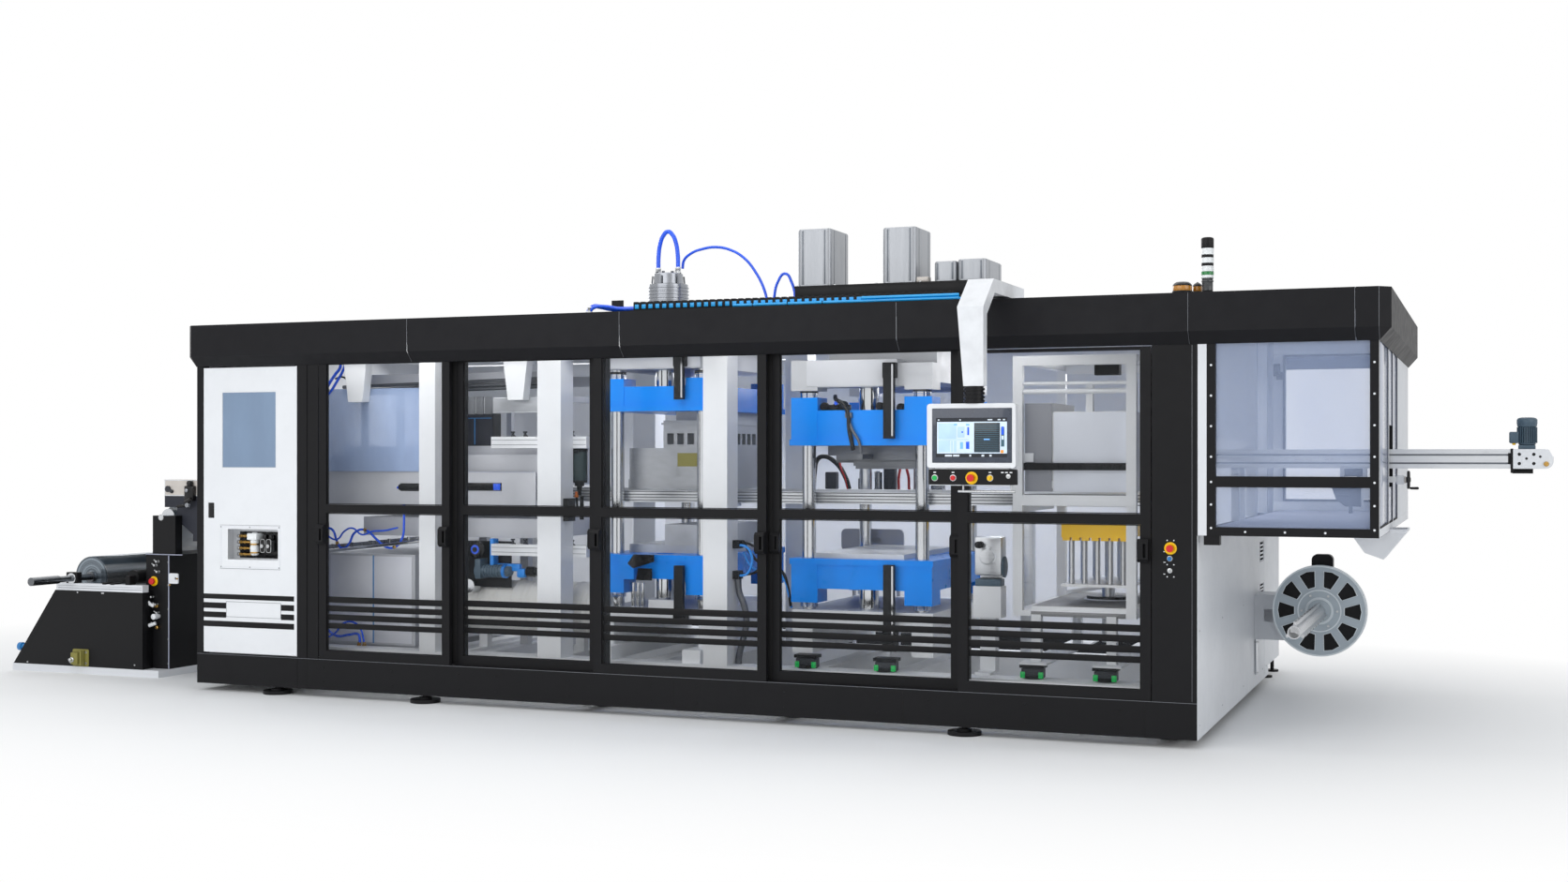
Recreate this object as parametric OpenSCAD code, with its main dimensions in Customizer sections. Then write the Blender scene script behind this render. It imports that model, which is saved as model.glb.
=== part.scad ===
// Roll-fed forming and cutting line: film unwinder, guarded press enclosure, stacker and scrap winder.
// X runs along the line in the direction of the film, Y runs to the rear, Z is up. Millimetres.
// The origin is on the floor, in the middle of the four anchored feet.

/* [Enclosure] */
// Depth of the main enclosure
enc_d = 3080; // [2900:10:3700]
// Height of the top of the header above the floor
enc_h = 2400; // [2300:10:2900]
// Gap between the floor and the plinth
floor_gap = 48; // [30:1:90]
// Height of the black plinth
plinth_h = 195; // [150:5:240]
// Width of the plinth's channel
plinth_w = 110; // [105:1:150]
// Width of the left corner post
corner_post_w = 50; // [40:1:80]
// Width of the cabinet door
cabinet_door_w = 748; // [600:2:950]
// Width of the post beside the cabinet
cabinet_post_w = 73; // [50:1:120]
// Width of the filler strip before the first guard door
filler_w = 90; // [60:1:140]
// Width of the control column at the right front corner
control_w = 240; // [200:2:320]
// Depth of the control column
control_d = 250; // [220:5:290]
// Thickness of the sheet panels
sheet_t = 3; // [2:0.5:5]

/* [Header] */
// Height of the vertical face of the header
header_h = 204; // [150:2:280]
// Height of the slanted lower edge of the header
header_slant = 65; // [40:1:90]
// How far the header stands out from the doors
header_out = 60; // [40:1:90]
// Width of the gap between two header covers
seam_w = 3; // [2:0.5:6]

/* [Guard doors] */
// Width of guard door 1
door_1_w = 976; // [900:2:1080]
// Width of guard door 2
door_2_w = 1000; // [960:2:1100]
// Width of guard door 3
door_3_w = 1124; // [1080:2:1250]
// Width of guard door 4
door_4_w = 1142; // [1130:2:1300]
// Width of guard door 5
door_5_w = 1064; // [980:2:1200]
// Width of a door's upright bars
stile_w = 57; // [45:1:75]
// Height of a door's bottom and middle bars
door_rail_h = 56; // [45:1:75]
// Thickness of a door
door_t = 30; // [24:1:34]
// Height of the underside of the middle bar
mid_rail_z = 1179; // [1000:1:1350]
// Thickness of the middle bar, in front of the pane
mid_rail_t = 12; // [8:1:14]
// Thickness of the clear panes
pane_t = 5; // [4:0.5:8]
// Distance between the two door tracks, front to front
track_pitch = 65; // [62:1:70]
// Height of a door handle
handle_h = 124; // [90:2:180]
// Height of the middle of the handles
handle_z = 1042; // [950:1:1120]

/* [Film line] */
// Height of the film between its chain rails
film_z = 1290; // [1270:1:1310]
// Distance from the doors to the middle of the film
film_y = 1050; // [1000:5:1120]
// Width of the film
film_w = 900; // [760:10:940]

/* [Machine frame] */
// Depth of the white uprights and their beams
upright_d = 160; // [120:5:180]
// Distance from the doors to the front uprights
upright_y = 300; // [290:5:310]
// Height of the underside of the base beams
base_beam_z = 120; // [110:5:140]
// Height of the top of the base beams
base_top_z = 285; // [270:5:300]

/* [Presses] */
// Diameter of the presses' guide columns
column_d = 82; // [60:1:90]
// Gap between a guide column and the platen around it
column_gap = 0.4; // [0.3:0.1:1]
// Width of the forming press platens
form_w = 760; // [700:10:780]
// Width of the cutting press platens
cut_w = 880; // [820:10:900]
// Depth of the platens
platen_d = 1200; // [1000:10:1240]
// Size of the boss round each guide column
boss_w = 168; // [130:2:180]
// Thickness of the flange of a platen
flange_t = 36; // [25:1:50]
// How far a flange stands out from its platen
flange_out = 8; // [4:1:9]
// Thickness of the walls of a platen
web_t = 60; // [40:2:80]
// Travel of the upper platens
upper_travel = 110; // [60:5:120]
// Travel of the lower forming platen
form_travel = 105; // [60:5:110]
// Travel of the lower cutting platen
cut_travel = 220; // [120:5:230]

/* [Stacker] */
// Width of the stacker's guard frame
stacker_w = 704; // [640:4:720]
// Width of the tubes of the guard frame
stacker_tube = 56; // [40:2:60]
// Lift of the stack gripper
stacker_travel = 140; // [80:5:145]

/* [Operator panel] */
// Width of the screen housing
panel_w = 480; // [420:5:540]
// Height of the screen housing
panel_h = 338; // [280:2:360]
// Depth of the screen housing
panel_t = 62; // [50:1:80]
// Distance from the doors to the front of the panel
panel_out = 480; // [440:5:560]
// Diameter of the yellow ring of an emergency stop
stop_ring_d = 66; // [50:1:72]

/* [Discharge cabin] */
// Width of the glazed discharge cabin
cabin_w = 908; // [860:4:1000]
// Height of the underside of the cabin
cabin_z = 1127; // [1100:5:1180]
// Width of the cabin's frame bars
cabin_bar = 44; // [34:1:60]
// Length of the conveyor beyond the cabin
conveyor_out = 650; // [500:10:800]
// Width of the discharge conveyor
conveyor_w = 300; // [240:10:360]
// Height of the conveyor's side profile
conveyor_h = 106; // [90:1:120]

/* [Scrap winder] */
// Diameter of the winder's disc
reel_d = 574; // [440:4:620]
// Number of windows in the disc
reel_windows = 10; // [6:1:14]
// Distance from the doors to the disc
reel_y = 2200; // [2050:10:2300]

/* [Unwinder] */
// Distance from the enclosure to the unwinder's foot frame
unwind_gap = 664; // [620:4:760]
// Length of the unwinder's foot frame
unwind_l = 1317; // [1200:10:1500]
// Diameter of the film roll
roll_d = 292; // [200:4:296]
// Diameter of the unwinder's shaft
unwind_shaft_d = 44; // [30:1:60]
// Height of the unwinder's shaft
unwind_z = 672; // [660:1:700]

/* [Hidden] */
$fn = 64;

// Gap between pieces that move on each other
run_gap = 0.4;
// Widths of the five guard doors, from the left
door_w = [door_1_w, door_2_w, door_3_w, door_4_w, door_5_w];
doors_w = door_1_w + door_2_w + door_3_w + door_4_w + door_5_w;
enc_w = corner_post_w + cabinet_door_w + cabinet_post_w + filler_w + doors_w + control_w;
// The front of the enclosure, and its two ends
front = -enc_d / 2;
foot_first = 606;
foot_last = 5228;
anchor_off = 62;
x_left = -(foot_first + foot_last) / 2 - anchor_off;
x_right = x_left + enc_w;
x_cabin = x_right + cabin_w;
x_doors = x_left + corner_post_w + cabinet_door_w + cabinet_post_w + filler_w;
x_control = x_right - control_w;
// Left edge of guard door n, counted from 0
function door_x(n) = n == 0 ? x_doors : door_x(n - 1) + door_w[n - 1];

// Heights of the enclosure
plinth_top = floor_gap + plinth_h;
header_z = enc_h - header_h;
lip_z = header_z - header_slant;
door_z = plinth_top + 0.5;
door_top_z = lip_z + 49;
guide_z = door_top_z + 2;
beam_h = 60;
roof_z = enc_h - sheet_t;
beam_z = roof_z - beam_h;

// The doors stand in two tracks, the frame's posts behind them
track_y = 5;
post_y = track_y + track_pitch + door_t + 12;
post_d = 60;
post_w = 60;

// Film line
film_front = film_y - film_w / 2;
film_rear = film_y + film_w / 2;
rail_w = 70;
rail_h = 71;
rail_z = film_z - 35;
rail_front = film_front - rail_w + 50;
rail_rear = film_rear - 50;

// Machine frame
upright_rear_y = film_y + (film_y - upright_y) - upright_d;
top_beam_z = beam_z - 140;
upright_a_x = door_x(0) + 560;
upright_b_x = door_x(1) + 452;
upright_c_x = door_x(2) + 590;
upright_a_w = 120;
upright_b_w = 166;
upright_c_w = 158;

// Presses: middle of each, and the rows of guide columns
form_x = upright_c_x - 10 - flange_out - form_w / 2;
cut_x = door_x(3) + 417;
platen_y = film_y - platen_d / 2;
column_x = boss_w / 2;
form_cols = [form_x - form_w / 2 + column_x, form_x + form_w / 2 - column_x];
cut_cols = [cut_x - cut_w / 2 + column_x, cut_x + cut_w / 2 - column_x];
cols_y = [platen_y + boss_w / 2, platen_y + platen_d - boss_w / 2];
press_base_z = 600;
form_upper_z = 1822;
form_head_z = 2083;
cut_upper_z = 1606;
cut_head_z = 1953;
lower_top_z = 932;
spindle_d = 118;

// Stacker
stacker_x = door_x(4) + 196;
stacker_y = 450;
stacker_d = 1090;
stack_mid_x = stacker_x + stacker_w / 2 + 108;
tray_z = 663;

// Operator panel
panel_x = door_x(4) + 5;
panel_z = 1481;
panel_y = -panel_out;

// Discharge conveyor and winder
conveyor_z = 1475;
conveyor_y = film_y - conveyor_w / 2;
conveyor_end = x_cabin + conveyor_out;
reel_x = x_right + 419;
reel_z = 566;

// Unwinder
unwind_x1 = x_left - unwind_gap;
unwind_x0 = unwind_x1 - unwind_l;
unwind_front = film_y - 656;
unwind_rear = film_y + 656;
foot_h = 50;
foot_w = 113;
side_top_z = 588;
shaft_x = unwind_x0 + 535;
roller_x = unwind_x1 - 75;
roller_z = 1112;
roller_r = 58;
neck_d = 70;

// A box between two corners; y counts from the front of the enclosure
module block(x0, x1, y0, y1, z0, z1) {
    translate([x0, front + y0, z0])
        cube([x1 - x0, y1 - y0, z1 - z0]);
}

// A round bar between two points with the same y
module bar_xz(x0, z0, x1, z1, y, r) {
    translate([x0, front + y, z0])
        rotate([0, 90 - atan2(z1 - z0, x1 - x0), 0])
            cylinder(h = norm([x1 - x0, z1 - z0]), r = r);
}

// Round bars along each axis; y counts from the front of the enclosure
module bar_x(x0, x1, y, z, r) {
    translate([x0, front + y, z])
        rotate([0, 90, 0])
            cylinder(h = x1 - x0, r = r);
}

module bar_y(x, y0, y1, z, r) {
    translate([x, front + y0, z])
        rotate([-90, 0, 0])
            cylinder(h = y1 - y0, r = r);
}

module bar_z(x, y, z0, z1, r) {
    translate([x, front + y, z0])
        cylinder(h = z1 - z0, r = r);
}

// An outline drawn in X and Z, drawn out along Y
module plate_y(y0, y1) {
    translate([0, front + y1, 0])
        rotate([90, 0, 0])
            linear_extrude(height = y1 - y0)
                children();
}

// An outline drawn in Y and Z, drawn out along X
module plate_x(x0, x1) {
    translate([x0, front, 0])
        rotate([90, 0, 90])
            linear_extrude(height = x1 - x0)
                children();
}

// An open box of sheet, with its mouth to the front
module open_tray(x0, x1, y0, y1, z0, z1, t) {
    difference() {
        block(x0, x1, y0, y1, z0, z1);
        block(x0 + t, x1 - t, y0 - 1, y1 - t, z0 + t, z1 - t);
    }
}

// Point on a smooth curve through the points p, between p[i] and p[i + 1]
function pick(p, i) = p[max(0, min(len(p) - 1, i))];
function slope(p, i) = (pick(p, i + 1) - pick(p, i - 1))
    / (norm(pick(p, i + 1) - pick(p, i)) + norm(pick(p, i) - pick(p, i - 1)));
function smooth(p, i, t) = let (l = norm(pick(p, i + 1) - pick(p, i)))
    pick(p, i) * (1 - t * t * (3 - 2 * t)) + pick(p, i + 1) * t * t * (3 - 2 * t)
        + slope(p, i) * l * t * (1 - t) * (1 - t) - slope(p, i + 1) * l * t * t * (1 - t);
function route(p, steps) = concat(
    [for (i = [0 : len(p) - 2]) for (s = [0 : steps - 1]) smooth(p, i, s / steps)],
    [p[len(p) - 1]]);
function unit(v) = v / max(norm(v), 0.001);
// A sideways direction that never lines up with the route
function side_of(d, ref) = unit(cross(d, ref));

// A tube swept along a smooth route; ref is any direction that the route never runs along
module hose(points, r, ref, steps = 4, sides = 8) {
    path = route(points, steps);
    last = len(path) - 1;
    rings = [for (i = [0 : last])
        let (d = i == 0 ? unit(points[1] - points[0])
                : i == last ? unit(points[len(points) - 1] - points[len(points) - 2])
                : unit(path[i + 1] - path[i - 1]),
            u = side_of(d, ref),
            v = cross(u, d))
        for (k = [0 : sides - 1])
            path[i] + r * (u * cos(360 * k / sides) + v * sin(360 * k / sides))];
    walls = [for (i = [0 : last - 1]) for (k = [0 : sides - 1])
        [i * sides + k, i * sides + (k + 1) % sides,
            (i + 1) * sides + (k + 1) % sides, (i + 1) * sides + k]];
    start_cap = [[for (k = [sides - 1 : -1 : 0]) k]];
    end_cap = [[for (k = [0 : sides - 1]) last * sides + k]];
    translate([0, front, 0])
        polyhedron(points = rings, faces = concat(walls, start_cap, end_cap), convexity = 10);
}

// ---- Enclosure ----

foot_xs = [x_left + foot_first, x_left + 1729, x_left + 2852, x_left + 4105, x_left + foot_last,
    x_right - 100];
foot_ys = [100, 100, 420, 420, 100, 420];
foot_d = 188;
foot_plate_t = 22;
stem_d = 34;
anchor_hole_d = 18;
cross_xs = [x_left + 2852, x_left + 4105];

module channel(x0, x1, y0, y1, wall) {
    difference() {
        block(x0, x1, y0, y1, floor_gap, plinth_top);
        block(x0 + wall, x1 - wall, y0 + wall, y1 - wall, floor_gap - 1, plinth_top - wall);
    }
}

module base_plinth() {
    wall = 6;
    reach = plinth_w;
    color("#202023")
        difference() {
            union() {
                difference() {
                    block(x_left, x_right, 0, enc_d, floor_gap, plinth_top);
                    block(x_left + reach, x_right - reach, reach, enc_d - reach, floor_gap - 1, plinth_top + 1);
                    difference() {
                        block(x_left + wall, x_right - wall, wall, enc_d - wall,
                            floor_gap - 1, plinth_top - wall);
                        block(x_left + reach - wall, x_right - reach + wall,
                            reach - wall, enc_d - reach + wall, floor_gap - 2, plinth_top);
                    }
                }
                for (x = [x_left + 500, cross_xs[0], cross_xs[1], x_right - 200])
                    block(x - 50, x + 50, reach - 1, enc_d - reach + 1, floor_gap, base_beam_z);
            }
            // Seams between the skirt's covers
            for (x = [x_left + corner_post_w + cabinet_door_w, door_x(2) + 535, door_x(3) + 825, x_control - 37])
                block(x, x + seam_w, -1, 2, floor_gap - 1, plinth_top - 12);
        }
}

module foot(x, y, top_z, anchored) {
    difference() {
        union() {
            bar_z(x, y, 0, foot_plate_t, foot_d / 2);
            bar_z(x, y, foot_plate_t, foot_plate_t + 12, 40);
            bar_z(x, y, 0, top_z, stem_d / 2);
        }
        if (anchored)
            bar_z(x + anchor_off, y, -1, foot_plate_t + 1, anchor_hole_d / 2);
    }
}

// The outer feet stand under the plinth, the set-back ones under the machine's cross beams
module levelling_feet() {
    channel_top = plinth_top - 6;
    color("#161618") {
        for (y = [100 - 45, enc_d - 100 + 45]) {
            foot(foot_xs[0], y, channel_top, true);
            foot(foot_xs[1], y, channel_top, false);
            foot(foot_xs[4], y, channel_top, true);
        }
        for (x = cross_xs)
            for (y = [upright_y + upright_d / 2, upright_rear_y + upright_d / 2])
                foot(x, y, floor_gap, false);
        for (y = [upright_y + upright_d / 2, upright_rear_y + upright_d / 2])
            foot(x_right - 200, y, floor_gap, false);
        // Machine shoes on the base beams, under the press and the stacker
        for (x = [cut_x - 314, cut_x + 181, stacker_x + 133, stacker_x + 547])
            shoe(x);
    }
}

module shoe(x) {
    bar_z(x, upright_y + 100, base_top_z, base_top_z + 22, 58);
    bar_z(x, upright_y + 100, base_top_z + 22, base_top_z + 62, 26);
    block(x - 70, x + 70, upright_y + 55, upright_y + 145, base_top_z + 62, base_top_z + 81);
}

module enclosure_frame() {
    color("#242427") {
        // Welded posts, sills and roof beams
        union() {
            block(x_left, x_left + corner_post_w, 0, post_d, plinth_top, roof_z);
            block(x_left + corner_post_w + cabinet_door_w, x_doors - filler_w, 0, post_y + post_d,
                plinth_top, roof_z);
            for (n = [1 : 4])
                block(door_x(n) - post_w / 2, door_x(n) + post_w / 2, post_y, post_y + post_d,
                    plinth_top, roof_z);
            for (x = [x_left, x_right - post_w])
                block(x, x + post_w, enc_d - post_d, enc_d, plinth_top, roof_z);
            block(x_control + 60, x_right, post_y, control_d, plinth_top, roof_z);
            // Roof ring, carried on over the discharge cabin
            block(x_left, x_cabin, post_y, post_y + post_d, beam_z, roof_z);
            block(x_left, x_cabin, enc_d - post_d, enc_d, beam_z, roof_z);
            for (x = [x_left, x_right - post_w, x_cabin - post_w])
                block(x, x + post_w, 0, enc_d, beam_z, roof_z);
            // Upper guide of the sliding doors
            block(x_doors - filler_w - 1, x_control + 61, track_y, post_y + 1, guide_z, guide_z + 8);
        }
        // Pivots of the cabinet door
        for (z = [plinth_top, cab_z1 + 2])
            difference() {
                block(cab_x1 - 16, cab_x1 + 4, 2, 20, z, z + 9);
                bar_z(cab_pivot_x, cab_pivot_y, z - 1, z + 10, cab_pin_r + run_gap);
            }
        cabin_frame();
        // Filler strip beside the first door
        block(x_doors - filler_w, x_doors - 4, 4, 8, plinth_top, guide_z);
        // Folded cover of the control column
        difference() {
            block(x_control + 4, x_right - 26, 0, post_y, plinth_top, lip_z);
            block(x_control + 4 + sheet_t, x_right - 26 - sheet_t, sheet_t, post_y + 1,
                plinth_top - 1, lip_z + 1);
            for (p = [[x_control + 102, 1056, 13], [x_control + 98, 1002, 9]])
                bar_y(p[0], -1, sheet_t + 1, p[1], p[2]);
        }
        // Corner strip
        block(x_right - 26, x_right, 0, post_y, plinth_top, lip_z);
    }
}

// Plan outline of the header, with the corners cut off
module header_outline(out, cut) {
    x0 = x_left - out;
    x1 = x_cabin + out;
    y0 = front - out;
    y1 = front + enc_d + out;
    polygon([[x0 + cut, y0], [x1 - cut, y0], [x1, y0 + cut], [x1, y1 - cut],
        [x1 - cut, y1], [x0 + cut, y1], [x0, y1 - cut], [x0, y0 + cut]]);
}

module header_slab(out, cut, z, t) {
    translate([0, 0, z])
        linear_extrude(height = t)
            header_outline(out, cut);
}

// The lower edge stands just clear of the faces under it
lip_gap = 0.3;

module header_covers() {
    t = sheet_t;
    cut = header_out;
    color("#2a2a2e")
        difference() {
            union() {
                // Vertical face
                difference() {
                    header_slab(header_out, cut, header_z, header_h);
                    header_slab(header_out - t, cut, header_z - 1, header_h - t + 1);
                    header_slab(-post_y - post_d, cut, header_z - 1, header_h + 2);
                }
                // Slanted lower edge
                difference() {
                    hull() {
                        header_slab(header_out, cut, header_z - 0.01, 0.02);
                        header_slab(t + lip_gap, 1, lip_z, 0.02);
                    }
                    hull() {
                        header_slab(header_out - t, cut, header_z, 1);
                        header_slab(lip_gap, 1, lip_z - 1, 0.02);
                    }
                }
            }
            // Seams between the covers
            for (x = [door_x(0) + 706, door_x(2) + 208, door_x(3) + 806, x_right - 37, x_cabin - 112])
                translate([x, front - header_out - 1, lip_z - 1])
                    cube([seam_w, header_out + post_y + post_d + 2, enc_h - lip_z + 2]);
            for (x = [door_x(0) + 706, door_x(2) + 208, door_x(3) + 806, x_right - 37])
                translate([x, front + enc_d - post_y - post_d - 1, lip_z - 1])
                    cube([seam_w, header_out + post_y + post_d + 2, enc_h - lip_z + 2]);
        }
}

side_seam_y = enc_d - 218;

// Slots of a vent, cut through a panel of the right side
module side_vent(y, z0, z1) {
    slots = 5;
    for (i = [0 : slots - 1])
        block(x_right - 20, x_right + 20, y, y + 190,
            z0 + i * (z1 - z0) / slots, z0 + (i + 0.55) * (z1 - z0) / slots);
}

module enclosure_panels() {
    t = sheet_t;
    color("#eceef0") {
        // Right side, in two panels that hang outside the plinth
        difference() {
            block(x_right, x_right + t, 2, side_seam_y, floor_gap, cabin_z - 1);
            side_vent(side_seam_y - 230, 850, 981);
            side_vent(side_seam_y - 230, 594, 700);
        }
        block(x_right, x_right + t, side_seam_y + 8, enc_d, floor_gap, cabin_z - 1);
        // Rear wall, in three panels
        for (i = [0 : 2])
            block(x_left + post_w + i * (enc_w - 2 * post_w) / 3 + 2,
                x_left + post_w + (i + 1) * (enc_w - 2 * post_w) / 3 - 2,
                enc_d - t, enc_d, plinth_top, beam_z);
        // Left end, with the slot for the film
        difference() {
            block(x_left, x_left + t, post_d, enc_d - post_d, plinth_top, beam_z);
            block(x_left - 1, x_left + t + 1, film_front - 110, film_rear + 110, film_z - 70, film_z + 90);
        }
        // Roof deck, cut out round the presses
        difference() {
            header_slab(-post_y - post_d - 0.5, header_out, roof_z, t);
            block(form_x - form_w / 2 - 20, form_x + form_w / 2 + 20, platen_y - 20,
                platen_y + platen_d + 20, roof_z - 1, roof_z + t + 1);
            block(cut_x - cut_w / 2 - 20, cut_x + cut_w / 2 + 20, platen_y - 20,
                platen_y + platen_d + 20, roof_z - 1, roof_z + t + 1);
        }
        // Electrical cabinet behind its door
        open_tray(x_left + corner_post_w, x_left + corner_post_w + cabinet_door_w, post_d, upright_y - 10,
            plinth_top, lip_z + 40, 3);
        // Bracket that holds the scrap winder
        difference() {
            block(x_right + t, x_right + t + 210, reel_y + 139, reel_y + 420, reel_z - 207, reel_z + 83);
            block(x_right + t + 4, x_right + t + 206, reel_y + 143, reel_y + 416, reel_z - 208, reel_z + 79);
            block(x_right + t + 60, x_right + t + 120, reel_y + 138, reel_y + 144, reel_z - 90, reel_z - 10);
        }
        // White posts and rear wall of the discharge cabin
        block(x_right + t, x_right + 49, 0, 60, cabin_z, cabin_z1);
        difference() {
            block(x_right + 4, x_cabin, enc_d - 60, enc_d - 10, cabin_z, cabin_z1);
            block(x_right + 124, x_cabin - 124, enc_d - 61, enc_d - 9, cabin_z + 124, cabin_z1 - 124);
        }
        for (y = [enc_d - 1170, enc_d - 616])
            block(x_right + 8, x_right + 68, y, y + 60, cabin_z + cabin_bar, cabin_z1);
        block(x_right + 51 + cabin_bar, x_cabin - cabin_bar - 1, 42, enc_d - 61, cabin_z, cabin_z + 4);
        // Chute below the cabin's right corner
        difference() {
            plate_y(900, 1200)
                polygon(chute(0));
            plate_y(904, 1196)
                polygon(chute(5));
        }
        // Electrical cabinet behind the enclosure
        difference() {
            block(x_right - 750, x_right, enc_d, enc_d + 660, 110, cabin_z - 27);
            block(x_right - 746, x_right - 4, enc_d + 4, enc_d + 656, 109, cabin_z - 31);
        }
    }
}

// Outline of the open-topped chute, drawn in by a wall w
function chute(w) = [
    [x_cabin - 216 + w, cabin_z + w], [x_cabin - 130 + w, cabin_z - 122 + w],
    [x_cabin - 31 - w * 0.3, cabin_z - 157 + w * 1.1], [x_cabin + 94 - w * 1.4, cabin_z + w],
    [x_cabin + 94 - w * 1.4, cabin_z + w * 2 + 12], [x_cabin + 2, cabin_z + w * 2 + 12],
    [x_cabin + 2, cabin_z + w]];

// ---- Cabinet ----

cab_x0 = x_left + corner_post_w + 3;
cab_x1 = x_left + corner_post_w + cabinet_door_w - 4;
cab_pivot_x = cab_x1 - 7;
cab_pivot_y = 9;
cab_pin_r = 4;
cab_z0 = plinth_top + 12;
cab_z1 = lip_z - 10;
window_x0 = cab_x0 + 152;
window_x1 = cab_x1 - 166;
window_z0 = 1469;
window_z1 = 1958;
niche_x0 = cab_x0 + 146;
niche_x1 = cab_x1 - 140;
niche_z0 = 823;
niche_z1 = 1074;
niche_d = 118;
skin_t = 2.5;

module cabinet_door() {
    color("#f2f3f5")
        union() {
            difference() {
                block(cab_x0, cab_x1, 2, 2 + door_t, cab_z0, cab_z1);
                block(cab_x0 + skin_t, cab_x1 - skin_t, 2 + skin_t, 3 + door_t,
                    cab_z0 + skin_t, cab_z1 - skin_t);
                block(window_x0, window_x1, 0, 10, window_z0, window_z1);
                block(niche_x0, niche_x1, 0, 10, niche_z0, niche_z1);
                block(cab_x0 + 36, cab_x0 + 85, 0, 10, 1136, 1236);
            }
            // Flange of the air unit's niche
            difference() {
                block(niche_x0 - 12, niche_x1 + 12, 0.5, 2, niche_z0 - 10, niche_z1 + 10);
                block(niche_x0 + 50, niche_x1 - 6, 0, 3, niche_z0 + 44, niche_z1 - 8);
            }
            open_tray(niche_x0 - skin_t, niche_x1 + skin_t, 2, 2 + niche_d, niche_z0 - skin_t,
                niche_z1 + skin_t, skin_t);
            // Pivot pins
            bar_z(cab_pivot_x, cab_pivot_y, plinth_top + 0.3, cab_z0 + 2, cab_pin_r);
            bar_z(cab_pivot_x, cab_pivot_y, cab_z1 - 2, cab_z1 + 11, cab_pin_r);
            // Recessed pull
            open_tray(cab_x0 + 34, cab_x0 + 87, 3, 3 + door_t - 4, 1134, 1238, 2);
        }
}

module cabinet_window() {
    edge = 14;
    color("#9fb0cf", 0.5)
        block(window_x0 - edge, window_x1 + edge, 2 + skin_t + 0.2, 2 + skin_t + 0.2 + pane_t,
            window_z0 - edge, window_z1 + edge);
}

module air_service_unit() {
    back = 2 + niche_d - skin_t;
    x0 = niche_x0 + 62;
    z0 = niche_z0 + 62;
    color("#b08d4f")
        union() {
            block(x0, x0 + 300, back - 8, back, z0 - 10, z0 + 160);
            // Four supply pipes with their fittings
            for (i = [0 : 3]) {
                bar_x(x0 + 4, x0 + 100, back - 34, z0 + 12 + i * 40, 9);
                bar_x(x0 + 24, x0 + 50, back - 34, z0 + 12 + i * 40, 14);
                block(x0 + 78, x0 + 100, back - 46, back - 4, z0 + i * 40, z0 + 24 + i * 40);
            }
            // Filter bowl under its head
            block(x0 + 104, x0 + 184, back - 76, back - 4, z0 + 108, z0 + 154);
            bar_z(x0 + 144, back - 42, z0 + 4, z0 + 108, 30);
            // Two regulators with their knobs
            for (x = [x0 + 222, x0 + 270]) {
                block(x - 19, x + 19, back - 60, back - 4, z0 + 30, z0 + 110);
                bar_z(x, back - 34, z0 + 110, z0 + 148, 16);
                bar_y(x, back - 74, back - 50, z0 + 70, 15);
            }
        }
}

// ---- Guard doors ----

// Doors 1, 3 and 5 stand in the front track, doors 2 and 4 in the rear one
function door_y(n) = n % 2 == 0 ? track_y : track_y + track_pitch;
function outer_door(n) = n % 2 == 0;
function pane_y(n) = door_y(n) + mid_rail_t + run_gap;
// The hinged fifth door swings out below the header, so it ends under the header's lip
hinged_gap = 4;
function door_top(n) = n == 4 ? lip_z - hinged_gap : door_top_z;
function top_rail_h(n) = n == 4 ? 14 : 49;

module handle(x, n) {
    reach = outer_door(n) ? 44 : 26;
    w = 58;
    bevel = 12;
    y = door_y(n);
    translate([x - w / 2, front + y - reach, handle_z - handle_h / 2])
        difference() {
            cube([w, reach, handle_h]);
            for (e = [0, handle_h])
                translate([-1, 0, e])
                    rotate([45, 0, 0])
                        translate([0, -bevel, -bevel])
                            cube([w + 2, 2 * bevel, 2 * bevel]);
            translate([w * 0.55, -1, handle_h * 0.2])
                cube([w * 0.25, reach * 0.6, handle_h * 0.6]);
        }
}

module door_frame(n, handles) {
    x0 = door_x(n) + 2;
    x1 = door_x(n) + door_w[n] - 2;
    y = door_y(n);
    color("#242427") {
        union() {
            for (x = [x0, x1 - stile_w + 2])
                block(x, x + stile_w - 2, y, y + door_t, door_z, door_top(n));
            block(x0, x1, y, y + door_t, door_z, door_z + door_rail_h);
            block(x0, x1, y, y + door_t, door_top(n) - top_rail_h(n), door_top(n));
            block(x0, x1, y, y + mid_rail_t, mid_rail_z, mid_rail_z + door_rail_h);
        }
        for (h = handles)
            handle(h, n);
    }
}

module door_pane(n) {
    x0 = door_x(n) + stile_w + 0.5;
    x1 = door_x(n) + door_w[n] - stile_w - 0.5;
    color("#dfe6ee", 0.3)
        block(x0, x1, pane_y(n), pane_y(n) + pane_t, door_z + door_rail_h + 0.5,
            door_top(n) - top_rail_h(n) - 0.5);
}

module door_1_frame() {
    door_frame(0, [door_x(0) + 31, door_x(1) - 31]);
}

module door_2_frame() {
    door_frame(1, [door_x(2) - 31]);
}

module door_3_frame() {
    door_frame(2, [door_x(2) + 31, door_x(3) - 31]);
}

module door_4_frame() {
    door_frame(3, [door_x(3) + 31, door_x(4) - 31]);
}

// Door 5 swings, so it stands clear of the control column
module door_5_frame() {
    door_frame(4, [door_x(4) + door_5_w - 40]);
}

module door_1_pane() { door_pane(0); }
module door_2_pane() { door_pane(1); }
module door_3_pane() { door_pane(2); }
module door_4_pane() { door_pane(3); }
module door_5_pane() { door_pane(4); }

// ---- Machine frame, rails and ovens ----

module upright(x, w) {
    for (y = [upright_y, upright_rear_y])
        block(x, x + w, y, y + upright_d, base_top_z, top_beam_z);
}

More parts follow.
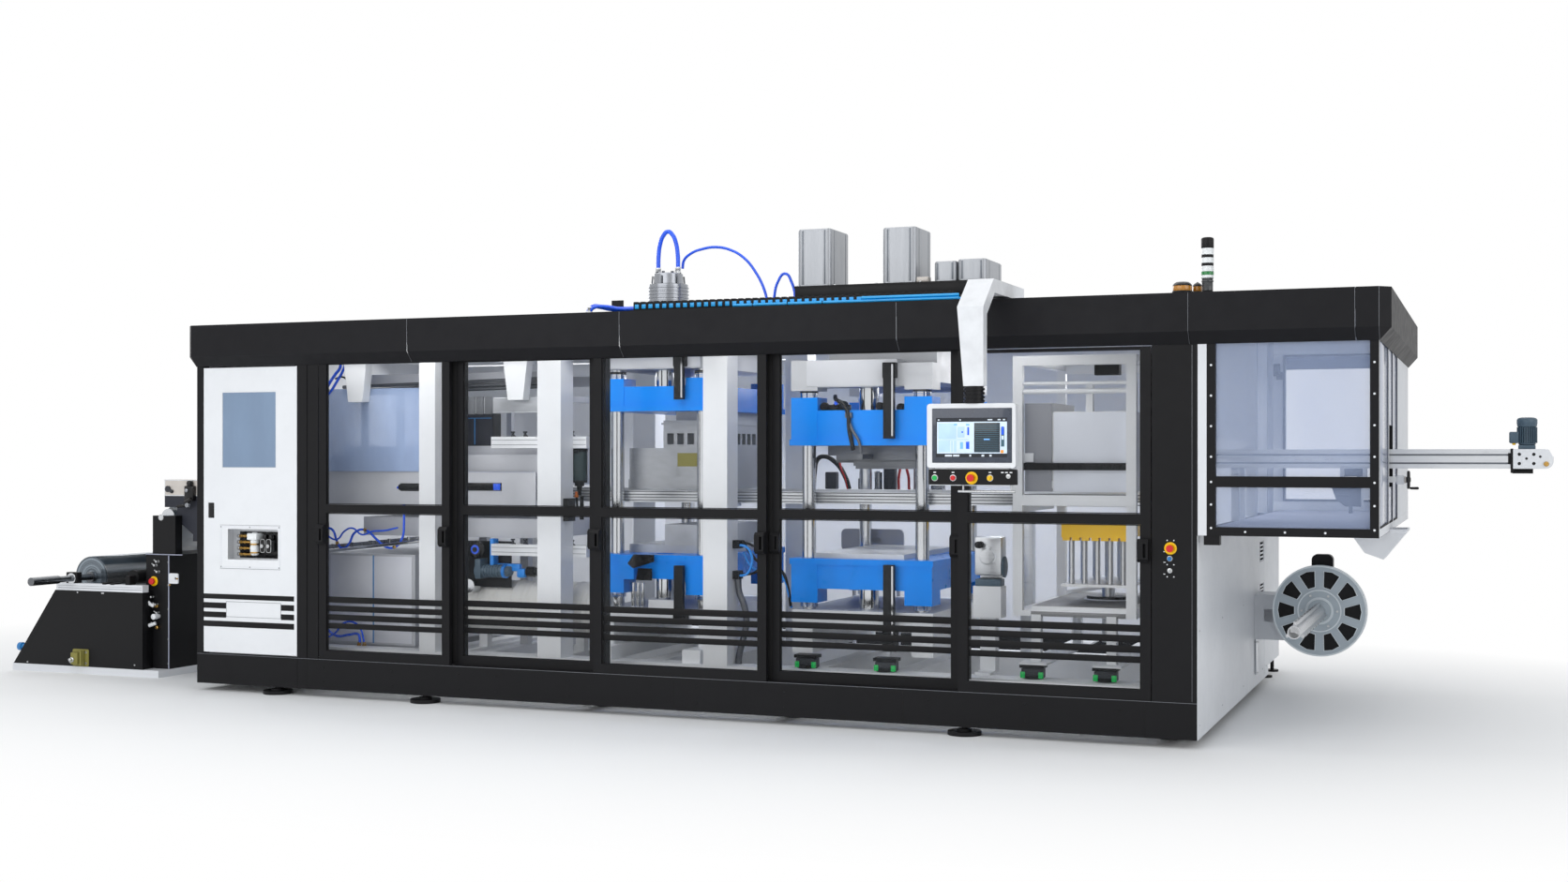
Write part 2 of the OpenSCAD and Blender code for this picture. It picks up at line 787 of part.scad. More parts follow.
beam_x0 = x_left + plinth_w + 60;
beam_x1 = x_right - plinth_w - 100;

arm_y = upright_y + upright_d;
gear_x = stacker_x - 254;

module machine_frame() {
    color("#eef0f2") {
        union() {
            // Base beams and top beams, front and rear
            for (y = [upright_y, upright_rear_y]) {
                block(beam_x0, beam_x1, y, y + upright_d, base_beam_z, base_top_z);
                block(beam_x0 + 600, upright_c_x + upright_c_w, y, y + upright_d,
                    top_beam_z, top_beam_z + 140);
            }
            upright(upright_a_x, upright_a_w);
            upright(upright_b_x, upright_b_w);
            upright(upright_c_x, upright_c_w);
            // Cross beams below and above
            for (x = [beam_x0 + 200, upright_a_x, form_x - 60, cut_x - 330, cut_x + 210, beam_x1 - 120])
                block(x, x + 120, upright_y, upright_rear_y + upright_d, base_beam_z, base_top_z);
            for (x = [beam_x0 + 600, upright_a_x, upright_b_x])
                block(x, x + 100, upright_y, upright_rear_y + upright_d, top_beam_z, top_beam_z + 100);
            // Brackets that hold the chain rails
            for (x = [upright_b_x, upright_c_x]) {
                block(x, x + 100, upright_y + upright_d - 1, rail_front + rail_w, rail_z - 20, rail_z);
                block(x, x + 100, rail_rear, upright_rear_y + 1, rail_z - 20, rail_z);
            }
        }
        // Forming press base, on the base beams
        difference() {
            block(form_x - form_w / 2, form_x + form_w / 2, platen_y + 20, platen_y + platen_d - 20,
                base_top_z + 81, press_base_z);
            block(form_x - form_w / 2 + 90, form_x + form_w / 2 - 90, platen_y, platen_y + platen_d,
                base_top_z + 80, press_base_z - 90);
        }
        for (x = [form_x - form_w / 2 + 20, form_x + form_w / 2 - 140])
            block(x, x + 120, upright_y + 40, upright_rear_y + upright_d - 40, base_top_z, base_top_z + 81);
        // Cutting press base
        difference() {
            block(cut_x - cut_w / 2, cut_x + cut_w / 2, platen_y + 20, platen_y + platen_d - 20,
                base_top_z + 81, press_base_z + 24);
            block(cut_x - cut_w / 2 + 130, cut_x + cut_w / 2 - 130, platen_y, platen_y + platen_d,
                base_top_z + 80, press_base_z - 90);
        }
        // Air duct that lies behind the lower guard of bay 2
        difference() {
            bar_x(upright_a_x + upright_a_w + 20, upright_b_x + upright_b_w + 150, 720, 560, 165);
            bar_x(upright_a_x + upright_a_w + 30, upright_b_x + upright_b_w + 140, 720, 560, 159);
        }
        for (x = [upright_a_x + upright_a_w + 90, upright_b_x + 60])
            block(x, x + 60, 690, 750, base_top_z, 396);
        for (x = [upright_a_x + upright_a_w + 90, upright_b_x + 60])
            block(x, x + 60, upright_y + upright_d, upright_rear_y, base_top_z - 60, base_top_z);
        // Swing arms in bay 2, on the rear of the upright
        for (z = [1594, 905]) {
            block(upright_b_x - 430, upright_b_x + 260, arm_y, arm_y + 60, z, z + 73);
            block(upright_b_x - 430, upright_b_x + 260, arm_y + 60, arm_y + 66, z + 8, z + 22);
        }
        // Tapered hangers under the top beam
        for (x = [upright_a_x - 642, upright_b_x - 300])
            plate_y(upright_y + 80, arm_y - 2)
                polygon([[x, top_beam_z], [x + 185, top_beam_z], [x + 150, 1900], [x + 40, 1900]]);
        // Beam between the uprights
        block(upright_a_x + 20, upright_b_x + 60, arm_y, arm_y + 60, 1822, 1919);
        // Box on the forming press base
        block(form_x - 53, form_x + 165, platen_y + 24, platen_y + 84, press_base_z, press_base_z + 52);
        // Pedestal of the take-off gear, left of the stacker
        union() {
            block(gear_x, gear_x + 166, 520, 640, 606, 789);
            block(gear_x + 38, gear_x + 128, 540, 620, base_top_z, 606);
            block(gear_x + 38, gear_x + 128, 420, 540, base_top_z, base_top_z + 16);
        }
    }
}

module chain_rail(y) {
    x0 = x_left + 40;
    x1 = stacker_x + stacker_w - 72;
    groove = 9;
    difference() {
        block(x0, x1, y, y + rail_w, rail_z, rail_z + rail_h);
        for (z = [rail_z + 14, rail_z + 42])
            for (s = [y - 1, y + rail_w - 6])
                block(x0 - 1, x1 + 1, s, s + 7, z, z + groove);
        block(x0 - 1, x1 + 1, y + 22, y + rail_w - 22, rail_z + rail_h - 14, rail_z + rail_h + 1);
    }
}

// Two profiles that carry the chains, with the film's cross ties at their ends
module chain_rails() {
    color("#c9ccd0")
        union() {
            chain_rail(rail_front);
            chain_rail(rail_rear);
            for (x = [x_left + 60, stacker_x - 40])
                block(x, x + 30, rail_front + 10, rail_rear + rail_w - 10, rail_z - 40, rail_z + 8);
        }
}

oven_x0 = x_left + 640;
gen_x0 = oven_x0 - 6;
oven_x1 = upright_b_x - 120;
oven_y0 = rail_front + 2;
oven_y1 = rail_rear + rail_w - 2;

module ovens() {
    cover_y = upright_y + upright_d + 30;
    color("#a7abb2") {
        // Upper oven with its hood and hangers
        union() {
            block(oven_x0, oven_x1, oven_y0, oven_y1, rail_z + rail_h + 26, 1552);
            block(oven_x0 + 40, oven_x1 - 40, oven_y0 + 80, oven_y1 - 80, 1552, 1610);
            for (x = [upright_a_x + 20, upright_b_x - 160])
                for (y = [oven_y0 + 120, oven_y1 - 160])
                    block(x, x + 40, y, y + 40, 1610, 1900);
            for (x = [upright_a_x + 10, upright_b_x - 170])
                block(x, x + 60, oven_y0 + 100, oven_y1 - 100, 1900, 1940);
            for (y = [oven_y0 + 120, oven_y1 - 160])
                block(upright_a_x + 20, upright_a_x + 60, y, y + 40, 1900, top_beam_z);
        }
        // Front cover with its sight slots
        difference() {
            block(oven_x0, oven_x1, cover_y, cover_y + 12, 1223, 1442);
            block(upright_a_x - 270, upright_a_x + upright_a_w - 120, cover_y - 1, cover_y + 13, 1312, 1364);
            block(upright_a_x + upright_a_w + 40, upright_b_x - 370, cover_y - 1, cover_y + 13, 1318, 1370);
        }
        for (x = [oven_x0 + 40, oven_x1 - 100])
            block(x, x + 60, cover_y + 12, oven_y0, 1400, 1430);
        // Lower oven on its legs
        union() {
            block(oven_x0 + 260, oven_x1, oven_y0, oven_y1, 1013, 1137);
            for (x = [upright_a_x + upright_a_w + 260, upright_a_x - 250])
                for (y = [oven_y0 + 345, oven_y1 - 80])
                    block(x, x + 60, y, y + 60, x > upright_a_x ? base_top_z : 890, 1013);
        }
        block(upright_a_x + upright_a_w + 250, upright_a_x + upright_a_w + 330, upright_y + upright_d,
            upright_rear_y, base_top_z - 60, base_top_z);
        // Generator cabinet below bay 1
        block(gen_x0, upright_a_x - 190, oven_y0 - 40, oven_y1, base_top_z, 890);
        for (y = [oven_y0, oven_y1 - 120])
            block(beam_x0 + 330, upright_a_x - 1, y, y + 90, base_top_z - 60, base_top_z);
        block(gen_x0 - 44, gen_x0 + 18, arm_y + 1, oven_y0 - 40, 880, 1100);
        // Rails over the ovens
        for (y = [640, 1400])
            block(beam_x0 + 600, upright_b_x + 20, y, y + 60, 2020, 2090);
        for (x = [beam_x0 + 620, upright_a_x + 20])
            for (y = [650, 1410])
                block(x, x + 60, y, y + 40, 2090, top_beam_z);
    }
}

// ---- Presses ----

// A cast platen: walls and corner bosses on a flange, bored for its four columns and its spindle
module platen(mid, w, cols, z0, z1, wall_z0, wall_z1, flange_z) {
    y0 = platen_y;
    y1 = platen_y + platen_d;
    r = column_d / 2 + column_gap;
    difference() {
        union() {
            block(mid - w / 2 - flange_out, mid + w / 2 + flange_out, y0 - flange_out, y1 + flange_out,
                flange_z, flange_z + flange_t);
            for (x = cols)
                for (y = cols_y)
                    block(x - boss_w / 2, x + boss_w / 2, y - boss_w / 2, y + boss_w / 2, z0, z1);
            for (y = [y0, y1 - web_t])
                block(mid - w / 2 + 10, mid + w / 2 - 10, y + 4, y + web_t - 4, wall_z0, wall_z1);
            for (x = [mid - w / 2, mid + w / 2 - web_t])
                block(x + 4, x + web_t - 4, y0 + 10, y1 - 10, wall_z0, wall_z1);
            block(mid - 100, mid + 100, y0 + 10, y1 - 10, wall_z0, wall_z1);
            block(mid - w / 2 + 10, mid + w / 2 - 10, film_y - 60, film_y + 60, wall_z0, wall_z1);
        }
        for (x = cols)
            for (y = cols_y)
                bar_z(x, y, z0 - 100, z1 + 100, r);
        bar_z(mid, platen_y + 160, z0 - 100, z1 + 100, spindle_d / 2 + 1);
    }
    // Guide bushes round the columns
    for (x = cols)
        for (y = cols_y)
            difference() {
                bar_z(x, y, bush_z(z0, z1, flange_z), bush_z(z0, z1, flange_z) + bush_h, column_d / 2 + 9);
                bar_z(x, y, z0 - 100, z1 + 100, r);
            }
}

// The bushes stand on top of an upper platen and hang under a lower one
bush_h = 30;
function bush_z(z0, z1, flange_z) = flange_z == z0 ? z1 : z0 - bush_h;

module form_upper_platen() {
    color("#0a86e8")
        platen(form_x, form_w, form_cols, form_upper_z, form_upper_z + 203,
            form_upper_z, form_upper_z + 153, form_upper_z);
}

module form_lower_platen() {
    color("#0a86e8")
        platen(form_x, form_w, form_cols, 690, lower_top_z, 783, lower_top_z, lower_top_z - flange_t);
    y0 = rail_front + rail_w + 12;
    y1 = rail_rear - 12;
    color("#b4b7bc") {
        union() {
            block(form_x - form_w / 2 + 102, form_x + form_w / 2 - 30, y0, y1, lower_top_z, 985);
            block(form_x - 40, form_x + form_w / 2 - 90, y0 + 20, y1 - 20, 985, 1112);
        }
        // Valve box on the front of the platen
        block(form_x - 241, form_x - 105, platen_y - flange_out - 40, platen_y - flange_out, 896, 930);
        block(form_x - 225, form_x - 121, platen_y - flange_out - 36, platen_y - flange_out, 780, 896);
    }
}

module cut_upper_platen() {
    color("#0a86e8")
        platen(cut_x, cut_w, cut_cols, cut_upper_z, cut_upper_z + 286,
            cut_upper_z, cut_upper_z + 209, cut_upper_z);
}

module cut_lower_platen() {
    color("#0a86e8")
        platen(cut_x, cut_w, cut_cols, 668, lower_top_z, 753, lower_top_z, lower_top_z - flange_t);
    color("#d5d8db")
        block(cut_x - cut_w / 2 + 126, cut_x + cut_w / 2 - 190, platen_y + 60, platen_y + platen_d - 60,
            lower_top_z, lower_top_z + 30);
}

// The upper forming tool: a heater box with a row of sight windows, and a plug plate
module form_tool() {
    x0 = form_x - 40;
    x1 = form_x + form_w / 2 - 40;
    y0 = rail_front + rail_w + 12;
    y1 = rail_rear - 12;
    color("#a2a5ab") {
        union() {
            // Frame with its sight windows
            difference() {
                block(x0, x1, y0, y1, 1593, 1767);
                for (i = [0 : 4])
                    block(x0 + 26 + i * 70, x0 + 74 + i * 70, y0 - 1, y0 + 90, 1616, 1686);
                for (i = [0 : 6])
                    block(x1 - 90, x1 + 1, y0 + 120 + i * 84, y0 + 176 + i * 84, 1616, 1686);
            }
            block(x0 + 60, x1 - 40, y0 + 60, y1 - 60, 1767, form_upper_z);
            block(x0 - 12, x1 + 10, y0 - 6, y1 + 6, 1740, 1752);
            // Wide box of the upper mould
            block(form_x - form_w / 2 + 102, x1 + 16, y0, y1, 1395, 1593);
            block(x0 - 20, x0, y0 + 40, y0 + 160, 1640, 1700);
        }
        // Clamp frame under it
        difference() {
            block(form_x - form_w / 2 + 96, x1 + 20, y0 - 2, y1 + 2, 1334, 1395);
            block(form_x - form_w / 2 + 196, x1 - 80, y0 + 98, y1 - 98, 1333, 1396);
        }
    }
}

// The upper cutting tool: bolster, tool plate and knife plate
module cut_tool() {
    x0 = cut_x - cut_w / 2 + 100;
    x1 = cut_x + cut_w / 2 - 120;
    y0 = cols_y[0] + boss_w / 2 - 30;
    y1 = cols_y[1] - boss_w / 2 + 30;
    color("#8f9196")
        union() {
            block(x0 + 130, x1, y0 + 20, y1 - 20, cut_upper_z - 86, cut_upper_z);
            block(x0 + 10, x0 + 130, y0 + 200, y1 - 200, cut_upper_z - 60, cut_upper_z);
            block(x0 + 230, x1 - 10, y0 + 50, y1 - 50, cut_upper_z - 122, cut_upper_z - 86);
            block(x0 + 240, x1 - 20, y0 + 60, y1 - 60, cut_upper_z - 140, cut_upper_z - 122);
            block(x0 + 30, x0 + 240, y0 + 300, y1 - 300, cut_upper_z - 104, cut_upper_z - 60);
        }
    // Cable down the front of the platen
    color("#1a1a1c") {
        block(cut_x - 90, cut_x - 50, platen_y - 20, platen_y + 4, 1770, 1800);
        hose([[cut_x - 64, platen_y - 12, 1769.7], [cut_x - 62, platen_y - 14, 1740],
            [cut_x - 40, platen_y - 20, 1690], [cut_x - 6, platen_y - 22, 1640],
            [cut_x + 8, platen_y - 21, 1590], [cut_x + 8, platen_y - 20, 1556]], 9, [0, 1, 0.1], 3);
        block(cut_x - 8, cut_x + 24, platen_y - 32, y0 + 20, 1526, 1555.7);
    }
}

// Forming press crosshead, on its four columns
module form_crosshead() {
    x0 = form_x - form_w / 2;
    x1 = form_x + form_w / 2;
    color("#c4c6ca")
        union() {
            block(x0, x1 - 220, platen_y, platen_y + 130, form_head_z, 2170);
            block(x0, x1, platen_y + 130, platen_y + platen_d, form_head_z, 2170);
            for (y = [cols_y[0] - 80, cols_y[1] - 80])
                block(x0, x1, y, y + 160, form_head_z, 2170);
            block(x0 + 40, x1 - 40, platen_y + 150, platen_y + platen_d - 150, 2170, 2480);
        }
}

// Cutting press crosshead with the heads of its four columns
module cut_crosshead() {
    x0 = cut_x - cut_w / 2;
    x1 = cut_x + cut_w / 2;
    color("#cfd1d4")
        union() {
            block(x0, x1 - 224, platen_y, platen_y + 200, cut_head_z, 2114);
            block(x0 + 170, x1 - 30, platen_y + 200, platen_y + platen_d, cut_head_z + 30, 2545);
            for (x = cut_cols)
                for (y = cols_y)
                    block(x - boss_w / 2, x + boss_w / 2, y - boss_w / 2, y + boss_w / 2,
                        cut_head_z - 20, cut_head_z + 60);
            block(x0, x1, cols_y[0] - 70, cols_y[0] + 70, cut_head_z, 2090);
            block(x0, x1, cols_y[1] - 70, cols_y[1] + 70, cut_head_z, 2090);
        }
}

// Eight guide columns and the four spindle sleeves
module bright_bars() {
    r = column_d / 2;
    color("#d8dbdf") {
        for (y = cols_y) {
            for (x = form_cols)
                bar_z(x, y, press_base_z, form_head_z, r);
            for (x = cut_cols)
                bar_z(x, y, press_base_z + 24, cut_head_z - 20, r);
        }
        bar_z(form_x, platen_y + 160, form_upper_z + 10, form_head_z, spindle_d / 2);
        bar_z(form_x, platen_y + 160, press_base_z, 840, spindle_d / 2);
        bar_z(cut_x, platen_y + 160, cut_upper_z + 40, cut_head_z, spindle_d / 2);
        bar_z(cut_x, platen_y + 160, press_base_z + 24, 860, spindle_d / 2);
        // Short cylinders on the forming press base
        for (x = [0 : 2])
            bar_z(form_x - 192 + x * 34, platen_y + 90, press_base_z, press_base_z + 150, 13);
        // Feed drum in bay 2
        bar_y(upright_a_x + 256, 480, 570, 702, 44);
        // Sloping rail in front of the generator
        bar_xz(gen_x0 + 20.5, 900, upright_a_x + 60, 1004, arm_y + 10.2, 10);
        // Strips on the press racks
        for (p = [[form_x + form_w / 2 - 176, 1900, 2150], [cut_x + 210, 1660, 2080], [cut_x + 210, 480, 900]])
            block(p[0], p[0] + 10, rack_y - 3, rack_y, p[1], p[2]);
        // Latch rod of the side panel
        bar_z(x_right + sheet_t + 10.2, reel_y + 150, 130, reel_z - 207, 10);
    }
}

// ---- Stacker ----

gripper_x0 = stacker_x + 233;
gripper_x1 = stacker_x + stacker_w - 80;
gripper_y0 = rail_front + rail_w + 12;
gripper_y1 = rail_rear - 12;
lift_post_d = 80;
lift_x = (gripper_x0 + gripper_x1) / 2;
lift_y = film_y;
chute_x0 = stacker_x + 220;
chute_x1 = stacker_x + stacker_w - 50;

module stacker_frame() {
    x0 = stacker_x;
    x1 = stacker_x + stacker_w;
    y0 = stacker_y;
    t = stacker_tube;
    d = 45;
    color("#f2f3f5") {
        difference() {
            union() {
                // Guard frame
                for (x = [x0, x1 - t])
                    block(x, x + t, y0, y0 + d, tray_z - 30, 2114);
                block(x0, x1, y0, y0 + d, 2058, 2114);
                block(x0, x1, y0, y0 + d, 1262, 1322);
                block(x0, x1, y0, y0 + d, tray_z - 30, tray_z);
                // Rear frame and the ties between them
                for (x = [x0, x1 - t]) {
                    block(x, x + t, y0 + stacker_d, y0 + stacker_d + d, tray_z - 30, 2114);
                    block(x, x + t, y0, y0 + stacker_d + d, 2074, 2114);
                    block(x, x + t, y0, y0 + stacker_d + d, tray_z - 30, tray_z);
                }
                block(x0, x1, y0 + stacker_d, y0 + stacker_d + d, 2058, 2114);
                block(x0, x1, y0 + stacker_d, y0 + stacker_d + d, tray_z - 30, tray_z);
                // Tray
                block(x0 + 104, x1, y0 + 20, y0 + stacker_d + d, tray_z, tray_z + 26);
                block(x0 + 2, x1 - 2, y0 + 20, y0 + stacker_d + d, tray_z - 12, tray_z);
                // Legs
                for (x = [x0 + 110, x0 + 540])
                    for (y = [y0 - 10, y0 + stacker_d - 40])
                        block(x, x + 55, y, y + 55, base_top_z + 81, tray_z - 20);
                for (x = [x0 + 60, x0 + 480])
                    block(x, x + 160, upright_y + 50, upright_rear_y + upright_d - 30,
                        base_top_z + 81, base_top_z + 91);
            }
            bar_z(lift_x, lift_y, tray_z - 60, tray_z + 60, lift_post_d / 2 + run_gap);
        }
        // Stack chute, a clear-sided box above the gripper
        difference() {
            block(chute_x0, chute_x1, y0 + 60, y0 + 700, 1340, 1796);
            block(chute_x0 + 6, chute_x1 - 6, y0 + 66, y0 + 694, 1339, 1797);
        }
        block(x0 + t, chute_x0 - 6, y0 + 60, y0 + 640, 1340, 1846);
        block(chute_x0 + 188, chute_x0 + 228, y0 + 60, y0 + 100, 1796, 1960);
        for (y = [y0 + 60, y0 + 600])
            block(chute_x0 - 6, chute_x0, y, y + 40, 1360, 1400);
        block(x0 + t, x0 + 110, y0 + d, y0 + 60, 1510, 1560);
        block(x0 + t, x0 + 160, y0 + 640, y0 + stacker_d, 1500, 1560);
        for (z = [1910, 1956])
            bar_x(x0 + t, x1 - t, y0 + 22, z, z > 1930 ? 10 : 14);
    }
}

module stack_gripper() {
    color("#f5c400")
        union() {
            block(gripper_x0, gripper_x1, gripper_y0, gripper_y1, 1074, 1153);
            // Fingers along the lower edge
            for (i = [0 : 6])
                block(gripper_x0 + 6 + i * (gripper_x1 - gripper_x0) / 7,
                    gripper_x0 + (i + 0.86) * (gripper_x1 - gripper_x0) / 7,
                    gripper_y0, gripper_y0 + 40, 1056, 1075);
        }
}

module stacker_rods() {
    n = 5;
    color("#cfd3d8")
        union() {
            block(gripper_x0, gripper_x1, gripper_y0, gripper_y1, 790, 805);
            bar_z(lift_x, lift_y, 440, 791, lift_post_d / 2);
            for (i = [0 : n - 1])
                for (y = [gripper_y0 + 70, film_y, gripper_y1 - 50])
                    bar_z(gripper_x0 + 45 + i * (gripper_x1 - gripper_x0 - 90) / (n - 1), y, 804, 1074, 17);
        }
}

// ---- Roof ----

tray_top_z = 2557;

module servo_box(x, y, w, d, z, h) {
    flute = 10;
    difference() {
        block(x, x + w, y, y + d, z, z + h);
        for (fx = [0.2, 0.8])
            for (fy = [y - 1, y + d - 5])
                block(x + w * fx - flute / 2, x + w * fx + flute / 2, fy, fy + 6, z - 1, z + h + 1);
    }
}

module drive_housings() {
    color("#d4d6d9") {
        servo_box(cut_x - 393, 430, 212, 330, tray_top_z, 340);
        servo_box(cut_x + 141, 430, 208, 310, tray_top_z, 326);
        servo_box(cut_x + 457, 430, 135, 300, tray_top_z, 115);
        servo_box(cut_x + 598, 430, 172, 360, tray_top_z, 123);
        // Forming press actuator: a ribbed cylinder with a crowned fitting
        union() {
            bar_z(form_x, 650, 2480, 2500, 140);
            bar_z(form_x, 650, 2500, 2620, 124);
            for (i = [0 : 4])
                bar_z(form_x, 650, 2510 + i * 22, 2520 + i * 22, 129);
            bar_z(form_x, 650, 2620, 2690, 92);
        }
        // Small terminal block beside the second housing
        block(cut_x + 350, cut_x + 420, 440, 500, tray_top_z, tray_top_z + 34);
        // Gearbox left of the stacker
        block(gear_x + 8, gear_x + 168, 520, 640, 852, 1076);
        block(gear_x + 20, gear_x + 150, 600, 632, 830, 852);
    }
}

rack_y = platen_y - 52;

// A toothless rack bar on its foot or head, in front of a press
module rack(x, z0, z1, foot_z0, foot_z1) {
    block(x, x + 60, rack_y, rack_y + 32, z0, z1);
    block(x - 10, x + 70, rack_y + 10, platen_y + 22, foot_z0, foot_z1);
}

// Black parts: plate and cable chain on the roof, racks, boxes and clamps inside
module black_fittings() {
    y0 = post_y + post_d + 42;
    x0 = form_x - 30;
    x1 = panel_x - 50;
    pitch = 46;
    top = roof_z + sheet_t;
    color("#1b1b1d") {
        block(cut_x - cut_w / 2 + 30, cut_x + 790, 420, 840, 2545, tray_top_z);
        for (x = [cut_x + 480, cut_x + 730])
            for (y = [450, 760])
                block(x, x + 40, y, y + 40, top, 2545);
        // Cable chain in its tray
        union() {
            block(x0, x1, y0 - 30, y0 + 90, top, top + 26);
            for (i = [0 : floor((x1 - x0) / pitch) - 1])
                chain_link(x0 + 4 + i * pitch, y0, top + 25);
        }
        // Hose tray and its clamp at the left
        block(form_x - 320, x0 - 6, y0 + 10, y0 + 104, top, top + 26);
        block(form_x - 222, form_x - 145, y0 + 92, y0 + 104, top + 26, top + 100);
        // Racks of the two presses
        union() {
            block(form_x + form_w / 2 - 224, form_x + form_w / 2 - 164, rack_y, rack_y + 32, 1890, 2160);
            block(form_x + form_w / 2 - 234, form_x + form_w / 2 - 154, rack_y + 10, platen_y,
                form_head_z + 10, 2160);
        }
        union() {
            block(form_x + form_w / 2 - 224, form_x + form_w / 2 - 164, rack_y, rack_y + 32, 560, 872);
            block(form_x + form_w / 2 - 234, form_x + form_w / 2 - 154, rack_y + 10, platen_y + 20, 520, 580);
        }
        union() {
            block(cut_x + 158, cut_x + 222, rack_y, rack_y + 32, 1645, 2091);
            block(cut_x + 150, cut_x + 230, rack_y + 10, platen_y, 2000, 2091);
        }
        union() {
            block(cut_x + 158, cut_x + 222, rack_y, rack_y + 32, 430, 906);
            block(cut_x + 150, cut_x + 230, rack_y + 10, platen_y + 20, 400, 520);
        }
        // Control box over the ovens
        block(upright_a_x + 60, upright_a_x + 331, oven_y0 + 84, oven_y0 + 180, 1610, 1822);
        // Mounting plate of the feed motor
        union() {
            block(upright_a_x + 91, upright_a_x + 131, arm_y, 580, 760, 860);
            block(upright_a_x + 91, upright_a_x + 520, 570, 580, 690, 990);
        }
        bar_y(upright_a_x + 246, 500, 570, 938, 50);
        // Filter bowl and clamp beside the second upright
        union() {
            block(upright_b_x + 134, upright_b_x + 194, arm_y, arm_y + 20, 1560, 1590);
            bar_z(upright_b_x + 176, arm_y + 66, 1374, 1590, 50);
            bar_z(upright_b_x + 176, arm_y + 66, 1352, 1374, 30);
        }
        block(upright_b_x + upright_b_w, upright_b_x + upright_b_w + 38, 330, 420, 1136, 1278);
        // Valve blocks beside the third upright
        for (z = [985, 800])
            block(upright_c_x + upright_c_w, upright_c_x + upright_c_w + 40, 380, 450, z, z + 50);
        // Stop bar, junction box and foot plate of the stacker
        block(stacker_x + stacker_tube, stacker_x + stacker_w - stacker_tube, stacker_y + 30,
            stacker_y + 45, 1463, 1504);
        block(stacker_x + 460, stacker_x + 600, stacker_y + 45, stacker_y + 110, 2000, 2070);
        difference() {
            block(lift_x - 96, lift_x + 96, lift_y - 76, lift_y + 76, tray_z + 26, tray_z + 48);
            bar_z(lift_x, lift_y, tray_z, tray_z + 60, lift_post_d / 2 + run_gap);
        }
        bar_y(gear_x + 46, 486, 520, 1030, 20);
        // Drive housing and bearing arm of the scrap winder
        difference() {
            union() {
                block(x_right + sheet_t + 210, reel_x + 66, reel_y + 200, reel_y + 280,
                    reel_z - 90, reel_z + 80);
                block(reel_x - 66, reel_x + 66, reel_y + 200, reel_y + 280, reel_z, reel_z + 310);
                bar_y(reel_x - 30, reel_y + 200, reel_y + 280, reel_z + 310, 36);
                bar_y(reel_x + 30, reel_y + 200, reel_y + 280, reel_z + 310, 36);
                block(reel_x - 30, reel_x + 30, reel_y + 200, reel_y + 280, reel_z + 300, reel_z + 346);
            }
            bar_y(reel_x, reel_y + 199, reel_y + 281, reel_z, 20 + run_gap);
        }
        // Feet of the rear cabinet
        for (x = [x_right - 690, x_right - 40])
            for (y = [enc_d + 227, enc_d + 600]) {
                bar_z(x, y, 0, 14, 44);
                bar_z(x, y, 14, cabin_z - 31, 13);
            }
        // Mounts under the conveyor's end
        block(conveyor_end - 20, conveyor_end + 84, conveyor_y + 40, conveyor_y + 120,
            conveyor_z - 26, conveyor_z + 30);
    }
}

// One link of the cable chain: an arch over the hoses
module chain_link(x, y, z) {
    difference() {
        block(x, x + 30, y, y + 84, z, z + 50);
        block(x - 1, x + 31, y + 7, y + 77, z - 1, z + 43);
    }
}

// Routes of the air hoses, beside the forming press's middle; y counts from the front of the enclosure
arch_a = [[-70, 650, 2690.3], [-70, 650, 2760], [-58, 648, 2870], [-12, 644, 2958], [44, 640, 2890],
    [70, 644, 2790], [70, 645, 2720], [70, 645, 2690.3]];
arch_b = [[34, 706, 2690.3], [34, 706, 2710], [66, 700, 2762], [150, 690, 2800], [300, 680, 2842], [450, 670, 2800],
    [570, 660, 2690], [650, 652, 2560], [676, 650, 2480], [680, 650, 2424], [680, 650, 2400.3]];
arch_c = [[730, 610, 2400.3], [730, 610, 2424], [734, 610, 2510], [760, 610, 2610], [806, 610, 2656], [850, 610, 2600],
    [872, 610, 2510], [876, 610, 2424], [876, 610, 2400.3]];
roof_left = [[-380, 300, 2400.3], [-380, 300, 2424], [-370, 297, 2448], [-340, 292, 2466], [-300, 288, 2464],
    [-220, 286, 2448], [-120, 286, 2444], [-38, 286, 2444]];
// Routes in bay 1, counted from the generator cabinet
bay_wave = [[18.3, 500, 1060], [34, 500, 1060], [74, 500, 1046], [110, 500, 970], [150, 500, 925], [200, 500, 950],
    [250, 500, 1030], [330, 500, 1052], [430, 500, 985], [500, 500, 940], [570, 500, 942],
    [625, 499, 1000], [640, 497, 1090], [640, 496, 1190], [640, 496, 1222.7]];
bay_top = [[190, 430, top_beam_z - 0.3], [190, 430, top_beam_z - 24], [178, 438, 2130], [130, 455, 2090], [50, 480, 2010], [-10, 496, 1900],
    [-24, 500, 1700], [-24, 500, 1400], [-24, 500, 1120], [-24, 500, 1100.3]];
bay_low = [[-24, 500, 879.7], [-24, 500, 850], [-24, 500, 700], [-20, 498, 500], [20, 494, 400], [110, 488, 340],
    [220, 480, 350], [300, 460, 360], [332, 440, 340], [332, 436, 305], [332, 436, 285.3]];
